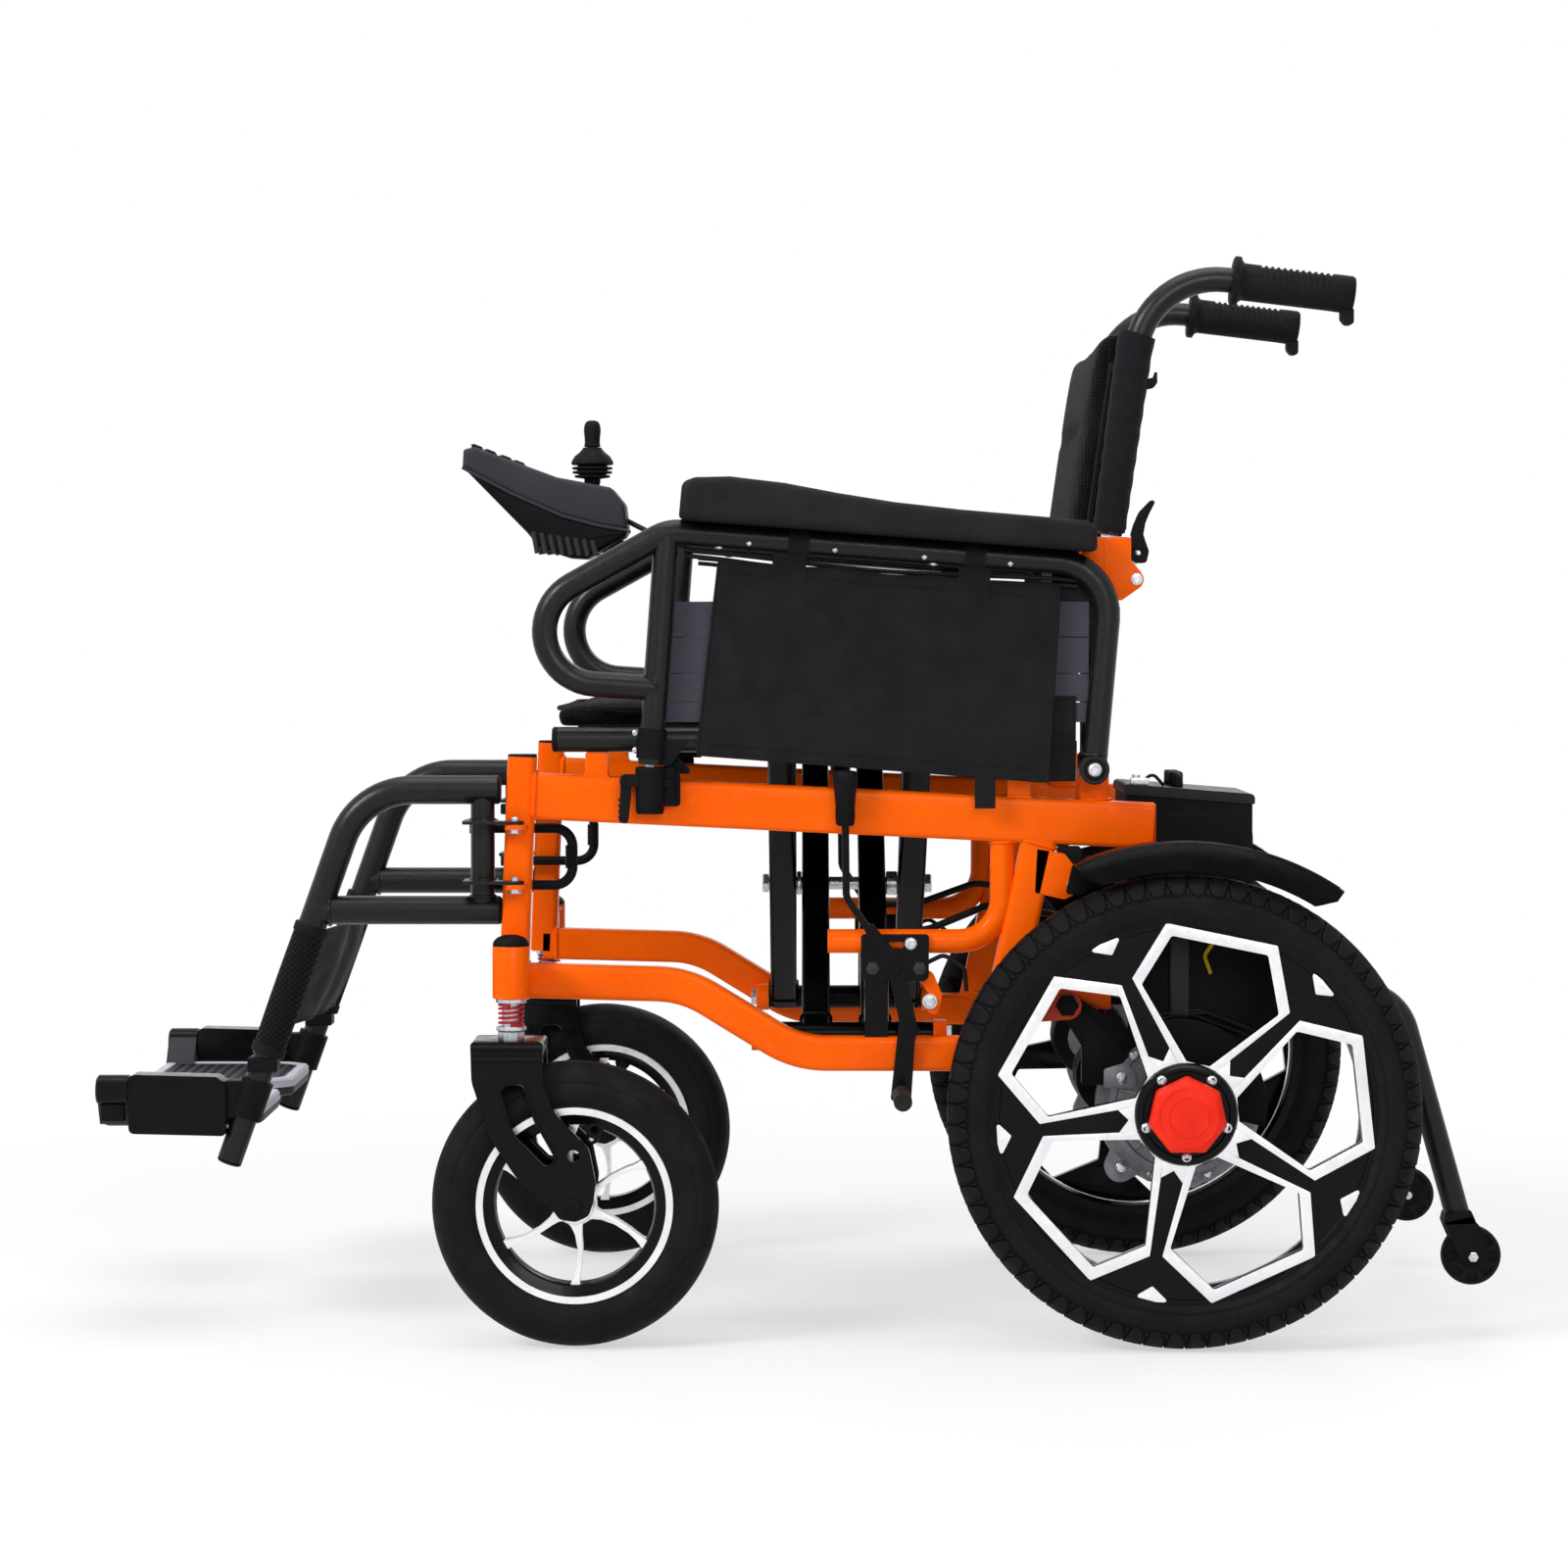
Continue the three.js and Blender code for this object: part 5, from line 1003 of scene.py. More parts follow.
def caster_fork():
    """Two pierced blades under a ribbed crown, with the axle and the stem."""
    near = caster_half + 3
    thickness = 6
    slot = outline2([(swivel_y - 10, crown_top - 36), (swivel_y + 13, crown_top - 36),
                     (swivel_y + 22, crown_top - 66), (swivel_y + 41, 166), (swivel_y + 33, 157),
                     (swivel_y + 3, 187)], [7, 9, 30, 6, 6, 26], 4)
    hole = bore(5.4, -523.5, 168.4)
    parts = []
    for side in (-1, 1):
        x = caster.x + side * near
        span = sorted([x, x + side * thickness])
        parts.append((plate("x", fork_outline(), span, [slot, hole], bevel=1.2), GLOSS))
        raised = [Vector((x + side * thickness, y, z)) for y, z in slot]
        parts.append((tube(raised, 1.5, 10, closed=True), GLOSS))
        cap = rod((x + side * (thickness - 1), caster.y, caster.z),
                  (x + side * (thickness + 3.4), caster.y, caster.z), 8.6, sides=32, chamfer=1.6)
        parts.append((cap, PLASTIC))
    wide = near + thickness
    crown = [(swivel_y - 32.5, crown_top - 12), (swivel_y + 28.8, crown_top - 12),
             (swivel_y + 28.8, crown_top), (swivel_y - 32.5, crown_top)]
    parts.append((plate("x", outline2(crown, 2.5, 3), [caster.x - wide + 1, caster.x + wide - 1], bevel=1.6),
                  GLOSS))
    for drop in (5, 14.5):
        for side in (-1, 1):
            x = caster.x + side * (wide - 0.4)
            line = [(x, swivel_y - 32, crown_top - drop), (x, swivel_y + 28, crown_top - drop)]
            parts.append((tube(line, 2.3, 14), GLOSS))
    axis = (caster.x, swivel_y)
    parts += [
        (hexagon((*axis, crown_top), (0, 0, 1), 11.5, 7.6), ZINC),
        (rod((*axis, crown_top + 7.4), (*axis, crown_top + 10.9), 13, sides=32, chamfer=0.5), ZINC),
        (rod((*axis, crown_top + 4), (*axis, crown_top + 74), 7.8, sides=24), ZINC),
        (rod((caster.x - wide + 2, caster.y, caster.z), (caster.x + wide - 2, caster.y, caster.z), 5), ZINC),
    ]
    return parts


def caster_spring():
    """Coil spring between the crown and the head tube, its end turns flat."""
    turns, steps, wire = 5, 24, 1.15
    rise = spring_high - spring_low - 2 * wire
    line = []
    for i in range(turns * steps + 1):
        share = i / (turns * steps)
        flat = min(1, max(0, (share - 0.08) / 0.84))
        a = 2 * math.pi * i / steps
        line.append((caster.x + 10.4 * math.cos(a), swivel_y + 10.4 * math.sin(a),
                     spring_low + wire + rise * flat))
    return [(tube(line, wire, 10), SPRING)]


# ---------------------------------------------------------------- side frames

def socket_weld(p, normal, radius):
    """Bead where a round tube meets the frame."""
    return (weld(ring_round(p, normal, radius)), ORANGE)


def frame_tubes():
    """Top rail, front post, dipped lower rail, slanted rear post and the hoop of the brake tube."""
    def mid(y):
        return rail_top(y) - rail_height / 2

    rail = sweep(along_line(side_view(half, [(rail_front, mid(rail_front)), (rail_rear, mid(rail_rear))]),
                            24), oblong(rail_width, rail_height, 5))
    post = sweep(side_view(half, [(post_foot_y, post_foot_z), (post_y(post_head_z), post_head_z)]),
                 oblong(rail_width, rail_width, 6))
    lower_line = rounded(side_view(half, [(post_foot_y, 312), (-430, 308), (-332, 248), (-164, 248)]), 90, 10)
    lower = sweep(lower_line, oblong(rail_width, 30, 5))
    rear = sweep(side_view(half, [(-164, 242), (-118, mid(-118))]), oblong(rail_width - 1, 30, 5))
    hoop = tube(rounded(side_view(half, [(-306, hoop_z), (-154, hoop_z), (-154, mid(-154))]), 38, 12), 10.5,
                28)
    return [(s, ORANGE) for s in (rail, post, lower, rear, hoop)]


def square_bead(centre, normal, width, height):
    """Bead round the mouth of an oblong tube."""
    c, n = Vector(centre), Vector(normal).normalized()
    side = Vector((1, 0, 0))
    up = n.cross(side).normalized()
    ring = [c + side * a + up * b for a, b in oblong(width + 1, height + 1, 6, 4)]
    return (weld(ring, 1.5), ORANGE)


def side_frame():
    """One welded side frame with all that is fixed to it."""
    parts = frame_tubes()
    parts += [
        square_bead((half, post_y(473) + 12.5, 473), (0, 1, -0.05), rail_width, rail_height),
        square_bead((half, post_y(312) + 12.5, 312), (0, 1, 0), rail_width, 30),
        square_bead((half, -150, 262), (0, 0.3, 1), rail_width - 1, 30),
        square_bead((half, -122, rail_top(-118) - rail_height - 0.5), (0, 0.27, 1), rail_width - 1, 30),
        socket_weld((half, -154, rail_top(-154) - rail_height - 0.5), (0, 0, 1), 10.8),
    ]
    parts += head_tube() + leg_lugs() + saddles() + arm_socket() + back_post() + brace_ears()
    parts += brake_bracket() + motor_lug() + guard_tab() + tip_receiver() + frame_caps()
    return parts


def frame_caps():
    """Plastic plugs in the open ends of the post and the top rail."""
    top = post_head_z
    end = rail_rear
    cap = plate("z", [(half + a, post_y(top) + b) for a, b in oblong(rail_width - 0.5, rail_width - 0.5, 6)],
                [top - 1, top + 2.2], bevel=1)
    plug = plate("y", [(half + a, rail_top(end) - rail_height / 2 + b) for a, b in
                       oblong(rail_width - 2, rail_height - 2, 5)], [end - 2, end + 2.2], bevel=1)
    # The rail's plug takes the orange darkened with painted shade.
    return [(cap, PLASTIC), (plug, SHADED_ORANGE)]


def head_tube():
    """Caster head tube with its washer, cap and welded web."""
    foot = crown_top + 35
    top = foot + 47
    axis = (caster.x, swivel_y, 0)
    shell = [(8.6, foot), (15.4, foot), (16, foot + 0.8), (16, foot + 44.4), (15.4, top - 1.6),
             (8.6, top - 1.6)]
    washer = [(8.6, foot - 4), (12.6, foot - 4), (13.2, foot - 3.4), (13.2, foot - 0.4), (8.6, foot)]
    dome = [(0, top - 2), (15.6, top - 2), (15.8, top), (14.6, top + 2.6), (11.6, top + 5.4),
            (6.4, top + 7.4), (0, top + 8)]
    web = box([outer - 2, caster.x - 12], [swivel_y - 12, swivel_y + 12], [foot + 3, top - 5], 1.2)
    parts = [(turned(shell, axis, "z", 56, closed=True), ORANGE),
             (turned(washer, axis, "z", 48, closed=True), ZINC),
             (turned(dome, axis, "z", 48), PLASTIC),
             (web, ORANGE)]
    for z in (foot + 3, top - 5):
        for y in (swivel_y - 12, swivel_y + 12):
            parts.append((weld([(outer - 1, y, z), (caster.x - 13, y, z)], 1.4, closed=False), ORANGE))
    return parts


def leg_lugs():
    """Welded lugs and pins that the legrest's clevis hangs on."""
    hinge_x, hinge_y = leg_hinge_x, leg_hinge_y
    parts = []
    for z in clevis_z:
        seat = z - 1.8
        outline = outline2([(outer - 3, hinge_y - 9), (hinge_x + 9, hinge_y - 9), (hinge_x + 9, hinge_y + 11),
                            (outer - 3, hinge_y + 11)], [1, 8, 8, 1], 6)
        parts.append((plate("z", outline, [seat - 4, seat], bevel=0.8), ORANGE))
        parts.append((rod((hinge_x, hinge_y, seat - 8), (hinge_x, hinge_y, seat + 6.6), 3.4, chamfer=0.8),
                      ZINC))
        parts.append((hexagon((hinge_x, hinge_y, seat - 4), (0, 0, -1), 5.6, 4.2), ZINC))
        parts.append((weld([(outer, hinge_y - 9, seat - 4), (outer, hinge_y + 11, seat - 4)], 1.3,
                           closed=False), ORANGE))
    return parts


def saddles():
    """Welded blocks on the top rail that the seat rail rests on."""
    parts = []
    for front, rear in ((-517, -497), (-150, -130)):
        top = seat_rail_z - 11 - 0.3
        parts.append((box([half - 9, half + 9], [front, rear], [rail_top(rear) - 4, top], 2), ORANGE))
        parts.append((weld([(half - 9, front, rail_top(front)), (half + 9, front, rail_top(front)),
                            (half + 9, rear, rail_top(rear)), (half - 9, rear, rail_top(rear))], 1.3),
                      ORANGE))
    return parts


def arm_socket():
    """Plastic socket that takes the foot of the armrest's post, with its catch block."""
    top = socket_top
    foot = top - 41
    y = arm_post_y(top)
    shell = [(9, top - 0.2), (11.8, top - 0.2), (12.8, top - 1.4), (12.8, top - 8), (12.3, top - 9),
             (12.3, foot + 3), (11.4, foot), (0, foot), (0, top - 22), (9, top - 22)]
    parts = [(turned(shell, (arm_x, y, 0), "z", 40), PLASTIC)]
    catch = outline2([(y + 10, foot + 7), (y + 21, foot + 7), (y + 21, top), (y + 10, top)], 2, 3)
    parts.append((plate("x", catch, [outer + 0.2, outer + 10], bevel=1.4), PLASTIC))
    brace = outline2([(y + 12, top - 7), (y + 34, top - 7), (y + 34, top - 3), (y + 16, top + 16),
                      (y + 12, top + 16)], 2, 3)
    parts.append((plate("x", brace, [outer - 8, outer - 3], bevel=0.8), PLASTIC))
    parts.append((plate("x", outline2([(y - 12, foot + 6), (y + 26, foot + 6), (y + 26, top - 6),
                                       (y - 12, top - 6)], 3), [outer, outer + 2.2], bevel=0.5), PLASTIC))
    parts.append((rod((outer + 9, y + 15.5, foot + 26), (outer + 12.6, y + 15.5, foot + 26), 4.6,
                      chamfer=0.8), PLASTIC))
    pin_y, pin_z = y - 21, top - 12
    for near, far in ((-8.8, -5.3), (5.3, 8.8)):
        ear = outline2([(pin_y - 5, pin_z - 5), (pin_y + 12, pin_z - 5), (pin_y + 12, pin_z + 5),
                        (pin_y - 5, pin_z + 5)], [4, 1, 1, 4], 4)
        parts.append((plate("x", ear, [arm_x + near, arm_x + far], bevel=0.5), PLASTIC))
    parts.append((rod((arm_x - 9.6, pin_y, pin_z), (arm_x + 9.6, pin_y, pin_z), 2, chamfer=0.4), PLASTIC))
    return parts


def back_post():
    """Collar on the top rail, black lower back tube and the orange folding bracket above it."""
    y = -75
    collar = plate("z", [(back_x + a, y + b) for a, b in oblong(26, 28, 7, 5)], [rail_top(y) - 4, 497],
                   bevel=1)
    boss = plate("z", [(back_x + a, y + b) for a, b in oblong(24, 26, 9, 5)], [497, 509], bevel=2)
    post = rod((back_x, y, 500), (back_x, y, 649), 11, sides=28)
    front = y - 11
    side = outline2([(front, 643), (-51, 643), (-34, 655), (-31, 661.5), (-35, 668.5), (-43, 677.5),
                     (-43, 698), (front, 698)], [3, 4, 5, 6, 5, 5, 3, 3], 4)
    parts = [(collar, ORANGE), (boss, PLASTIC), (post, COAT)]
    for near, far in ((-15, -11.2), (11.2, 15)):
        parts.append((plate("x", side, [back_x + near, back_x + far], bevel=0.8), ORANGE))
    parts.append((box([back_x + 14.6, back_x + 15.7], [-66, -64.4], [646, 696], 0.4), ORANGE))
    inner = [(front + 1, 644), (-73.2, 644), (-73.2, 697), (front + 1, 697)]
    parts.append((plate("x", inner, [back_x - 13, back_x + 13], bevel=1.2), ORANGE))
    for near, far in ((-12, -4.4), (4.4, 12)):
        spacer = outline2([(-72, 644.5), (-52, 644.5), (-36, 656), (-36, 668), (-46, 676), (-46, 696),
                           (-72, 696)], 3, 3)
        parts.append((plate("x", spacer, [back_x + near, back_x + far], bevel=0.6), ORANGE))
    parts.append((rod((back_x - 15.4, fold_y, fold_z), (back_x + 15.4, fold_y, fold_z), 4.4, chamfer=0.6),
                  ZINC))
    parts += cap_screw((back_x + 15, fold_y, fold_z), (1, 0, 0), 5.2, 0.9)
    at = (arm_pivot_y, arm_pivot_z)
    parts += [(rod((back_x + 5, *at), (arm_x + 13, *at), 4.9), ZINC),
              (rod((arm_x + 12, *at), (arm_x + 13.4, *at), 9.4, sides=32, chamfer=0.4), PLASTIC)]
    parts += cap_screw((arm_x + 13.2, *at), (1, 0, 0), 6.4, 3.8)
    parts.append((weld(ring_round((back_x, y, rail_top(y) + 0.4), (0, 0, 1), 15.6), 1.5), ORANGE))
    return parts


def brace_ears():
    """Lugs on the lower rail that carry a cross brace's pivot tube."""
    parts = []
    for front, rear in ((-372.5, -360.8), (-213.2, -201.5)):
        side = outline2([(167, 249), (half - 10, 249), (half - 10, 275), (167, 275)], [11, 2, 2, 11], 5)
        parts.append((plate("y", side, [front, rear], bevel=1), ORANGE))
        nut_y = front if front < -300 else rear
        parts.append((hexagon((180, nut_y, 262), (0, -1 if front < -300 else 1, 0), 8.6, 5), ZINC))
    return parts


def brake_bracket():
    """Slotted plate on the brake tube, with its clamp bolt and the row of adjusting bolts."""
    face = half + 14.5
    y, z = brake_y, brake_z
    outline = outline2([(y - 30, z + 28), (y + 29, z + 28), (y + 29, z - 13), (y - 30, z - 13)], [3, 3, 6, 6],
                       4)
    slot = outline2([(y - 16.3, z + 16), (y + 8.4, z + 16), (y + 8.4, z + 21.4), (y - 16.3, z + 21.4)], 2.6,
                    4)
    parts = [(plate("x", outline, [face - 5, face - 0.6], [slot], bevel=0.7), GLOSS),
             (box([half + 2, face - 5.2], [y - 24, y + 26], [z + 8, z + 27], 2), ORANGE),
             (box([half - 9, half + 3], [y - 6, y + 26], [z - 4, z + 30], 2), GLOSS)]
    parts += cap_screw((face - 0.8, y + 13.2, z + 19.8), (1, 0, 0), 5.6, 2.6)
    for shift in (-19.9, 0.5, 20.9):
        parts += [(hexagon((face - 0.8, y + shift, z - 1.8), (1, 0, 0), 6, 2.4), SHELL)]
    parts.append((rod((face - 4, y, z), (face + 8, y, z), 3.9, chamfer=0.6), ZINC))
    guide = outline2([(y + 16, z + 2), (y + 33, z - 6), (y + 41, z - 26), (y + 36, z - 44), (y + 27, z - 40),
                      (y + 30, z - 26), (y + 22, z - 14), (y + 14, z - 10)], [3, 9, 9, 4, 4, 8, 6, 3], 4)
    parts.append((plate("x", guide, [half + 4, half + 9], bevel=0.9), ORANGE))
    parts += bolt((half + 9, y + 30, z - 31), (1, 0, 0), 5, 3)
    chain = rounded([Vector((half + 8, y + 26, z + 2)), Vector((half + 8, y + 42, z + 10)),
                     Vector((half + 8, y + 60, z - 2)), Vector((half + 6, y + 62, z - 22))], 8, 6)
    parts.append((tube(chain, 2, 10), CABLE))
    lower = box([half - 10, half + 9], [y - 27, y - 6], [262, z - 9], 2.5)
    return [*parts, (lower, GLOSS)]


def motor_lug():
    """Lug on the rear post that the motor's arm bolts to, with its round-ended plate in front."""
    y, z = -98, 291.5
    outline = outline2([(-148, z + 24), (y, z + 13), (y + 9, z + 9), (y + 13, z), (y + 9, z - 9), (y, z - 13),
                        (-150, z - 6)], [2, 8, 6, 6, 6, 8, 2], 4)
    hole = bore(6.6, motor_bolt_y, motor_bolt_z)
    eye = [polar(12.7, a, y, z) for a in range(-75, 166, 15)]
    teardrop = [*eye, (-125, 290), (-129, 282), (-124, 277)]
    # The round-ended plate takes the orange darkened with painted shade of the wheel.
    return [(plate("x", outline, [half - 2, half + 8], [hole], bevel=1), ORANGE),
            (plate("x", teardrop, [half + 15.4, half + 19], bevel=1), SHADED_ORANGE),
            (hexagon((half + 19, y, z), (1, 0, 0), 9.8, 5.5), PLASTIC)]


def guard_bolt():
    """Where the mudguard is bolted to the rear post."""
    return polar(214, 115.5, 0, axle_z)


def guard_tab():
    """Lug and bolt that hold the mudguard, and the stop above them."""
    y, z = guard_bolt()
    outline = outline2([(-124, z + 30), (y - 8, z + 26), (y + 7, z + 6), (y + 7, z - 6), (y - 8, z - 14),
                        (-126, z - 8)], [1, 5, 5, 5, 5, 1], 4)
    tab = plate("x", outline, [half + 3, outer - 0.5], bevel=0.8)
    stop = outline2([(-106, 409), (-85, 409), (-85, 429), (-106, 429)], 3, 3)
    return [(tab, ORANGE), (plate("x", stop, [half - 8, outer - 1], bevel=1.2), PLASTIC),
            (rod((outer - 2, y, z), (track - 25.5, y, z), 5), ZINC),
            *bolt((track - 30, y, z), (1, 0, 0), 5.2, 3.4)]


def tip_receiver():
    """Clamp on the motor arm that holds the front end of the anti-tip bar."""
    front, rear, x, z = -83, -59, tip_x, tip_z
    collar = [(11.4, front), (14.2, front), (15, front + 0.8), (15, rear - 0.8), (14.2, rear), (11.4, rear)]
    strap = outline2([(-91, 295), (rear, 286), (rear, 314), (front, 314), (-99, 302.5)], 2, 3)
    parts = [(turned(collar, (x, 0, z), "y", 40, closed=True), ORANGE),
             (plate("x", strap, [half - 2, half + 4], bevel=0.8), ORANGE),
             (box([x + 12, half], [front + 1, rear - 1], [z - 9, z + 9], 1), ORANGE)]
    parts += [(hexagon((x, (front + rear) / 2, z + 14.6), (0, 0, 1), 5, 4), ZINC)]
    return parts


# ---------------------------------------------------------------- cross braces

pivot_x, pivot_z = 180, 262
tube_front, tube_rear = -360.5, -213.5


def cross_brace(side, bar_ys):
    """Two crossing bars with their pivot tube below and a seat rail above."""
    foot_x, head_x = side * pivot_x, -side * half
    parts = []
    # The bars, their welds and the pivot tube take the darker enamel, which is painted shade.
    for y in bar_ys:
        line = [Vector((foot_x, y, pivot_z)), Vector((head_x, y, seat_rail_z))]
        parts.append((sweep(along_line(line, 16), oblong(25, 25, 4), (0, 1, 0)), SHADED_GLOSS))
        run = (line[1] - line[0]).normalized()
        for end, way in ((line[0], run), (line[1], -run)):
            mouth = end + way * 13
            side_way, up = Vector((0, 1, 0)), run.cross(Vector((0, 1, 0)))
            ring = [mouth + side_way * a + up * b for a, b in oblong(26, 26, 5)]
            parts.append((weld(ring, 1.5), SHADED_GLOSS))
    for z in (-9, 6):
        parts += cap_screw((head_x + math.copysign(9.6, head_x), -473, seat_rail_z + z), (head_x, 0, 0), 3, 2)
    pivot = [(6.4, tube_front), (10.4, tube_front), (11, tube_front + 0.6), (11, tube_rear - 0.6),
             (10.4, tube_rear), (6.4, tube_rear)]
    parts += [(turned(pivot, (foot_x, 0, pivot_z), "y", 36, closed=True), SHADED_GLOSS),
              (rod((foot_x, tube_front - 10.9, pivot_z), (foot_x, tube_rear + 10.9, pivot_z), 5.9,
                   chamfer=0.5), ZINC),
              (rod((head_x, -544, seat_rail_z), (head_x, -97, seat_rail_z), 11, sides=32, chamfer=0.6), COAT)]
    for y, way in ((-546, 1), (-95, -1)):
        plug = [(0, 0), (9.4, 0), (11, 1.5 * way), (11, 5 * way), (9, 6 * way)]
        parts.append((turned(plug, (head_x, y, seat_rail_z), "y", 32), PLASTIC))
    return parts


def centre_bolt():
    """Bolt through the crossing of the two braces."""
    z = pivot_z + 260 * pivot_x / (pivot_x + half)
    parts = [(rod((0, -363.5, z), (0, -210.5, z), 5.9, chamfer=0.6), ZINC),
             (rod((0, -333.2, z), (0, -329, z), 11), ZINC),
             (rod((0, -251, z), (0, -240.8, z), 11), ZINC),
             (hexagon((0, -359, z), (0, -1, 0), 9.5, 6), ZINC),
             (hexagon((0, -215, z), (0, 1, 0), 9.5, 6), ZINC)]
    return parts


# ---------------------------------------------------------------- legrests

leg_top, leg_bar, leg_foot = 478, 373, 154
sleeve_top, sleeve_foot = 356, 251
upright_y = -606.8
housing_rear, foot_front, foot_rear, foot_hinge = -831, -945, -805, 215
latch_x, latch_y = 182.5, -611.8


def knurl(share, radius):
    """Foam sleeve section, slightly swollen between its ends."""
    swell = 0.5 * math.sin(math.pi * min(1, max(0, share)))
    return circle(radius + swell, 36)


def legrest_frame():
    """Bent legrest tube with foam sleeve, upright, hanger, clamps and foot housing."""
    top_y = post_y(leg_top) - 12.5 - 8
    bar_y = post_y(leg_bar) - 12.5 - 3
    foot = sleeve_foot - 6
    main = rounded(side_view(half, [(top_y, leg_top), (-714, leg_top), (leg_y(foot), foot)]), 65, 14)
    sleeve = side_view(half, [(leg_y(sleeve_top), sleeve_top), (leg_y(sleeve_foot), sleeve_foot)])
    hanger = side_view(half, [(leg_y(sleeve_foot + 6), sleeve_foot + 6), (leg_y(leg_foot), leg_foot)])
    low = side_view(half, [(bar_y, leg_bar), (leg_y(leg_bar) + 2, leg_bar)])
    parts = [
        (tube(main, 12.5, 32), COAT),
        (sweep(along_line(sleeve, 14), lambda t: knurl(t, 14), closed=False), FOAM),
        (tube(hanger, 11, 28), COAT), (tube(low, 12.5, 28), COAT),
        (rod((half, upright_y, leg_bar), (half, upright_y, leg_top), 10.5, sides=28), COAT),
    ]
    for z in (sleeve_top, sleeve_foot):
        a, b = side_view(half, [(leg_y(z + t), z + t) for t in (-4, 4)])
        parts.append((rod(a, b, 15.2, sides=36, chamfer=1), RUBBER))
    parts.append((weld(ring_round((half, leg_y(leg_bar) + 11, leg_bar), (0, 1, 0), 12.8), 1.6), COAT))
    parts.append((weld(ring_round((half, upright_y, leg_bar + 12), (0, 0, 1), 10.8), 1.5), COAT))
    clamp_z = sleeve_foot - 12
    parts.append((box([half - 13, half + 13], [leg_y(clamp_z) - 13, leg_y(clamp_z) + 13],
                      [clamp_z - 7, clamp_z + 6], 2.5, 3), PLASTIC))
    end = (half, leg_y(leg_foot), leg_foot)
    parts.append((rod(end, (half, leg_y(leg_foot - 3), leg_foot - 3), 11, sides=28, chamfer=1.4), RUBBER))
    for y, z in ((top_y, leg_top), (bar_y, leg_bar)):
        parts.append((rod((half, y + 2.6, z), (half, y - 4, z), 12.3, sides=28, chamfer=1.6), PLASTIC))
    return parts + clevises() + foot_housing() + latch_pivot()


def clevises():
    """Bent plates that hang the legrest on the side frame's pins."""
    hinge_x, hinge_y = leg_hinge_x, leg_hinge_y
    eye = [polar(8, a, hinge_x, hinge_y) for a in range(0, 181, 20)]
    front, rear = upright_y - 16, upright_y + 13
    outline = [(half - 11, front), (hinge_x + 5, front), (hinge_x + 8, front + 3), *eye, (hinge_x - 8, rear),
               (half - 11, rear)]
    hole = [polar(3.8, -30 * k, hinge_x, hinge_y) for k in range(12)]
    parts = []
    for z in clevis_z:
        parts.append((plate("z", outline, [z - 1.5, z + 1.5], [hole], bevel=0.5), COAT))
        parts.append((weld(ring_round((half, upright_y, z + 1.6), (0, 0, 1), 11), 1.2), COAT))
    return parts


def foot_housing():
    """Smooth block on the hanger that the footplate's barrel turns in."""
    front = foot_front + 29
    z = foot_hinge
    body = outline2([(front, z - 37), (housing_rear, z - 39), (housing_rear, z + 7),
                     (housing_rear - 8, z + 13), (front, z + 15)], [5, 4, 3, 4, 6], 4)
    parts = [(plate("x", body, [190, half + 12], bevel=2.2, segments=3), GLOSS)]
    ledge = [(front + 1, z + 7), (housing_rear - 1, z + 4.4), (housing_rear - 1, z + 7.4),
             (front + 1, z + 10)]
    parts.append((plate("x", ledge, [half + 11, half + 13.2], bevel=0.8), GLOSS))
    neck = outline2([(housing_rear - 2, z - 23), (leg_y(z) + 1, z - 23), (leg_y(z) + 1, z + 9),
                     (housing_rear - 2, z + 9)], 2.5, 3)
    parts.append((plate("x", neck, [half - 9, half + 9], bevel=1.2), PLASTIC))
    clamp = side_view(half, [(leg_y(z + 9), z + 9), (leg_y(z - 23), z - 23)])
    parts.append((tube(clamp, 14.2, 32), PLASTIC))
    parts.append((rod((204, foot_front + 6, z), (204, housing_rear - 20, z), 3.9), ZINC))
    return parts


def latch_pivot():
    """Pin that the release handle turns on."""
    mid = sum(clevis_z) / 2
    return [(rod((latch_x, latch_y, clevis_z[1] - 8), (latch_x, latch_y, clevis_z[0] + 4), 2.9, chamfer=0.5),
             ZINC),
            (box([latch_x - 4, half - 8], [latch_y - 5, latch_y + 7], [mid - 4, mid + 4], 1), COAT)]


def legrest_latch():
    """Release handle: a bent wire loop with a ribbed grip."""
    top, foot = clevis_z[0] - 7, clevis_z[1] - 5
    rear = latch_y + 82
    loop = rounded(side_view(latch_x, [(latch_y + 4, top), (rear, top), (rear, foot), (latch_y + 4, foot)]),
                   16, 8)
    parts = [(tube(loop, 4.4, 20), PLASTIC)]
    grip = side_view(latch_x, [(rear - 1, top - 15), (rear - 1, foot + 15)])
    parts.append((sweep(along_line(grip, 16), lambda t: circle(5.3 + 0.4 * math.cos(16 * math.pi * t), 20)),
                  PLASTIC))
    for z in (top, foot):
        sleeve = [(3.6, z - 5), (7.7, z - 5), (8.5, z - 4.2), (8.5, z + 4.2), (7.7, z + 5), (3.6, z + 5)]
        parts.append((turned(sleeve, (latch_x, latch_y, 0), "z", 32, closed=True), PLASTIC))
    return parts


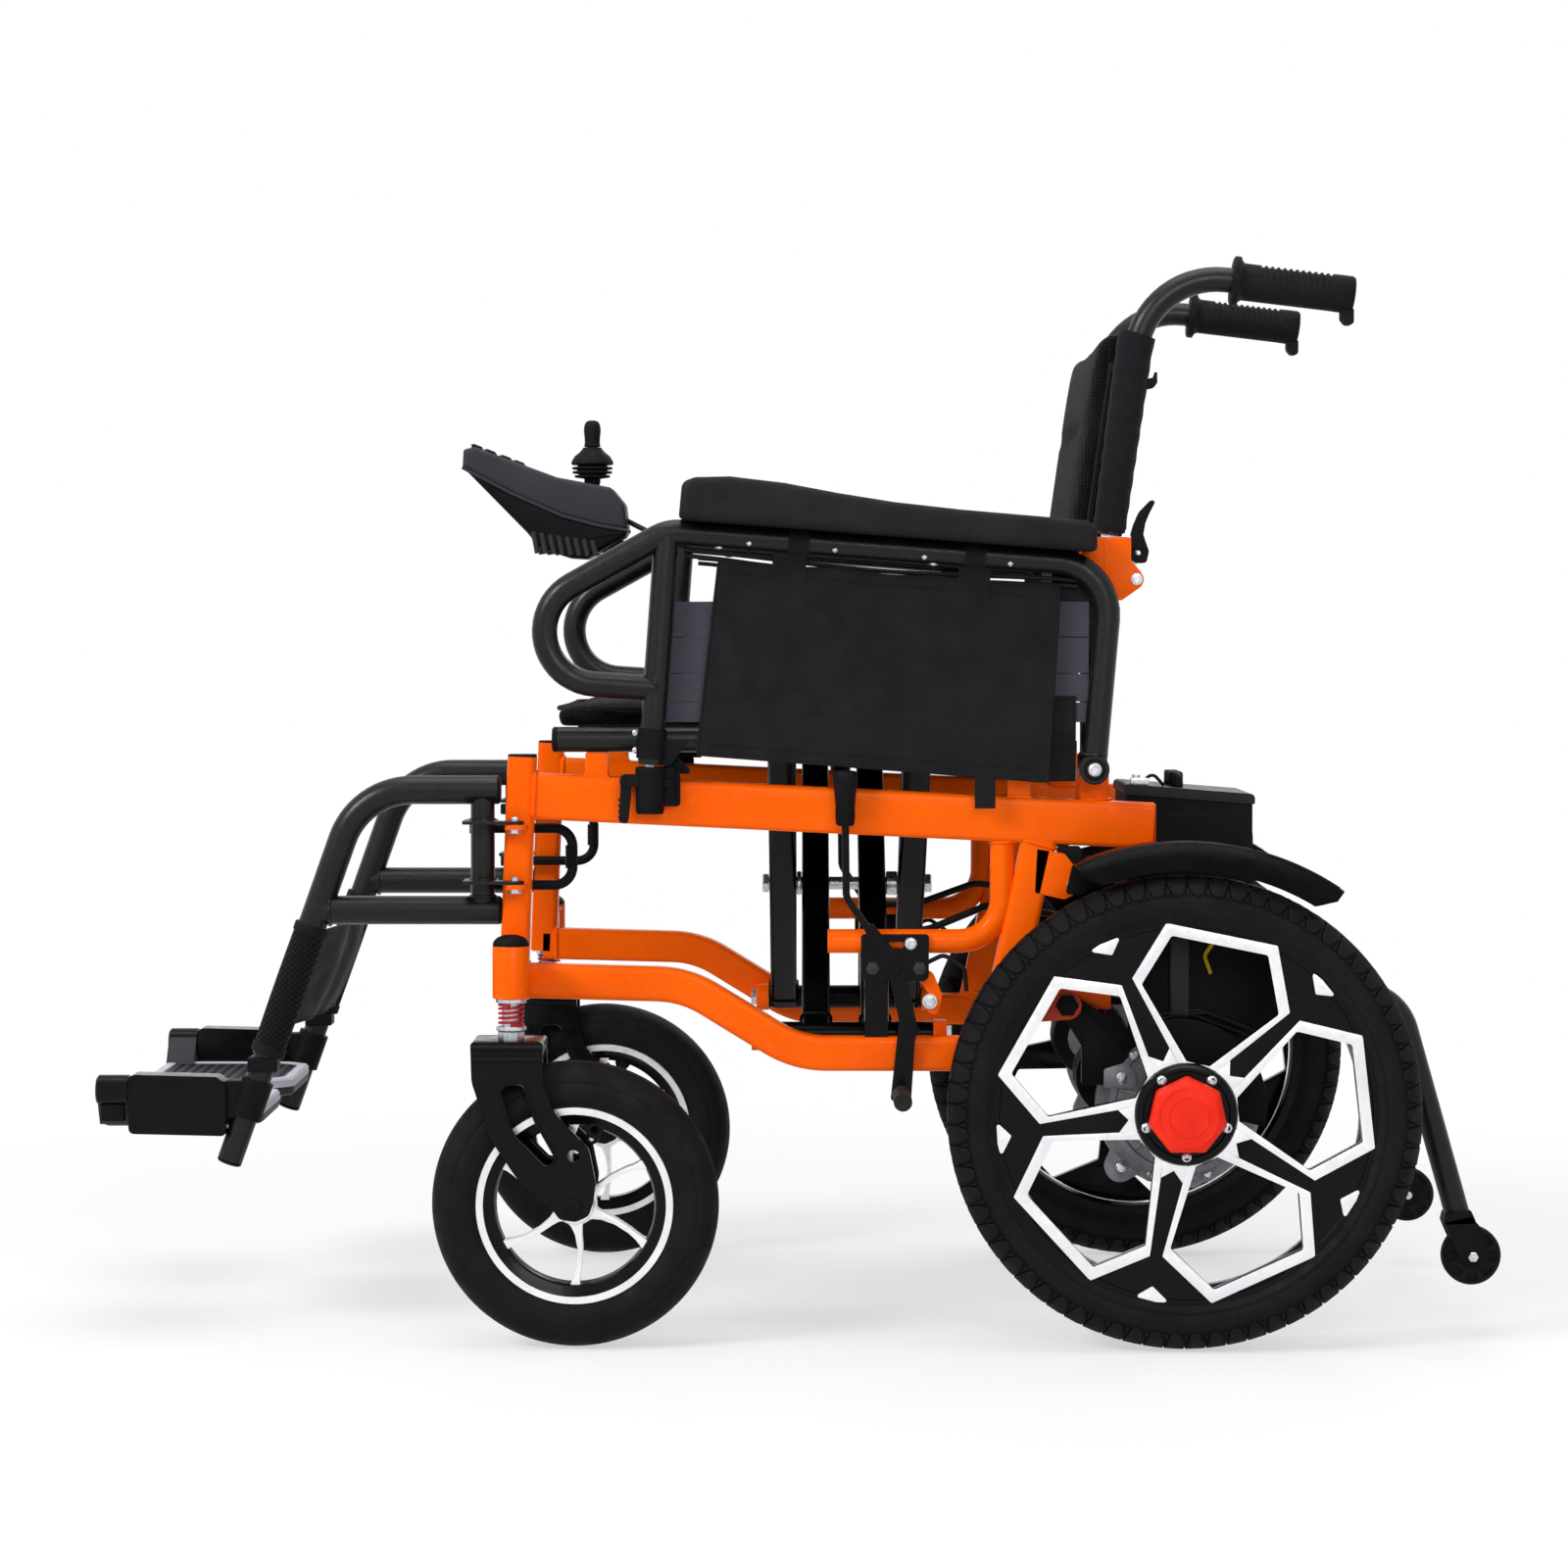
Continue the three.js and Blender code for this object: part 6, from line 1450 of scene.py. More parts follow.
def footplate():
    """Moulded footplate: grey rim, ribbed tread, hinge barrel."""
    out, inner, top, thick_z = 186, 26, 198, 17
    outline = [(out, foot_front + 1), (out, foot_rear - 20), (out - 20, foot_rear), (inner + 24, foot_rear),
               (inner, foot_rear - 24), (inner, foot_front + 24), (inner + 24, foot_front + 1)]
    radii = [3, 10, 10, 12, 12, 14, 14]

    def ring(inset, z):
        return [Vector((x, y, z)) for x, y in outline2(moved_in(outline, [inset] * 7), radii, 5)]

    board = skin([ring(3.5, top - thick_z), ring(1, top - thick_z + 1.4), ring(0, top - thick_z + 4),
                  ring(0, top - 4), ring(0.8, top - 1.4), ring(3, top - 0.6), ring(9, top - 0.6),
                  ring(10.5, top - 1.8)])
    border = skin([ring(0.4, top - 9), ring(-0.3, top - 8.4), ring(-0.3, top - 2), ring(1.6, top),
                   ring(9.2, top), ring(10.2, top - 2.4)], closed=True)
    parts = [(board, SHELL), (border, GREY)]
    for k in range(12):
        y = foot_front + 16 + 9.6 * k
        near = 10 if 1 < k < 10 else 22
        parts.append((box([inner + near, out - 13], [y, y + 4], [top - 2.4, top - 1.3], 0.5), PLASTIC))
    for k in range(5):
        x = inner + 22 + 30 * k
        parts.append((box([x, x + 3], [foot_front + 18, foot_rear - 18],
                          [top - thick_z - 0.1, top - thick_z + 3], 0.6), SHELL))
    rear = foot_front + 28.7
    barrel = [(4.6, foot_front), (11.5, foot_front), (13.5, foot_front + 2), (13.5, rear - 1), (12.8, rear),
              (4.6, rear)]
    parts.append((turned(barrel, (204, 0, foot_hinge), "y", 40, closed=True), GLOSS))
    parts.append((box([197, 211], [foot_front + 4, foot_front + 24], [foot_hinge - 27, foot_hinge - 12], 1.6),
                  PLASTIC))
    arm = [(out - 14, top - 14), (198, top - 14), (209, foot_hinge - 11), (198, foot_hinge + 11),
           (192, foot_hinge + 6), (out - 14, top - 1)]
    parts.append((plate("y", outline2(arm, 3, 3), [foot_front + 1, rear - 1], bevel=1.4), SHELL))
    parts += cap_screw((204, foot_front + 0.6, foot_hinge), (0, -1, 0), 6.4, 0.4)
    return parts


# ---------------------------------------------------------------- armrests

pad_profile = [(-434, 5), (-76, 5), (-76, 25), (-84, 31), (-193, 32), (-250, 34), (-298, 38), (-343, 43),
               (-390, 45), (-420, 42), (-431, 37)]


def pillow(outline, span, edge, radius, steps=3, segments=5):
    """An outline square to X, thick between the places of span, with rounded edges."""
    near, far = span
    rings = []
    for way, place in ((1, near), (-1, far)):
        side = []
        for k in range(segments + 1):
            a = math.pi / 2 * k / segments
            flat = outline2(moved_in(outline, [edge * (1 - math.sin(a))] * len(outline)), radius, steps)
            x = place + way * edge * (1 - math.cos(a))
            side.append([Vector((x, y, z)) for y, z in flat])
        rings += side if way > 0 else side[::-1]
    return skin(rings)


def armrest_frame():
    """Bent armrest tube with its front post, socket pin, rear eye and screws."""
    z_foot, x = 571, arm_x
    bow = [polar(45.6, 266 - 147 * k / 20, -505.4, 616.1) for k in range(21)]
    line = side_view(x, [(arm_post_y(z_foot - 4), z_foot - 4), *bow])
    line += rounded(side_view(x, [(-520, 660.2), (-444, 702.6), (-60.6, 673), (arm_pivot_y, arm_pivot_z)]),
                    [0, 40, 46, 0], 9)
    top = socket_top
    post = side_view(x, [(arm_post_y(top + 1.6), top + 1.6), (arm_post_y(702), 702)])
    parts = [(tube(line, 11, 28), COAT),
             (tube(post, 10.9, 28), COAT),
             (rod((x, arm_post_y(top), top - 18), (x, arm_post_y(top), top + 4), 4.9), ZINC),
             (rod((x - 11, arm_pivot_y, arm_pivot_z), (x + 11, arm_pivot_y, arm_pivot_z), 13, sides=40,
                  chamfer=1), COAT),
             (weld(ring_round((x, arm_post_y(z_foot), z_foot), (0, 1, 0.1), 11.3), 1.5), COAT),
             (weld(ring_round((x, -76.4, 510), (0, 0.05, 1), 11.4), 1.4), COAT)]
    foot = arm_post_y(top)
    gusset = outline2([(foot + 6, top + 23), (foot + 6, top + 1), (foot + 18, top + 1),
                       (foot + 34, top + 23)], 2, 3)
    parts.append((plate("x", gusset, [x - 4, x + 4], bevel=0.8), PLASTIC))
    collar = side_view(x, [(arm_post_y(506), 506), (arm_post_y(532), 532)])
    parts.append((tube(collar, 12.6, 32), PLASTIC))
    for y in (-400, -215):
        z = arm_top(y) - 11
        parts += cap_screw((x, y, z + 1), (0, 0, -1), 4.2, 2.2)
    for y in (-331, -179):
        clip = side_view(x, [(y - 9, arm_top(y - 9)), (y + 9, arm_top(y + 9))])
        parts.append((tube(clip, 11.8, 28), NYLON))
    return parts


def arm_pad_parts():
    """Arm pad, thicker at its front."""
    outline = [(y, arm_top(y) + h + 5.2) for y, h in pad_profile]
    return [(pillow(outline, [arm_x - 11, arm_x - 11 + 54], 7, [4, 4, 7, 8, 0, 0, 0, 0, 9, 12, 8], 4, 5),
             PAD)]


def arm_latch():
    """Ribbed release tab in the armrest's socket."""
    y, z = arm_post_y(socket_top) - 21, socket_top - 12
    outline = outline2([(y - 4.5, z - 8), (y - 4.5, z + 3), (y, z + 5), (y + 4.5, z + 3), (y + 4.5, z - 14),
                        (y + 2, z - 38), (y - 6, z - 36)], [3, 2, 2, 2, 6, 3, 3], 4)
    hole = bore(2.6, y, z)
    parts = [(plate("x", outline, [arm_x - 5, arm_x + 5], [hole], bevel=1), PLASTIC)]
    for k in range(4):
        parts.append((box([arm_x - 4, arm_x + 4], [y - 6.4, y - 4.6], [z - 33 + 5 * k, z - 31 + 5 * k], 0.5),
                      PLASTIC))
    return parts


# ---------------------------------------------------------------- back

def back_y(z):
    """Middle of the leaning back tube."""
    return -60.4 + 0.139 * (z - 700)


def grip_z(y):
    """Height of the push handle's middle line."""
    return 920.6 - 0.121 * (y - 44.5)


def back_line():
    """Middle line of the back tube, up its lean and round into the push handle."""
    foot, turn_y, turn_z = 700, -28.5, 929.4
    return rounded(side_view(back_x, [(back_y(foot), foot), (turn_y, turn_z), (142, grip_z(142))]),
                   [0, 70, 0], 14)


def back_tube():
    """Back tube and the tongue that it folds on."""
    foot = 700
    tongue = outline2([(-44, 657.5), (-38, 654.5), (-32, 658.5), (-32, 665.5), (-38, 673.5),
                       (lever_y + 4, lever_z - 3), (lever_y + 4, lever_z + 4), (lever_y - 2, lever_z + 7),
                       (back_y(foot) + 8, foot + 14), (back_y(foot) - 8, foot + 14),
                       (back_y(foot) - 8, foot - 14)], 1.5, 3)
    hole = bore(4.2, fold_y, fold_z)
    return [(tube(back_line(), 11, 30), COAT),
            (plate("x", tongue, [back_x - 3.9, back_x + 3.9], [hole], bevel=0.4), ZINC),
            (rod((back_x - 8, lever_y, lever_z), (back_x + 8, lever_y, lever_z), 1.9, chamfer=0.3), ZINC)]


def back_sleeve():
    """Cloth sleeve of the back upholstery round the upper tube, pulled forward by the pad."""
    line = [p for p in along_line(back_line(), 260) if 701.5 < p.z < 874 and p.y < 0]

    def section(share):
        gather = 0.25 * math.sin(55 * share)
        for end in (0.02, 0.98):
            gather += 0.5 * math.exp(-abs(share - end) * 40)
        front, rear = 15.6 + 2.2 * share + gather, 12.9 + 1.4 * share + gather
        return [(a * (12.3 + gather), b * (rear if b > 0 else front)) for a, b in circle(1, 36)]

    hook = outline2([(-30, 826), (-23, 827.5), (-19.8, 832), (-20, 841), (-21.8, 841.5), (-23.4, 836.5),
                     (-30, 835)], [1, 3, 3, 1, 1, 2, 1], 3)
    tail = plate("x", hook, [back_x - 4, back_x + 4], bevel=1)
    return [(sweep(line, section), CLOTH), (tail, PLASTIC)]


def handgrip():
    """Flared rubber grip with grooves across its top and a lip under its end."""
    start = Vector((back_x, 44.5, grip_z(44.5)))
    end = Vector((back_x, 151, grip_z(151)))
    along = (end - start).normalized()
    side, up = Vector((1, 0, 0)), along.cross(Vector((1, 0, 0)))
    stations = [(0, 19.5), (1.2, 21.5), (6, 21.5), (7.6, 18), (10, 16.2)]
    grooves = []
    for k in range(12):
        t = 24 + 5.4 * k
        stations += [(t, 16.2), (t + 0.8, 16.2), (t + 3, 16.2), (t + 3.8, 16.2)]
        grooves += [t + 0.8, t + 3]
    length = (end - start).length
    stations += [(length - 14, 16.4), (length - 3, 16.4), (length - 0.6, 14.9), (length, 11),
                 (length + 0.01, 0)]
    rings = []
    for t, r in stations:
        depth = 1.5 if t in grooves else 0
        rings.append([start + along * t + (side * a + up * b) * (1 - depth * max(0, -b / r) / r if r else 1)
                      for a, b in circle(r, 40)])
    rings = [[start + side * a + up * b for a, b in circle(11.4, 40)]] + rings
    parts = [(skin(rings), RUBBER)]
    top = grip_z(151) - 12
    hook = outline2([(139, top), (139, top - 9), (143, top - 14), (150, top - 14), (150, top)],
                    [1, 5, 4, 4, 1], 4)
    parts.append((plate("x", hook, [back_x - 8, back_x + 8], bevel=2, segments=3), RUBBER))
    return parts


def back_lever():
    """Curved release lever, forked at its foot round the tongue of the back tube."""
    cut = 695.8
    fork = outline2([(-42.2, cut), (-42.2, 678), (-38, 675.5), (-29.1, 675.5), (-26.8, 685.6), (-30.4, cut)],
                    [0.3, 3, 3, 3, 5, 0.3], 4)
    blade = outline2([(-42.2, cut), (-30.4, cut), (-31.8, 700.3), (-30.1, 710.1), (-26.8, 718.2),
                      (-21.5, 728.6), (-24.6, 730.6), (-35, 719.8), (-39.9, 708.5), (-42.2, 700)],
                     [0.3, 0.3, 4, 12, 12, 2, 2, 14, 14, 6], 5)
    hole = bore(2.6, lever_y, lever_z)
    parts = [(plate("x", blade, [back_x - 8, back_x + 8], bevel=1.8, segments=3), PLASTIC)]
    for near, far in ((-8, -4.4), (4.4, 8)):
        parts.append((plate("x", fork, [back_x + near, back_x + far], [hole], bevel=0.5), PLASTIC))
    return parts


# ---------------------------------------------------------------- brake, anti-tip bars, mudguards

def brake_lever():
    """Brake arm with its stalk, grip and ribbed shoe."""
    inner = half + 14.8
    y, z = brake_y, brake_z
    arm = outline2([(y - 28, z + 33), (y - 21, z + 39), (y + 6, z + 6), (y + 18, z - 47), (y + 13.5, z - 117),
                    (y - 4.5, z - 117), (y + 3, z - 47), (y - 7, z - 4)], [3, 3, 10, 16, 3, 3, 16, 8], 5)
    hole = bore(4.4, y, z)
    x = inner + 8
    stalk = rounded(side_view(x, [(y - 24, z + 33), (y - 43, z + 61), (y - 44, z + 135)]), 14, 8)
    parts = [(plate("x", arm, [inner, inner + 5], [hole], bevel=0.9), GLOSS), (tube(stalk, 3.2, 20), GLOSS)]
    grip_x, grip_y = x + 2, y - 44
    profile = [(0, z + 123), (6.6, z + 123), (8, z + 124.6), (8.6, z + 130), (8.4, z + 140), (9.4, z + 152),
               (10.6, z + 163), (10.9, z + 167), (9.6, z + 170.2), (5, z + 171), (0, z + 171)]
    parts.append((turned(profile, (grip_x, grip_y, 0), "z", 36), PLASTIC))
    shoe = [(0, inner + 1), (7, inner + 1), (8, inner + 2)]
    for k in range(9):
        at = inner + 14 + 5.4 * k
        shoe += [(8, at - 1.8), (7.1, at - 1.2), (7.1, at + 0.2), (8, at + 0.8)]
    shoe += [(8, 284), (7, 285), (0, 285)]
    parts.append((turned(shoe, (0, y + 5, 214), sides=36), SHOE))
    parts.append((hexagon((inner + 5, y + 14.6, z - 54.5), (1, 0, 0), 6.4, 4), PLASTIC))
    parts.append((hexagon((inner + 5, y, z), (1, 0, 0), 6.4, 3), PLASTIC))
    return parts


def anti_tip_bar():
    """Bar that slides into the frame's receiver, with the forked plate of its small wheel."""
    x, z = tip_x, tip_z
    _, hub_y, hub_z = tip_wheel
    end_y, end_z = 247, 105
    corner = hub_y - 12 - 0.284 * (z - end_z)
    line = rounded(side_view(x, [(-82, z), (corner, z), (end_y, end_z)]), 45, 14)
    cap = outline2([(233, 97), (235.5, 107), (257, 110), (262.5, 98)], 2, 3)
    parts = [(tube(line, 11, 28), COAT), (plate("x", cap, [x - 13, x + 13], bevel=1.5), PLASTIC)]
    cheek = outline2([(233.5, 99), (257, 104), (264, 97), (273, 76), (268, 63), (256, 60), (247, 68)],
                     [2, 2, 5, 9, 9, 9, 9], 5)
    for near, far in ((-13, -9), (9, 13)):
        parts.append((plate("x", cheek, [x + near, x + far], bevel=0.8), PLASTIC))
    parts.append((rod((x - 13.4, hub_y, hub_z), (x + 13.4, hub_y, hub_z), 3.9, chamfer=0.5), ZINC))
    parts.append((hexagon((x + 13, hub_y, hub_z), (1, 0, 0), 4.6, 3), ZINC))
    return parts


def anti_tip_wheel():
    """Small solid wheel with a ring of pockets in each face."""
    profile = [(4.6, -8), (9, -8), (10, -6), (23, -6), (23.2, -8), (25.2, -6.4), (26, -3.6), (26, 3.6),
               (25.2, 6.4), (23.2, 8), (23, 6), (10, 6), (9, 8), (4.6, 8)]
    x, y, z = tip_wheel
    parts = [(turned(profile, tip_wheel, sides=56, closed=True), RUBBER)]
    web = [polar(23.1, 9 * k, y, z) for k in range(40)]
    centre_hole = bore(9.4, y, z)
    pockets = [[(y + r * math.cos(a), z + r * math.sin(a)) for r, a in
                [(21.4, t - 0.24), (21.8, t), (21.4, t + 0.24), (15.4, t + 0.22), (15, t), (15.4, t - 0.22)]]
               for t in (2 * math.pi * n / 8 for n in range(8))]
    for side in (-1, 1):
        span = sorted([x + side * 5.8, x + side * 8.2])
        parts.append((plate("x", web, span, [*pockets, centre_hole], bevel=0.3), RUBBER))
    return parts


def mudguard():
    """Curved guard over the wheel with a rolled edge."""
    inner = track - 25
    arc = [-24 + 59 * i / 48 for i in range(49)]

    def at(radius, degrees, x):
        turn = math.radians(degrees)
        return Vector((x, radius * math.sin(turn), axle_z + radius * math.cos(turn)))

    def section(degrees):
        """The guard's section: crown, then a flange down the outer side that is cut back at both ends."""
        cut = 14 * max(0, (degrees - 31.5) / 3.5, (-20 - degrees) / 4)
        lip = 208.5 + cut
        return [(0, 231), (1, 232.6), (46, 233.6), (49, 232.6), (50, 230), (50, lip), (47.4, lip),
                (47.4, 228.6), (46.2, 230), (1, 230), (0, 230.6)]

    rings = [[at(r, a, inner + t) for t, r in section(a)] for a in arc]
    # The guard takes the darker enamel, which is painted shade, with weaker reflection.
    parts = [(skin(rings), SHADED_GLOSS)]
    y, z = guard_bolt()
    tab = outline2([(y - 9, z - 8), (y + 8, z - 8), (y + 14, z + 18), (y - 3, z + 18)], 3, 3)
    parts.append((plate("x", tab, [inner, inner + 3], bevel=0.8), PLASTIC))
    bead = [at(232.4, a, inner + 48) for a in arc[1:-1]]
    parts.append((tube(bead, 1.5, 10), GLOSS))
    return parts


# ---------------------------------------------------------------- motor

def motor():
    """Gear housing, motor can, drive shaft, mounting arm and lead."""
    inner, outer_face = half - 19, half + 17
    boss = track - 20.6
    housing = [(0, inner), (60, inner), (64, inner + 1.5), (70, inner + 6), (72, inner + 9),
               (72, outer_face - 10), (70.5, outer_face - 7), (64, outer_face - 2), (61, outer_face),
               (56, outer_face), (54.5, outer_face - 1.6), (34, outer_face - 1.6), (32, outer_face),
               (29.5, outer_face + 0.6), (26, boss - 2), (25, boss), (8.5, boss), (8.5, track + 21.6),
               (0, track + 21.6)]
    parts = [(turned(housing, (0, 0, axle_z), sides=72), CAST)]
    for k in range(8):
        y, z = polar(66, 22.5 + 45 * k, 0, axle_z)
        lug = [(0, inner + 1), (5.4, inner + 1), (5.8, inner + 2), (5.8, outer_face - 3), (0, outer_face - 3)]
        parts.append((turned(lug, (0, y, z), sides=20), CAST))
        parts += cap_screw((outer_face - 3.2, y, z), (1, 0, 0), 3.8, 3)
    for k in range(12):
        a = 30 * k + 15
        (y0, z0), (y1, z1) = polar(33, a, 0, axle_z), polar(54, a, 0, axle_z)
        parts.append((tube([(outer_face - 1.8, y0, z0), (outer_face - 1.8, y1, z1)], 1.5, 10), CAST))
    can_y, can_z = -0.72 * 72, axle_z + 21.6
    near = inner - 49
    can = [(0, near), (31, near), (34.6, near + 1.6), (36, near + 4)]
    for k in range(5):
        at = near + 12 + 6 * k
        can += [(36, at), (34.4, at + 0.8), (34.4, at + 2.2), (36, at + 3)]
    can += [(36, inner + 3), (0, inner + 3)]
    parts.append((turned(can, (0, can_y, can_z), sides=56), PLASTIC))
    parts.append((turned([(0, near - 0.01), (22, near), (22, near + 0.6), (0, near + 0.6)], (0, can_y, can_z),
                         sides=40), CAST))
    return parts + motor_arm() + motor_lead(near, can_y, can_z)


def motor_arm():
    """Plate that hangs the motor on the rear post, with lugs and brackets."""
    y, z = motor_bolt_y, motor_bolt_z
    outline = outline2([(y - 12, z - 6), (y - 2, z - 12), (-57.6, axle_z + 7.2), (-28.8, axle_z + 57.6),
                        (y + 14, z + 4), (y + 4, z + 12), (y - 8, z + 10)], [6, 6, 10, 10, 10, 6, 6], 5)
    parts = [(plate("x", outline, [half + 9, half + 15], bevel=1.2), PLASTIC)]
    rib = outline2([(y - 4, z - 3), (-54, axle_z + 16), (-40, axle_z + 40), (y + 8, z + 3)], 5, 3)
    parts.append((plate("x", rib, [half + 14.6, half + 16.6], bevel=0.8), PLASTIC))
    parts.append((rod((half - 6, y, z), (half + 11, y, z), 5.9, chamfer=0.6), ZINC))
    for py, pz in ((-50, axle_z + 22), (-40, axle_z + 44)):
        parts += cap_screw((half + 16.4, py, pz), (1, 0, 0), 4.4, 3.4)
    for py, pz in ((-51, axle_z - 55), (11, axle_z - 60)):
        reach = math.hypot(py, pz - axle_z)
        way = math.degrees(math.atan2(pz - axle_z, py))
        lobe = [polar(46, way + 34, 0, axle_z), *[polar(13, way + a, py, pz) for a in range(80, -81, -20)],
                polar(46, way - 34, 0, axle_z)]
        parts.append((plate("x", lobe[::-1], [half - 5, half + 13 - 0.03 * reach], bevel=1.4), CAST))
        parts += cap_screw((half + 12, py, pz), (1, 0, 0), 5.6, 4)
    parts.append((box([half, half + 17], [-85, -65], [222, 271], 2.5, 3), PLASTIC))
    bracket = outline2([(-66, 219), (-38, 219), (-38, 232), (-46, 242), (-66, 236)], 3, 3)
    parts.append((plate("x", bracket, [half + 15, half + 18], bevel=0.8), CAST))
    parts += cap_screw((half + 18, -51, 229), (1, 0, 0), 5, 3)
    return parts + motor_cover()


def motor_cover():
    """Dark splash plate above the motor, a column beside it and the leads that pass behind the wheel."""
    shield = [polar(76, a, 0, axle_z) for a in range(-14, 119, 7)]
    shield += [polar(35, a, 0, axle_z) for a in range(118, -15, -12)]
    parts = [(box([half - 2, half + 1], [-44, 96], [256, 352], 1.4), PLASTIC),
             (plate("x", shield, [half + 17.8, half + 19.4], bevel=0.6), PLASTIC),
             (box([half + 1, half + 7], [-8, 9], [270, 350], 2), COAT)]
    leads = [(0, 6, CABLE), (5, 2, CABLE), (12, 4, CABLE)]
    for shift, drop, finish in leads:
        line = rounded([Vector((half + 4, -34 + shift, 258)), Vector((half + 5, -26 + shift, 284 - drop)),
                        Vector((half + 4, 12 + shift, 288 - drop)),
                        Vector((half + 3, 60 + shift, 270 - drop))], 14, 6)
        parts.append((tube(line, 1.7, 10), finish))
    wire = rounded([Vector((half + 2, 28, 318)), Vector((half + 5, 22, 334)), Vector((half + 5, 30, 345)),
                    Vector((half + 2, 36, 349))], 6, 6)
    parts.append((tube(wire, 1.7, 10), YELLOW))
    return parts


def motor_lead(near, can_y, can_z):
    """The motor's lead, and a cable that hangs between the brake tube and the motor."""
    line = rounded([Vector((near + 20, can_y - 10, can_z + 28)), Vector((near + 20, can_y - 16, 318)),
                    Vector((near + 30, -138, 350)), Vector((half - 12.8, -138, 350))], 12, 8)
    loop = rounded([Vector((half - 10, -250, 350)), Vector((165, -215, 354)), Vector((150, -163, 374)),
                    Vector((158, -104, 366)), Vector((164, -74, 330)), Vector((164, -60, 262))], 22, 8)
    return [(tube(line, 3.5, 16), CABLE), (tube(loop, 3.2, 14), CABLE),
            (rod((near + 20, can_y - 10, can_z + 27), (near + 20, can_y - 11, can_z + 40), 6, 4.4), RUBBER),
            (rod((half - 16, -138, 350), (half - 12.8, -138, 350), 5.4), RUBBER)]


# ---------------------------------------------------------------- battery, tray, controller

battery = extent("battery_box")


def battery_box():
    """Two-tone battery case: black body, lid with a grey band, folding handle."""
    near, far = battery[0].x, battery[1].x
    front, rear, foot, top, fall = -43, 68, 293, 482, 9
    body = outline2([(front, foot), (rear, foot), (rear, top - fall - 7), (front, top - 7)], [5, 5, 1, 1], 4)
    parts = [(plate("x", body, [near + 2, far - 2], bevel=3, segments=3), PLASTIC)]
    lid = outline2([(front - 2, top - 9), (rear + 2, top - fall - 9), (rear + 2, top - fall),
                    (front - 2, top)], [1.5, 1.5, 4, 4], 4)
    parts.append((plate("x", lid, [near, far], bevel=3, segments=3), LID))
    for k in range(3):
        z = foot + 34 + 46 * k
        panel = [(front + 14, z), (rear - 14, z), (rear - 14, z + 38), (front + 14, z + 38)]
        parts.append((plate("x", outline2(panel, 4, 3), [far - 2.2, far - 0.9], bevel=0.6), PLASTIC))
    across = (near + far) / 2
    for k in range(7):
        x = near + 16 + 16.4 * k
        parts.append((box([x, x + 6], [front - 0.8, front + 2], [foot + 16, top - 34], 0.9), PLASTIC))
    line = rounded([(across - 40, 4, top - 8), (across - 40, 4, top + 4), (across + 40, 4, top + 4),
                    (across + 40, 4, top - 8)], 9, 8)
    parts.append((tube(line, 5, 20), PLASTIC))
    parts.append((box([across - 30, across + 30], [-2, 10], [top - 1, top + 9.4], 3, 3), RUBBER))
    parts.append((box([far - 16, far - 6], [front + 4, front + 20], [top - 1, top + 5], 1.2), ZINC))
    parts.append((hexagon((far - 11, front + 9, top + 5), (0, 0, 1), 3.6, 3), ZINC))
    wire = rounded([Vector((far - 11, front + 16, top + 3)), Vector((far - 11, front + 24, top + 9)),
                    Vector((far - 14, front + 34, top - 2))], 6, 6)
    parts.append((tube(wire, 1.5, 10), CABLE))
    socket = (far - 22, rear + 1, top - 50)
    parts.append((rod((socket[0], rear - 1, socket[2]), (socket[0], rear + 1.8, socket[2]), 9, sides=32),
                  PLASTIC))
    return parts


def battery_tray():
    """Steel tray under the battery, hung on the left anti-tip bar."""
    wall = 3
    front, rear, foot = -45, 70, 293
    near, out = battery[0].x - 2, tip_x - 11 - 0.3
    top = 300
    far = battery[1].x
    parts = [
        (box([near, out], [front - wall, rear + wall], [foot - 3.3, foot - 0.3], 0.9), COAT),
        (box([far + 1, out], [front - wall, rear + wall], [foot - wall, top + 24], 1), COAT),
        (box([near, out], [front - wall, front], [foot - wall, top + 30], 0.9), COAT),
        (box([near, out], [rear, rear + wall], [foot - wall, top + 8], 0.9), COAT),
        (box([far + 1, tip_x - 12], [motor_bolt_y + 30, front], [top + 13, top + 24], 1.2), COAT),
        (box([far + 1, tip_x], [motor_bolt_y + 16, motor_bolt_y + 36], [top + 13, top + 24], 1.2), COAT),
    ]
    parts.append((hexagon((tip_x - 6, motor_bolt_y + 26, top + 24), (0, 0, 1), 5, 3.6), ZINC))
    for x in (near + 14, out - 16):
        parts.append((hexagon((x, front - wall, foot + 12), (0, -1, 0), 4.6, 3), ZINC))
    return parts


stick_x, stick_y, stick_z = -245, -534, 762
key_slope = 31 / 81
key_tilt = Vector((0, math.sin(math.atan(key_slope)), math.cos(math.atan(key_slope))))


def key_z(y):
    """Height of the controller's top face."""
    return stick_z + 38 - key_slope * (y - stick_y + 126)


def key_point(y, lift):
    """A point over the controller's top face."""
    tilt = math.atan(key_slope)
    return Vector((stick_x, y + lift * math.sin(tilt), key_z(y) + lift * math.cos(tilt)))


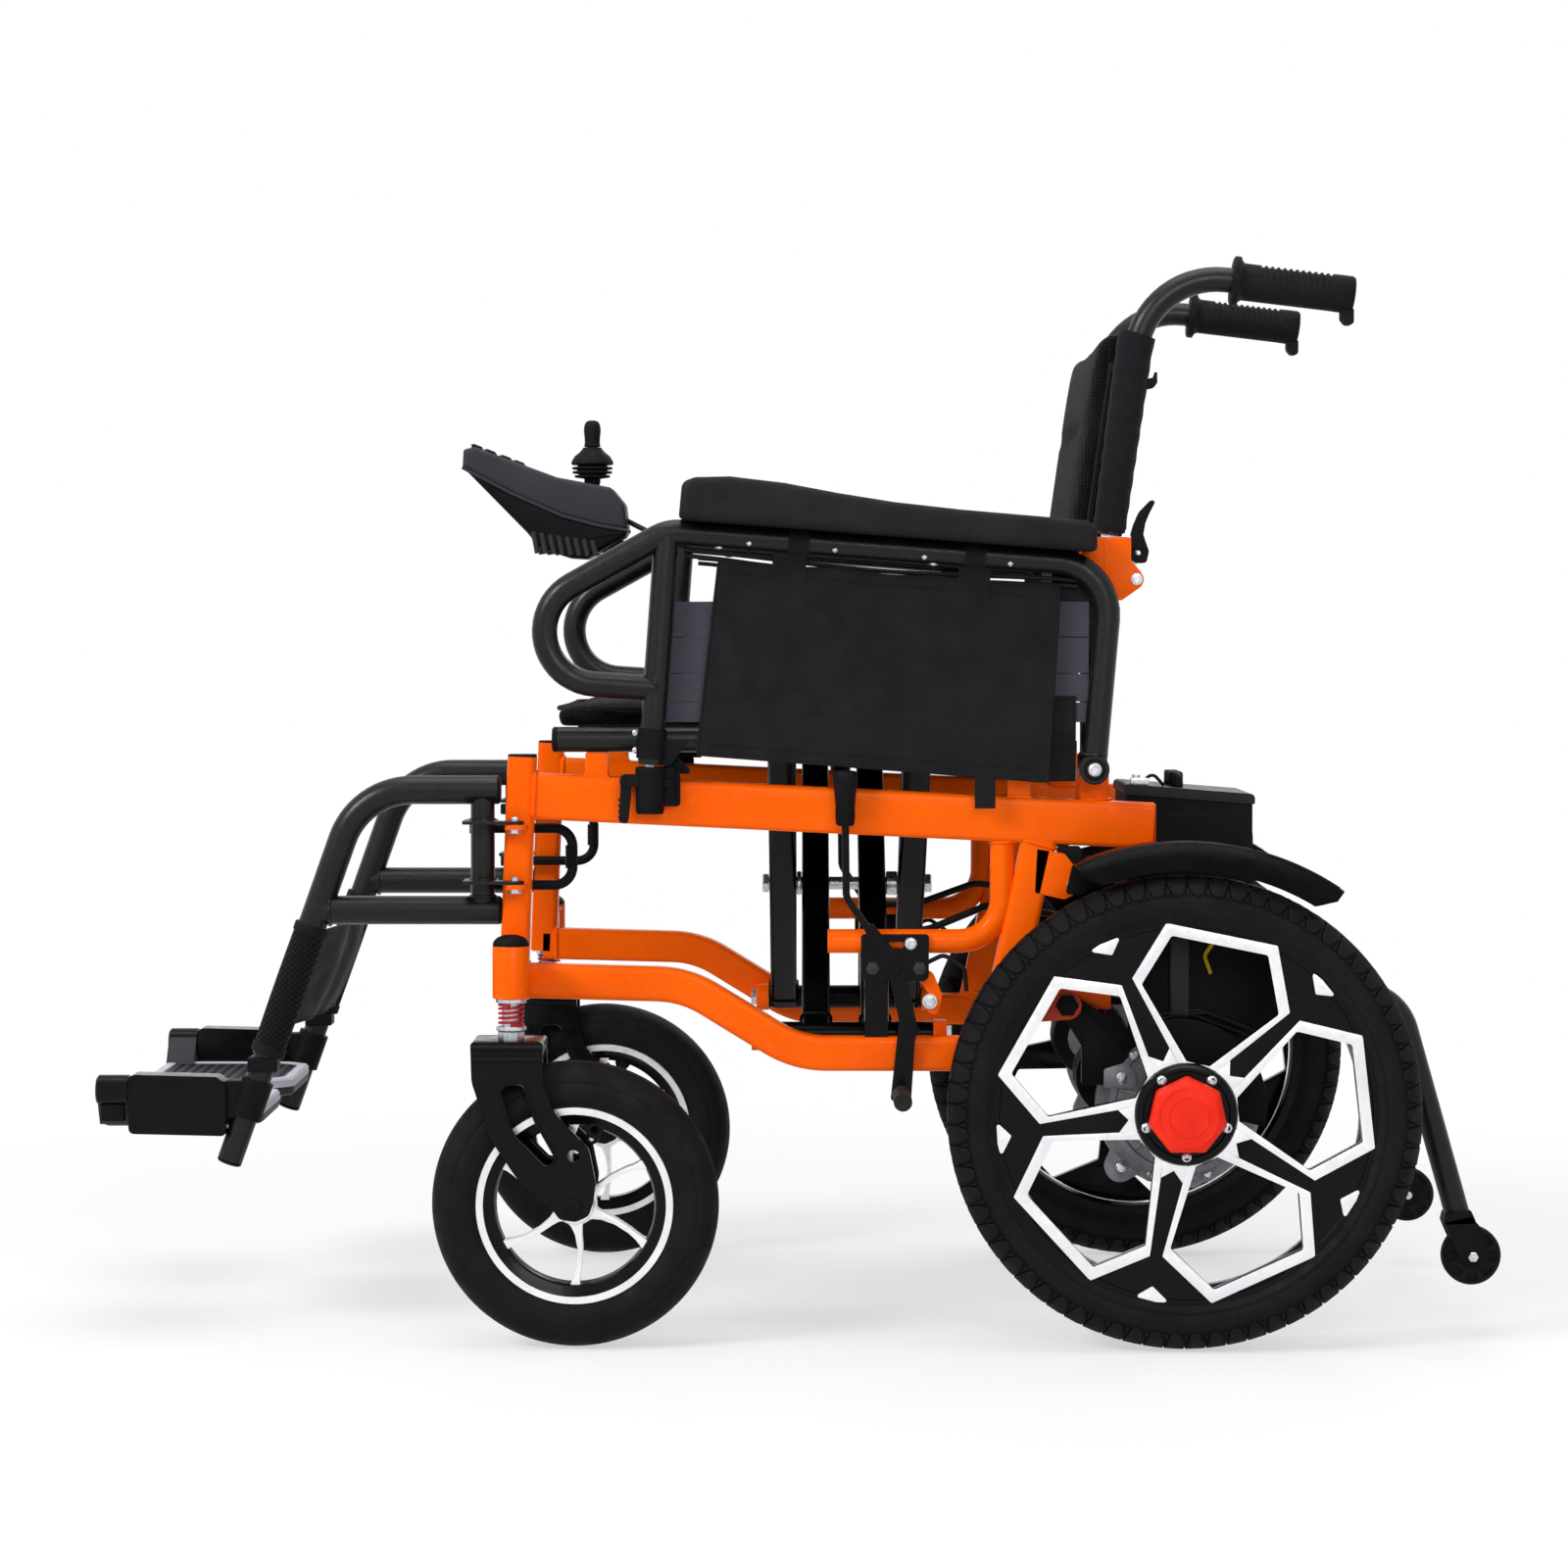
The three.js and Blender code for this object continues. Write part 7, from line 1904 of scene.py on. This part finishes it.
def controller_body():
    """Hand controller: a lighter upper half and a darker ribbed lower half that meet in a ridge."""
    near, far = stick_x - 32, stick_x + 32
    ridge = [(-125, 12.5), (-79, -12), (-27, -35), (7, -44), (36, -49)]
    upper = [*ridge, (33, -23), (20, -7), (-33, 3), (-113, 32.5), (-124, 30)]
    lower = [*ridge[::-1], (-120, 8), (-62, -51), (-50, -66), (-21, -75.5), (-4, -76.5), (33, -55)]
    parts = []
    for corners, radii, finish in ((upper, [2, 0, 0, 0, 2, 10, 8, 10, 6, 3], SHELL),
                                   (lower, [2, 0, 0, 0, 2, 3, 10, 8, 6, 5, 3], PLASTIC)):
        outline = [(stick_y + y, stick_z + z) for y, z in corners]
        parts.append((pillow(outline, [near, far], 5, radii, 4, 6), finish))
    for x, way in ((near, -1), (far, 1)):
        line = side_view(x + way * -0.6, [(stick_y + y, stick_z + z) for y, z in ridge])
        parts.append((tube(rounded(line, 60, 5), 1.7, 12), SHELL))
        for k in range(8):
            y, z = stick_y - 56 + 8.2 * k, stick_z - 50 - 1.2 * k
            rib = side_view(x + way * -0.8, [(y, z), (y + 4, z - 21 + 0.8 * k)])
            parts.append((tube(rib, 2.6, 10), SHELL))
    for place in (-113, -100, -85, -72):
        y = stick_y + place
        parts.append((weld_ring(key_point(y, 0.6), key_tilt, 6.6), PLASTIC))
    bar = [(-436 - 109, 692), (-436 + 36, 692), (-436 + 36, 704), (-436 - 109, 704)]
    bar_x = -(arm_x + 11.3)
    parts.append((plate("x", outline2(bar, 3, 3), [bar_x - 13, bar_x], bevel=1.2), COAT))
    for y in (-420, -470):
        parts += cap_screw((bar_x - 13, y, 698), (-1, 0, 0), 4.4, 3)
    return parts


def weld_ring(centre, normal, radius):
    """A fine raised ring, such as the rim of a key."""
    return tube(ring_round(centre, normal, radius, 32), 0.5, 8, closed=True)


def button(place):
    """One round rubber key with a dished top."""
    y = stick_y + place
    centre = key_point(y, -2.2)
    stations = [(0, 5.5), (3.2, 5.5), (4.2, 5.1), (4.6, 4.2), (4.5, 3.2), (4.3, 0)]
    side = Vector((1, 0, 0))
    up = key_tilt.cross(side)
    rings = [[centre + key_tilt * t + side * a + up * b for a, b in circle(r, 32)] for t, r in stations]
    return [(skin(rings), RUBBER)]


def joystick_gaiter():
    """Rubber boot: three bellows rings, then a bell with a flared brim round the stick's foot."""
    z = stick_z
    ball = [(8 * math.cos(math.radians(a)), z - 8 * math.sin(math.radians(a))) for a in (90, 70, 50, 30, 10)]
    ribs = []
    for base, wide in ((3.6, 17.6), (7.6, 19.6), (11.6, 20)):
        ribs += [(wide - 5, z + base - 0.6), (wide - 0.6, z + base), (wide, z + base + 1.1),
                 (wide - 0.6, z + base + 2.2), (wide - 5, z + base + 2.8)]
    head = [(14, z + 15.4), (19.8, z + 16), (20.8, z + 17.4), (20.2, z + 19.6), (17.4, z + 24.4),
            (12.4, z + 28.4), (9.6, z + 31.6), (8.8, z + 33), (5.4, z + 33.2), (5, z + 32), (0, z + 32)]
    profile = [(0, z - 8), *ball[1:], (8, z + 2.4), *ribs, *head]
    return [(turned(profile, (stick_x, stick_y, 0), "z", 48), RUBBER)]


def joystick_knob():
    """Waisted rubber knob with a domed top."""
    foot = stick_z + 33.6
    profile = [(0, foot - 1.3), (4.2, foot - 1.3), (4.6, foot - 0.2), (7.2, foot), (8, foot + 1),
               (7.4, foot + 4), (7.6, foot + 9), (8.3, foot + 15), (8.1, foot + 19), (7.3, foot + 22.4),
               (5.6, foot + 24.8), (3, foot + 25.8), (0, foot + 26)]
    return [(turned(profile, (stick_x, stick_y, 0), "z", 48), RUBBER)]


def controller_cable():
    """Cable from the controller along the armrest tube, with its clips."""
    x = -(arm_x - 11 - 2.6 + 0.3)
    line = rounded([(x - 14, stick_y + 32.6, stick_z - 38), (x, -478, 712), (x, -436, 697), (x, -106, 672.4),
                    (x, -68, 610), (x, -72, 556)], 14, 8)
    parts = [(tube(line, 2.6, 16), CABLE)]
    for y in (-380, -290, -200, -128):
        z = arm_top(y) - 4.6
        parts.append((box([x - 3.4, x + 2.9], [y - 2.2, y + 2.2], [z - 3.4, z + 3.4], 0.8), PLASTIC))
    return parts


# ---------------------------------------------------------------- making the rigid pieces


def single(name, body, parts):
    """A piece that stands for the node of its name."""
    made = piece(f"{name}_look", body, parts, [name])
    return made


def both(name, body, build, left_only=()):
    """The same piece on both sides, the right one mirrored; left_only parts go on the left one."""
    parts = build()
    for side in ("left", "right"):
        node = f"{side}_{name}"
        added = list(left_only) if side == "left" else []
        made = piece(f"{node}_look", f"{side}_{body}", parts + added, [node], mirrored=side == "right")


def rigid_pieces():
    """Every piece but the cushions, pads and cloth."""
    both("side_frame", "frame", side_frame)
    both("drive_tyre", "drive_wheel", drive_tyre)
    both("drive_rim", "drive_wheel", drive_rim)
    both("clutch_knob", "clutch_knob_body", clutch_knob)
    both("motor", "frame", motor)
    both("caster_tyre", "caster_wheel", caster_tyre)
    both("caster_rim", "caster_wheel", caster_rim_parts)
    both("caster_fork", "caster_fork_body", caster_fork)
    both("caster_spring", "caster_slide", caster_spring)
    both("legrest_frame", "legrest", legrest_frame)
    both("legrest_latch", "legrest_latch_body", legrest_latch)
    both("footplate", "footplate_body", footplate)
    both("armrest_frame", "armrest", armrest_frame)
    both("arm_latch", "arm_latch_body", arm_latch)
    both("back_tube", "back", back_tube)
    both("handgrip", "back", handgrip)
    both("back_lever", "back_lever_body", back_lever)
    both("brake_lever", "brake", brake_lever)
    both("anti_tip_bar", "frame", anti_tip_bar, battery_tray())
    both("anti_tip_wheel", "anti_tip_wheel_body", anti_tip_wheel)
    both("mudguard", "frame", mudguard)
    single("cross_brace_a", "brace_a", cross_brace(1, [-316, -264]) + centre_bolt())
    single("cross_brace_b", "brace_b", cross_brace(-1, [-346, -228]))
    single("battery_box", "battery", battery_box())
    single("controller_body", "right_armrest", controller_body())
    single("joystick_gaiter", None, joystick_gaiter())
    single("joystick_knob", "joystick", joystick_knob())
    for use, place in (("power", -113), ("horn", -100), ("slower", -85), ("faster", -72)):
        single(f"{use}_button", f"{use}_button_body", button(place))
    single("controller_cable", "right_armrest", controller_cable())


def flexing_pieces():
    """The caster springs get meshes of their own, and the gaiter's placing is baked into its mesh."""
    for side in ("left", "right"):
        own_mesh(bpy.data.objects[f"{side}_caster_spring_look"])
    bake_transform(bpy.data.objects["joystick_gaiter_look"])


rigid_pieces()
flexing_pieces()


# ---------------------------------------------------------------- soft pieces

def pads():
    """Arm pads on both armrests."""
    parts = arm_pad_parts()
    for side in ("left", "right"):
        made = piece(f"{side}_arm_pad_look", f"{side}_armrest", parts, [f"{side}_arm_pad"], 60,
                     side == "right")


def drawn_in(a, b, half_width, half_length):
    """Place on a pad whose sides are drawn in 5 mm between the corners; a and b run from -1 to 1."""
    return (a * (half_width - 5 * (1 - b * b) * abs(a)), b * (half_length - 5 * (1 - a * a) * abs(b)))


def pad_rim(half_width, half_length):
    """The line round a pad that its bound edge follows."""
    rim = []
    for k in range(120):
        turn = 2 * math.pi * k / 120
        a, b = (max(-1, min(1, 1.25 * t)) for t in (math.cos(turn), math.sin(turn)))
        rim.append(drawn_in(a, b, half_width, half_length))
    return rim


def cushion_shape(half_width, length, thickness, crown, columns, rows):
    """A closed boxed pad: flat underneath, crowned on top, its sides drawn in between the corners."""
    seam = thickness * 0.42

    def shoulder(a, b, steep):
        """1 over most of the pad, falling to 0 at its edge."""
        return math.sqrt(max(min(1, (1 - a ** 24) * steep) * min(1, (1 - b ** 24) * steep), 0))

    def top(u, v):
        a, b = 2 * u - 1, 2 * v - 1
        z = seam + (thickness * 0.58 - crown) * shoulder(a, b, 1.4) + crown * (1 - a ** 4) * (1 - b ** 4)
        return Vector((*drawn_in(a, b, half_width, length / 2), z))

    def foot(u, v):
        a, b = 2 * u - 1, 2 * v - 1
        return Vector((*drawn_in(a, b, half_width, length / 2), seam * (1 - shoulder(a, b, 2))))

    points, faces = grid(rows, columns, top)
    low_points, low_faces = grid(rows, columns, foot)
    index = {}
    for i, p in enumerate(low_points):
        r, c = divmod(i, columns + 1)
        if r in (0, rows) or c in (0, columns):
            index[i] = i
        else:
            index[i] = len(points)
            points.append(p)
    faces += [[index[i] for i in reversed(f)] for f in low_faces]
    return points, faces


def inflated(made, cap, flat_normal, flat_point):
    """Cloth pressure puffs the pad out by up to cap metres; the side it rests on stays flat."""
    remesh = made.modifiers.new("remesh", "REMESH")
    remesh.mode = "VOXEL"
    remesh.voxel_size = 0.006
    remesh.use_smooth_shade = True
    apply_modifiers(made)
    before = [v.co.copy() for v in made.data.vertices]
    cloth = made.modifiers.new("cloth", "CLOTH")
    cloth.settings.use_pressure = True
    cloth.settings.uniform_pressure_force = 4.0
    cloth.settings.effector_weights.gravity = 0
    cloth.settings.tension_stiffness = 30
    cloth.settings.bending_stiffness = 2
    cloth.settings.quality = 4
    cloth.collision_settings.use_collision = False
    for number in range(1, 21):
        bpy.context.scene.frame_set(number)
    apply_modifiers(made)
    bpy.context.scene.frame_set(1)
    for v, old in zip(made.data.vertices, before):
        move = v.co - old
        if move.length > cap:
            move = move.normalized() * cap
        spot = old + move
        under = (spot - flat_point).dot(flat_normal)
        if under < 0:
            spot -= flat_normal * under
        v.co = spot


def apply_modifiers(made):
    """The object's mesh with its modifiers worked out, in place of the old mesh."""
    graph = bpy.context.evaluated_depsgraph_get()
    fresh = bpy.data.meshes.new_from_object(made.evaluated_get(graph))
    made.modifiers.clear()
    old = made.data
    made.data = fresh
    bpy.data.meshes.remove(old)


def finish_soft(made):
    """One level of subdivision, and smooth faces."""
    finer = made.modifiers.new("subdivision", "SUBSURF")
    finer.levels = 1
    finer.render_levels = 1
    apply_modifiers(made)
    for polygon in made.data.polygons:
        polygon.use_smooth = True


def stitch_line(path):
    """Stitches 3.4 mm long along a path, 2.2 mm apart."""
    length, gap, radius = 3.4, 2.2, 0.45
    path = [Vector(p) for p in path]
    total = sum((b - a).length for a, b in zip(path, path[1:]))
    count = max(2, int(total / (length + gap)))
    spots = along_line(path, count * 4)
    out = []
    for k in range(count):
        run = spots[4 * k:4 * k + 3]
        if (run[-1] - run[0]).length > 0.5:
            out.append((tube(run, radius, 6), STRAP))
    return out


seat_front, seat_rear, seat_foot = -549, -100, 533.3


def seat_cushion():
    """Thin seat pad of mesh cloth with two sewn channels and a bound edge."""
    length = seat_rear - seat_front
    middle_y = (seat_front + seat_rear) / 2
    shape = cushion_shape(201, length - 4, 24, 8, 60, 70)
    points = [p + Vector((0, middle_y, seat_foot)) for p in shape[0]]
    made = piece("seat_cushion_look", "brace_b", [((points, shape[1]), MESH)], ["seat_cushion"])
    inflated(made, 0.0025, Vector((0, 0, 1)), Vector((0, 0, seat_foot * METRES)))
    finish_soft(made)
    channels = [seat_front + length * share for share in (0.33, 0.66)]
    for v in made.data.vertices:
        y = v.co.y / METRES - AXLE_Y
        if v.co.z / METRES > seat_foot + 10:
            groove = sum(3.4 * math.exp(-((y - c) / 5) ** 2) for c in channels)
            nearness = sum(0.7 * math.exp(-((y - c) / 16) ** 2) for c in channels)
            pucker = nearness * math.sin(v.co.x / METRES / 7)
            v.co.z -= (groove + pucker) * METRES
    squash_x(made)
    edge = [Vector((x, middle_y + y, seat_foot + 15)) for x, y in pad_rim(200, length / 2 - 3.5)]
    trim = [(tube(edge, 2.3, 10, closed=True), CLOTH)]
    bound = piece("seat_piping", "brace_b", trim)
    squash_x(bound)


def squash_x(made):
    """Gives a piece a mesh of its own."""
    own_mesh(made)


def back_cushion():
    """Back pad of mesh cloth, hung between the back tubes, with sewn channels and bound edges."""
    foot, head = 600, 880
    lean = math.atan(0.139)
    length = (head - foot) / math.cos(lean)
    shape = cushion_shape(183, length - 4, 33, 5, 56, 50)
    centre = Vector((0, back_y((foot + head) / 2) - 1, (foot + head) / 2))
    turn = Matrix.Rotation(math.pi / 2 - lean, 3, "X")
    points = [turn @ p + centre for p in shape[0]]
    made = piece("back_cushion_look", "left_back", [((points, shape[1]), MESH)], ["back_cushion"])
    front = turn @ Vector((0, 0, 1))
    place = Vector((centre.x, centre.y + AXLE_Y, centre.z)) * METRES
    inflated(made, 0.003, front, place)
    finish_soft(made)
    up = turn @ Vector((0, 1, 0))
    for v in made.data.vertices:
        local = v.co - place
        along, out = local.dot(up) / METRES, local.dot(front) / METRES
        if out > 17:
            across = v.co.x / METRES
            fade = 1 - min(1, abs(across) / 165) ** 2
            for share in (0.36, 0.68):
                gap = along - (share - 0.5) * length
                pucker = 0.8 * math.exp(-(gap / 18) ** 2) * math.sin(across / 8)
                dip = 4.2 * math.exp(-(gap / 6) ** 2) + pucker
                v.co -= front * dip * fade * METRES
    squash_x(made)
    edge = [turn @ Vector((x, y, 17)) + centre for x, y in pad_rim(182, length / 2 - 4)]
    bound = piece("back_piping", "left_back", [(tube(edge, 2.4, 10, closed=True), CLOTH)])
    squash_x(bound)


def sleeves():
    """Back upholstery's sleeves on both back tubes."""
    parts = back_sleeve()
    for side in ("left", "right"):
        made = piece(f"{side}_back_sleeve", f"{side}_back", parts, (), 60, side == "right")


def calf_strap():
    """Webbing band between the legrests that sags rearward, with bound edges."""
    span, sag, height, foot = 189, 26, 84, sleeve_foot + 17

    def at(u, v, lift=0.0):
        x = span * (2 * u - 1)
        z = foot + height * v
        ease = 1 - (2 * u - 1) ** 2
        fold = (1.3 * math.sin(34 * u + 2 * v) + 1.1 * math.sin(19 * u - 1.3)) * ease
        cup = 5 * ease * (v - 0.5) ** 2 * 4
        return Vector((x, leg_y(z) + 1 + sag * ease + fold - cup + lift, z))

    shape = thick(grid(24, 60, at), 2.2)
    made = piece("calf_strap_look", "left_legrest", [(shape, STRAP)], ["calf_strap"], 60)
    finish_soft(made)
    squash_x(made)
    hems = []
    for v in (0.015, 0.985):
        hems.append((tube([at(k / 60, v) for k in range(61)], 1.9, 10), STRAP))
    for v in (0.07, 0.93):
        hems += stitch_line([at(k / 60, v, -1.4) for k in range(61)])
    trim = piece("calf_strap_hems", "left_legrest", hems, (), 60)
    squash_x(trim)


guard_corners = [(-419, 509.9), (-116, 486.4), (-106, 654.4), (-400, 677.2)]
guard_folds = [((0.1, 0.86), (0.3, 0.42), 2.6), ((0.26, 0.8), (0.4, 0.66), 2.8),
               ((0.22, 0.62), (0.34, 0.3), -2.2), ((0.06, 0.6), (0.14, 0.2), 1.8),
               ((0.72, 0.9), (0.88, 0.7), 1.8), ((0.8, 0.3), (0.95, 0.12), 1.6),
               ((0.45, 0.5), (0.66, 0.3), 1.2)]


def guard_at(u, v, lift=0.0):
    """Point of the cloth panel under the armrest, slack between its straps."""
    foot = Vector(guard_corners[0]).lerp(Vector(guard_corners[1]), u)
    head = Vector(guard_corners[3]).lerp(Vector(guard_corners[2]), u)
    spot = foot.lerp(head, v)
    inside = math.sin(math.pi * v) * math.sin(math.pi * u)
    fold = (1.7 * math.sin(9 * u + 7 * v) + 1.0 * math.sin(17 * u + 12 * v + 1)) * inside
    fold += 1.3 * noise.noise(Vector((u * 5, v * 3, 2.5))) * (0.4 + inside)
    for (u0, v0), (u1, v1), height in guard_folds:
        run_u, run_v = u1 - u0, v1 - v0
        t = max(0, min(1, ((u - u0) * run_u + (v - v0) * run_v) / (run_u * run_u + run_v * run_v)))
        gap = math.hypot((u - u0 - t * run_u) * 1.9, v - v0 - t * run_v)
        fold += 1.8 * height * math.exp(-(gap / 0.05) ** 2) * (1 - 0.6 * abs(2 * t - 1))
    top_sag = 1.6 * math.sin(3 * math.pi * u) ** 2 * v ** 6
    return Vector((arm_x + 1 + fold + lift, spot.x, spot.y - top_sag))


def side_guard():
    """Cloth side panel with its hems, hanging straps and the elastic bands behind it."""
    shape = thick(grid(44, 72, guard_at), 1.6)
    hems = []
    rim = [guard_at(k / 44, 0.0) for k in range(45)] + [guard_at(1.0, k / 30) for k in range(1, 31)]
    rim += [guard_at(1 - k / 44, 1.0) for k in range(1, 45)] + [guard_at(0.0, 1 - k / 30)
                                                                for k in range(1, 30)]
    hems.append((tube(rim, 1.4, 8, closed=True), NYLON))
    inset = 0.035
    for v in (inset * 1.6, 1 - inset * 1.6):
        hems += stitch_line([guard_at(inset + (1 - 2 * inset) * k / 40, v, 1.1) for k in range(41)])
    for front, rear in ((-354, -325), (-193, -166)):
        hems.append((strap_loop(front, rear), NYLON))
    hems.append((box([arm_x + 0.2, arm_x + 1.8], [-179, -161], [463, 499], 0.6), NYLON))
    for low, high in ((537.5, 554.6), (555.4, 579.2), (580, 610.7), (611.5, 641.8)):
        hems += elastic_band(low, high)
    hems.append((box([arm_x - 8.6, arm_x - 7.2], [-121, -91], [486, 560], 0.5), NYLON))
    for y in (-374, -300, -223, -149):
        hems += cap_screw((arm_x + 9.6, y, arm_top(y) - 5.4), (1, 0, -0.5), 2.5, 1.6)
    hems.append((box([arm_x - 10.6, arm_x - 9], [-112, -78], [598, 668], 0.5), NYLON))
    for drop, sag in ((15, 5), (20, 9)):
        line = [Vector((arm_x - 4, y, arm_top(y) - drop - sag * math.sin(math.pi * (y + 430) / 340) ** 2))
                for y in range(-430, -89, 10)]
        hems.append((tube(line, 2.1, 10), CABLE))
    return shape, hems


def strap_loop(front, rear):
    """Strap sewn to the panel's head and taken over the armrest tube."""
    rows = []
    for k in range(9):
        share = k / 8
        row = []
        for y in (front, (front + rear) / 2, rear):
            low, high = 658 - 0.078 * (y + 400) - 6, arm_top(y) - 10.6
            z = low + (high - low) * share
            row.append(Vector((arm_x + 1.4 + 0.8 * math.sin(math.pi * share), y, z)))
        rows.append(row)
    points = [p for row in rows for p in row]
    faces = [[3 * j + i, 3 * j + i + 1, 3 * j + i + 4, 3 * j + i + 3] for j in range(8) for i in range(2)]
    return thick((points, faces), 1.6)


def elastic_band(low, high):
    """Grey elastic band behind the panel, from the front post to the rear leg of the armrest."""
    start = arm_post_y((low + high) / 2) + 9

    def at(u, v):
        bow = math.sin(math.pi * u)
        return Vector((arm_x - 9.2 - 1.2 * bow, start + (-80 - start) * u,
                       low + (high - low) * v + 0.5 * bow))

    return [(thick(grid(2, 40, at), 1.4), BAND)]


def side_guards():
    """Both side guards with their trim."""
    shape, hems = side_guard()
    for side in ("left", "right"):
        made = piece(f"{side}_side_guard_look", f"{side}_armrest", [(shape, NYLON)], [f"{side}_side_guard"],
                     60, side == "right")
        finish_soft(made)
        trim = piece(f"{side}_side_guard_trim", f"{side}_armrest", hems, (), 50, side == "right")


pads()
seat_cushion()
back_cushion()
sleeves()
calf_strap()
side_guards()


# ---------------------------------------------------------------- camera, floor and light

def look_camera():
    """Long lens from the left, a little above the seat's height."""
    data = bpy.data.cameras.new("camera")
    data.lens = 93.2
    data.sensor_width = 36
    data.clip_end = 50
    data.dof.use_dof = False
    made = bpy.data.objects.new("camera", data)
    made.location = (3.740, 0.003, 0.624)
    made.rotation_euler = (math.radians(90 - 2.281), 0, math.radians(90.277))
    bpy.context.scene.collection.objects.link(made)
    bpy.context.scene.camera = made


def lamp(name, place, target, size, power):
    """A rectangular white area lamp that the camera doesn't see."""
    data = bpy.data.lights.new(name, "AREA")
    data.shape = "RECTANGLE"
    data.size, data.size_y = size
    data.energy = power
    made = bpy.data.objects.new(name, data)
    made.location = place
    made.rotation_euler = (Vector(target) - Vector(place)).to_track_quat("-Z", "Y").to_euler()
    made.visible_camera = False
    bpy.context.scene.collection.objects.link(made)


def seen_directly(tree):
    """1 for what the camera sees straight on or in a reflection, 0 for light that falls on the object."""
    path = tree.nodes.new("ShaderNodeLightPath")
    total = path.outputs["Is Camera Ray"]
    for ray in ("Is Glossy Ray", "Is Transmission Ray"):
        both_rays = tree.nodes.new("ShaderNodeMath")
        both_rays.operation = "MAXIMUM"
        tree.links.new(total, both_rays.inputs[0])
        tree.links.new(path.outputs[ray], both_rays.inputs[1])
        total = both_rays.outputs[0]
    return total


def studio():
    """Four soft lamps round the chair, and white behind it."""
    lamp("key", (2.4, -3.0, 2.9), (0.1, -0.2, 0.4), (1.5, 1.1), 118)
    lamp("overhead", (0.3, 0.1, 3.6), (0, 0, 0.2), (2.6, 2.6), 62)
    lamp("camera_side", (2.7, 0.5, 1.5), (0, 0, 0.4), (1.2, 1.0), 20)
    lamp("far_side", (-2.8, 1.2, 2.2), (0, 0, 0.4), (1.8, 1.4), 18)
    world = bpy.data.worlds.new("studio")
    bpy.context.scene.world = world
    world.use_nodes = True
    tree = world.node_tree
    tree.nodes.clear()
    white, ambient = tree.nodes.new("ShaderNodeBackground"), tree.nodes.new("ShaderNodeBackground")
    white.inputs["Color"].default_value = (1, 1, 1, 1)
    ambient.inputs["Color"].default_value = (0.62, 0.63, 0.66, 1)
    ambient.inputs["Strength"].default_value = 0.36
    mix = tree.nodes.new("ShaderNodeMixShader")
    out = tree.nodes.new("ShaderNodeOutputWorld")
    tree.links.new(seen_directly(tree), mix.inputs[0])
    tree.links.new(ambient.outputs[0], mix.inputs[1])
    tree.links.new(white.outputs[0], mix.inputs[2])
    tree.links.new(mix.outputs[0], out.inputs[0])


def floor():
    """Round pale floor whose edge melts into the white behind it."""
    mesh = bmesh.new()
    radii = [0.0, 0.5, 1.0, 1.5, 2.0, 2.6, 3.4, 4.4, 6.0]
    rings = [[mesh.verts.new((r * math.cos(2 * math.pi * k / 64), r * math.sin(2 * math.pi * k / 64),
                              -0.0006)) for k in range(64)] for r in radii[1:]]
    centre = mesh.verts.new((0, 0, -0.0006))
    for k in range(64):
        mesh.faces.new([centre, rings[0][k], rings[0][(k + 1) % 64]])
    for a, b in zip(rings, rings[1:]):
        for k in range(64):
            mesh.faces.new([a[k], b[k], b[(k + 1) % 64], a[(k + 1) % 64]])
    data = bpy.data.meshes.new("floor")
    mesh.to_mesh(data)
    mesh.free()
    made = bpy.data.objects.new("floor", data)
    bpy.context.scene.collection.objects.link(made)
    material = bpy.data.materials.new("floor")
    material.use_nodes = True
    tree = material.node_tree
    base = tree.nodes["Principled BSDF"]
    base.inputs["Roughness"].default_value = 0.6
    base.inputs["Base Color"].default_value = (0.93, 0.93, 0.94, 1)
    place = tree.nodes.new("ShaderNodeTexCoord").outputs["Object"]
    length = tree.nodes.new("ShaderNodeVectorMath")
    length.operation = "LENGTH"
    tree.links.new(place, length.inputs[0])
    fade = tree.nodes.new("ShaderNodeMapRange")
    fade.interpolation_type = "SMOOTHERSTEP"
    for key, number in (("From Min", 0.7), ("From Max", 1.6), ("To Min", 0.56), ("To Max", 1.0)):
        fade.inputs[key].default_value = number
    tree.links.new(length.outputs["Value"], fade.inputs["Value"])
    white = tree.nodes.new("ShaderNodeEmission")
    white.inputs["Color"].default_value = (1, 1, 1, 1)
    share = tree.nodes.new("ShaderNodeMath")
    share.operation = "MULTIPLY"
    tree.links.new(fade.outputs["Result"], share.inputs[0])
    tree.links.new(seen_directly(tree), share.inputs[1])
    mix = tree.nodes.new("ShaderNodeMixShader")
    tree.links.new(share.outputs[0], mix.inputs[0])
    tree.links.new(base.outputs[0], mix.inputs[1])
    tree.links.new(white.outputs[0], mix.inputs[2])
    tree.links.new(mix.outputs[0], tree.nodes["Material Output"].inputs["Surface"])
    data.materials.append(material)


look_camera()
studio()
floor()
bpy.context.scene.view_settings.view_transform = "Standard"
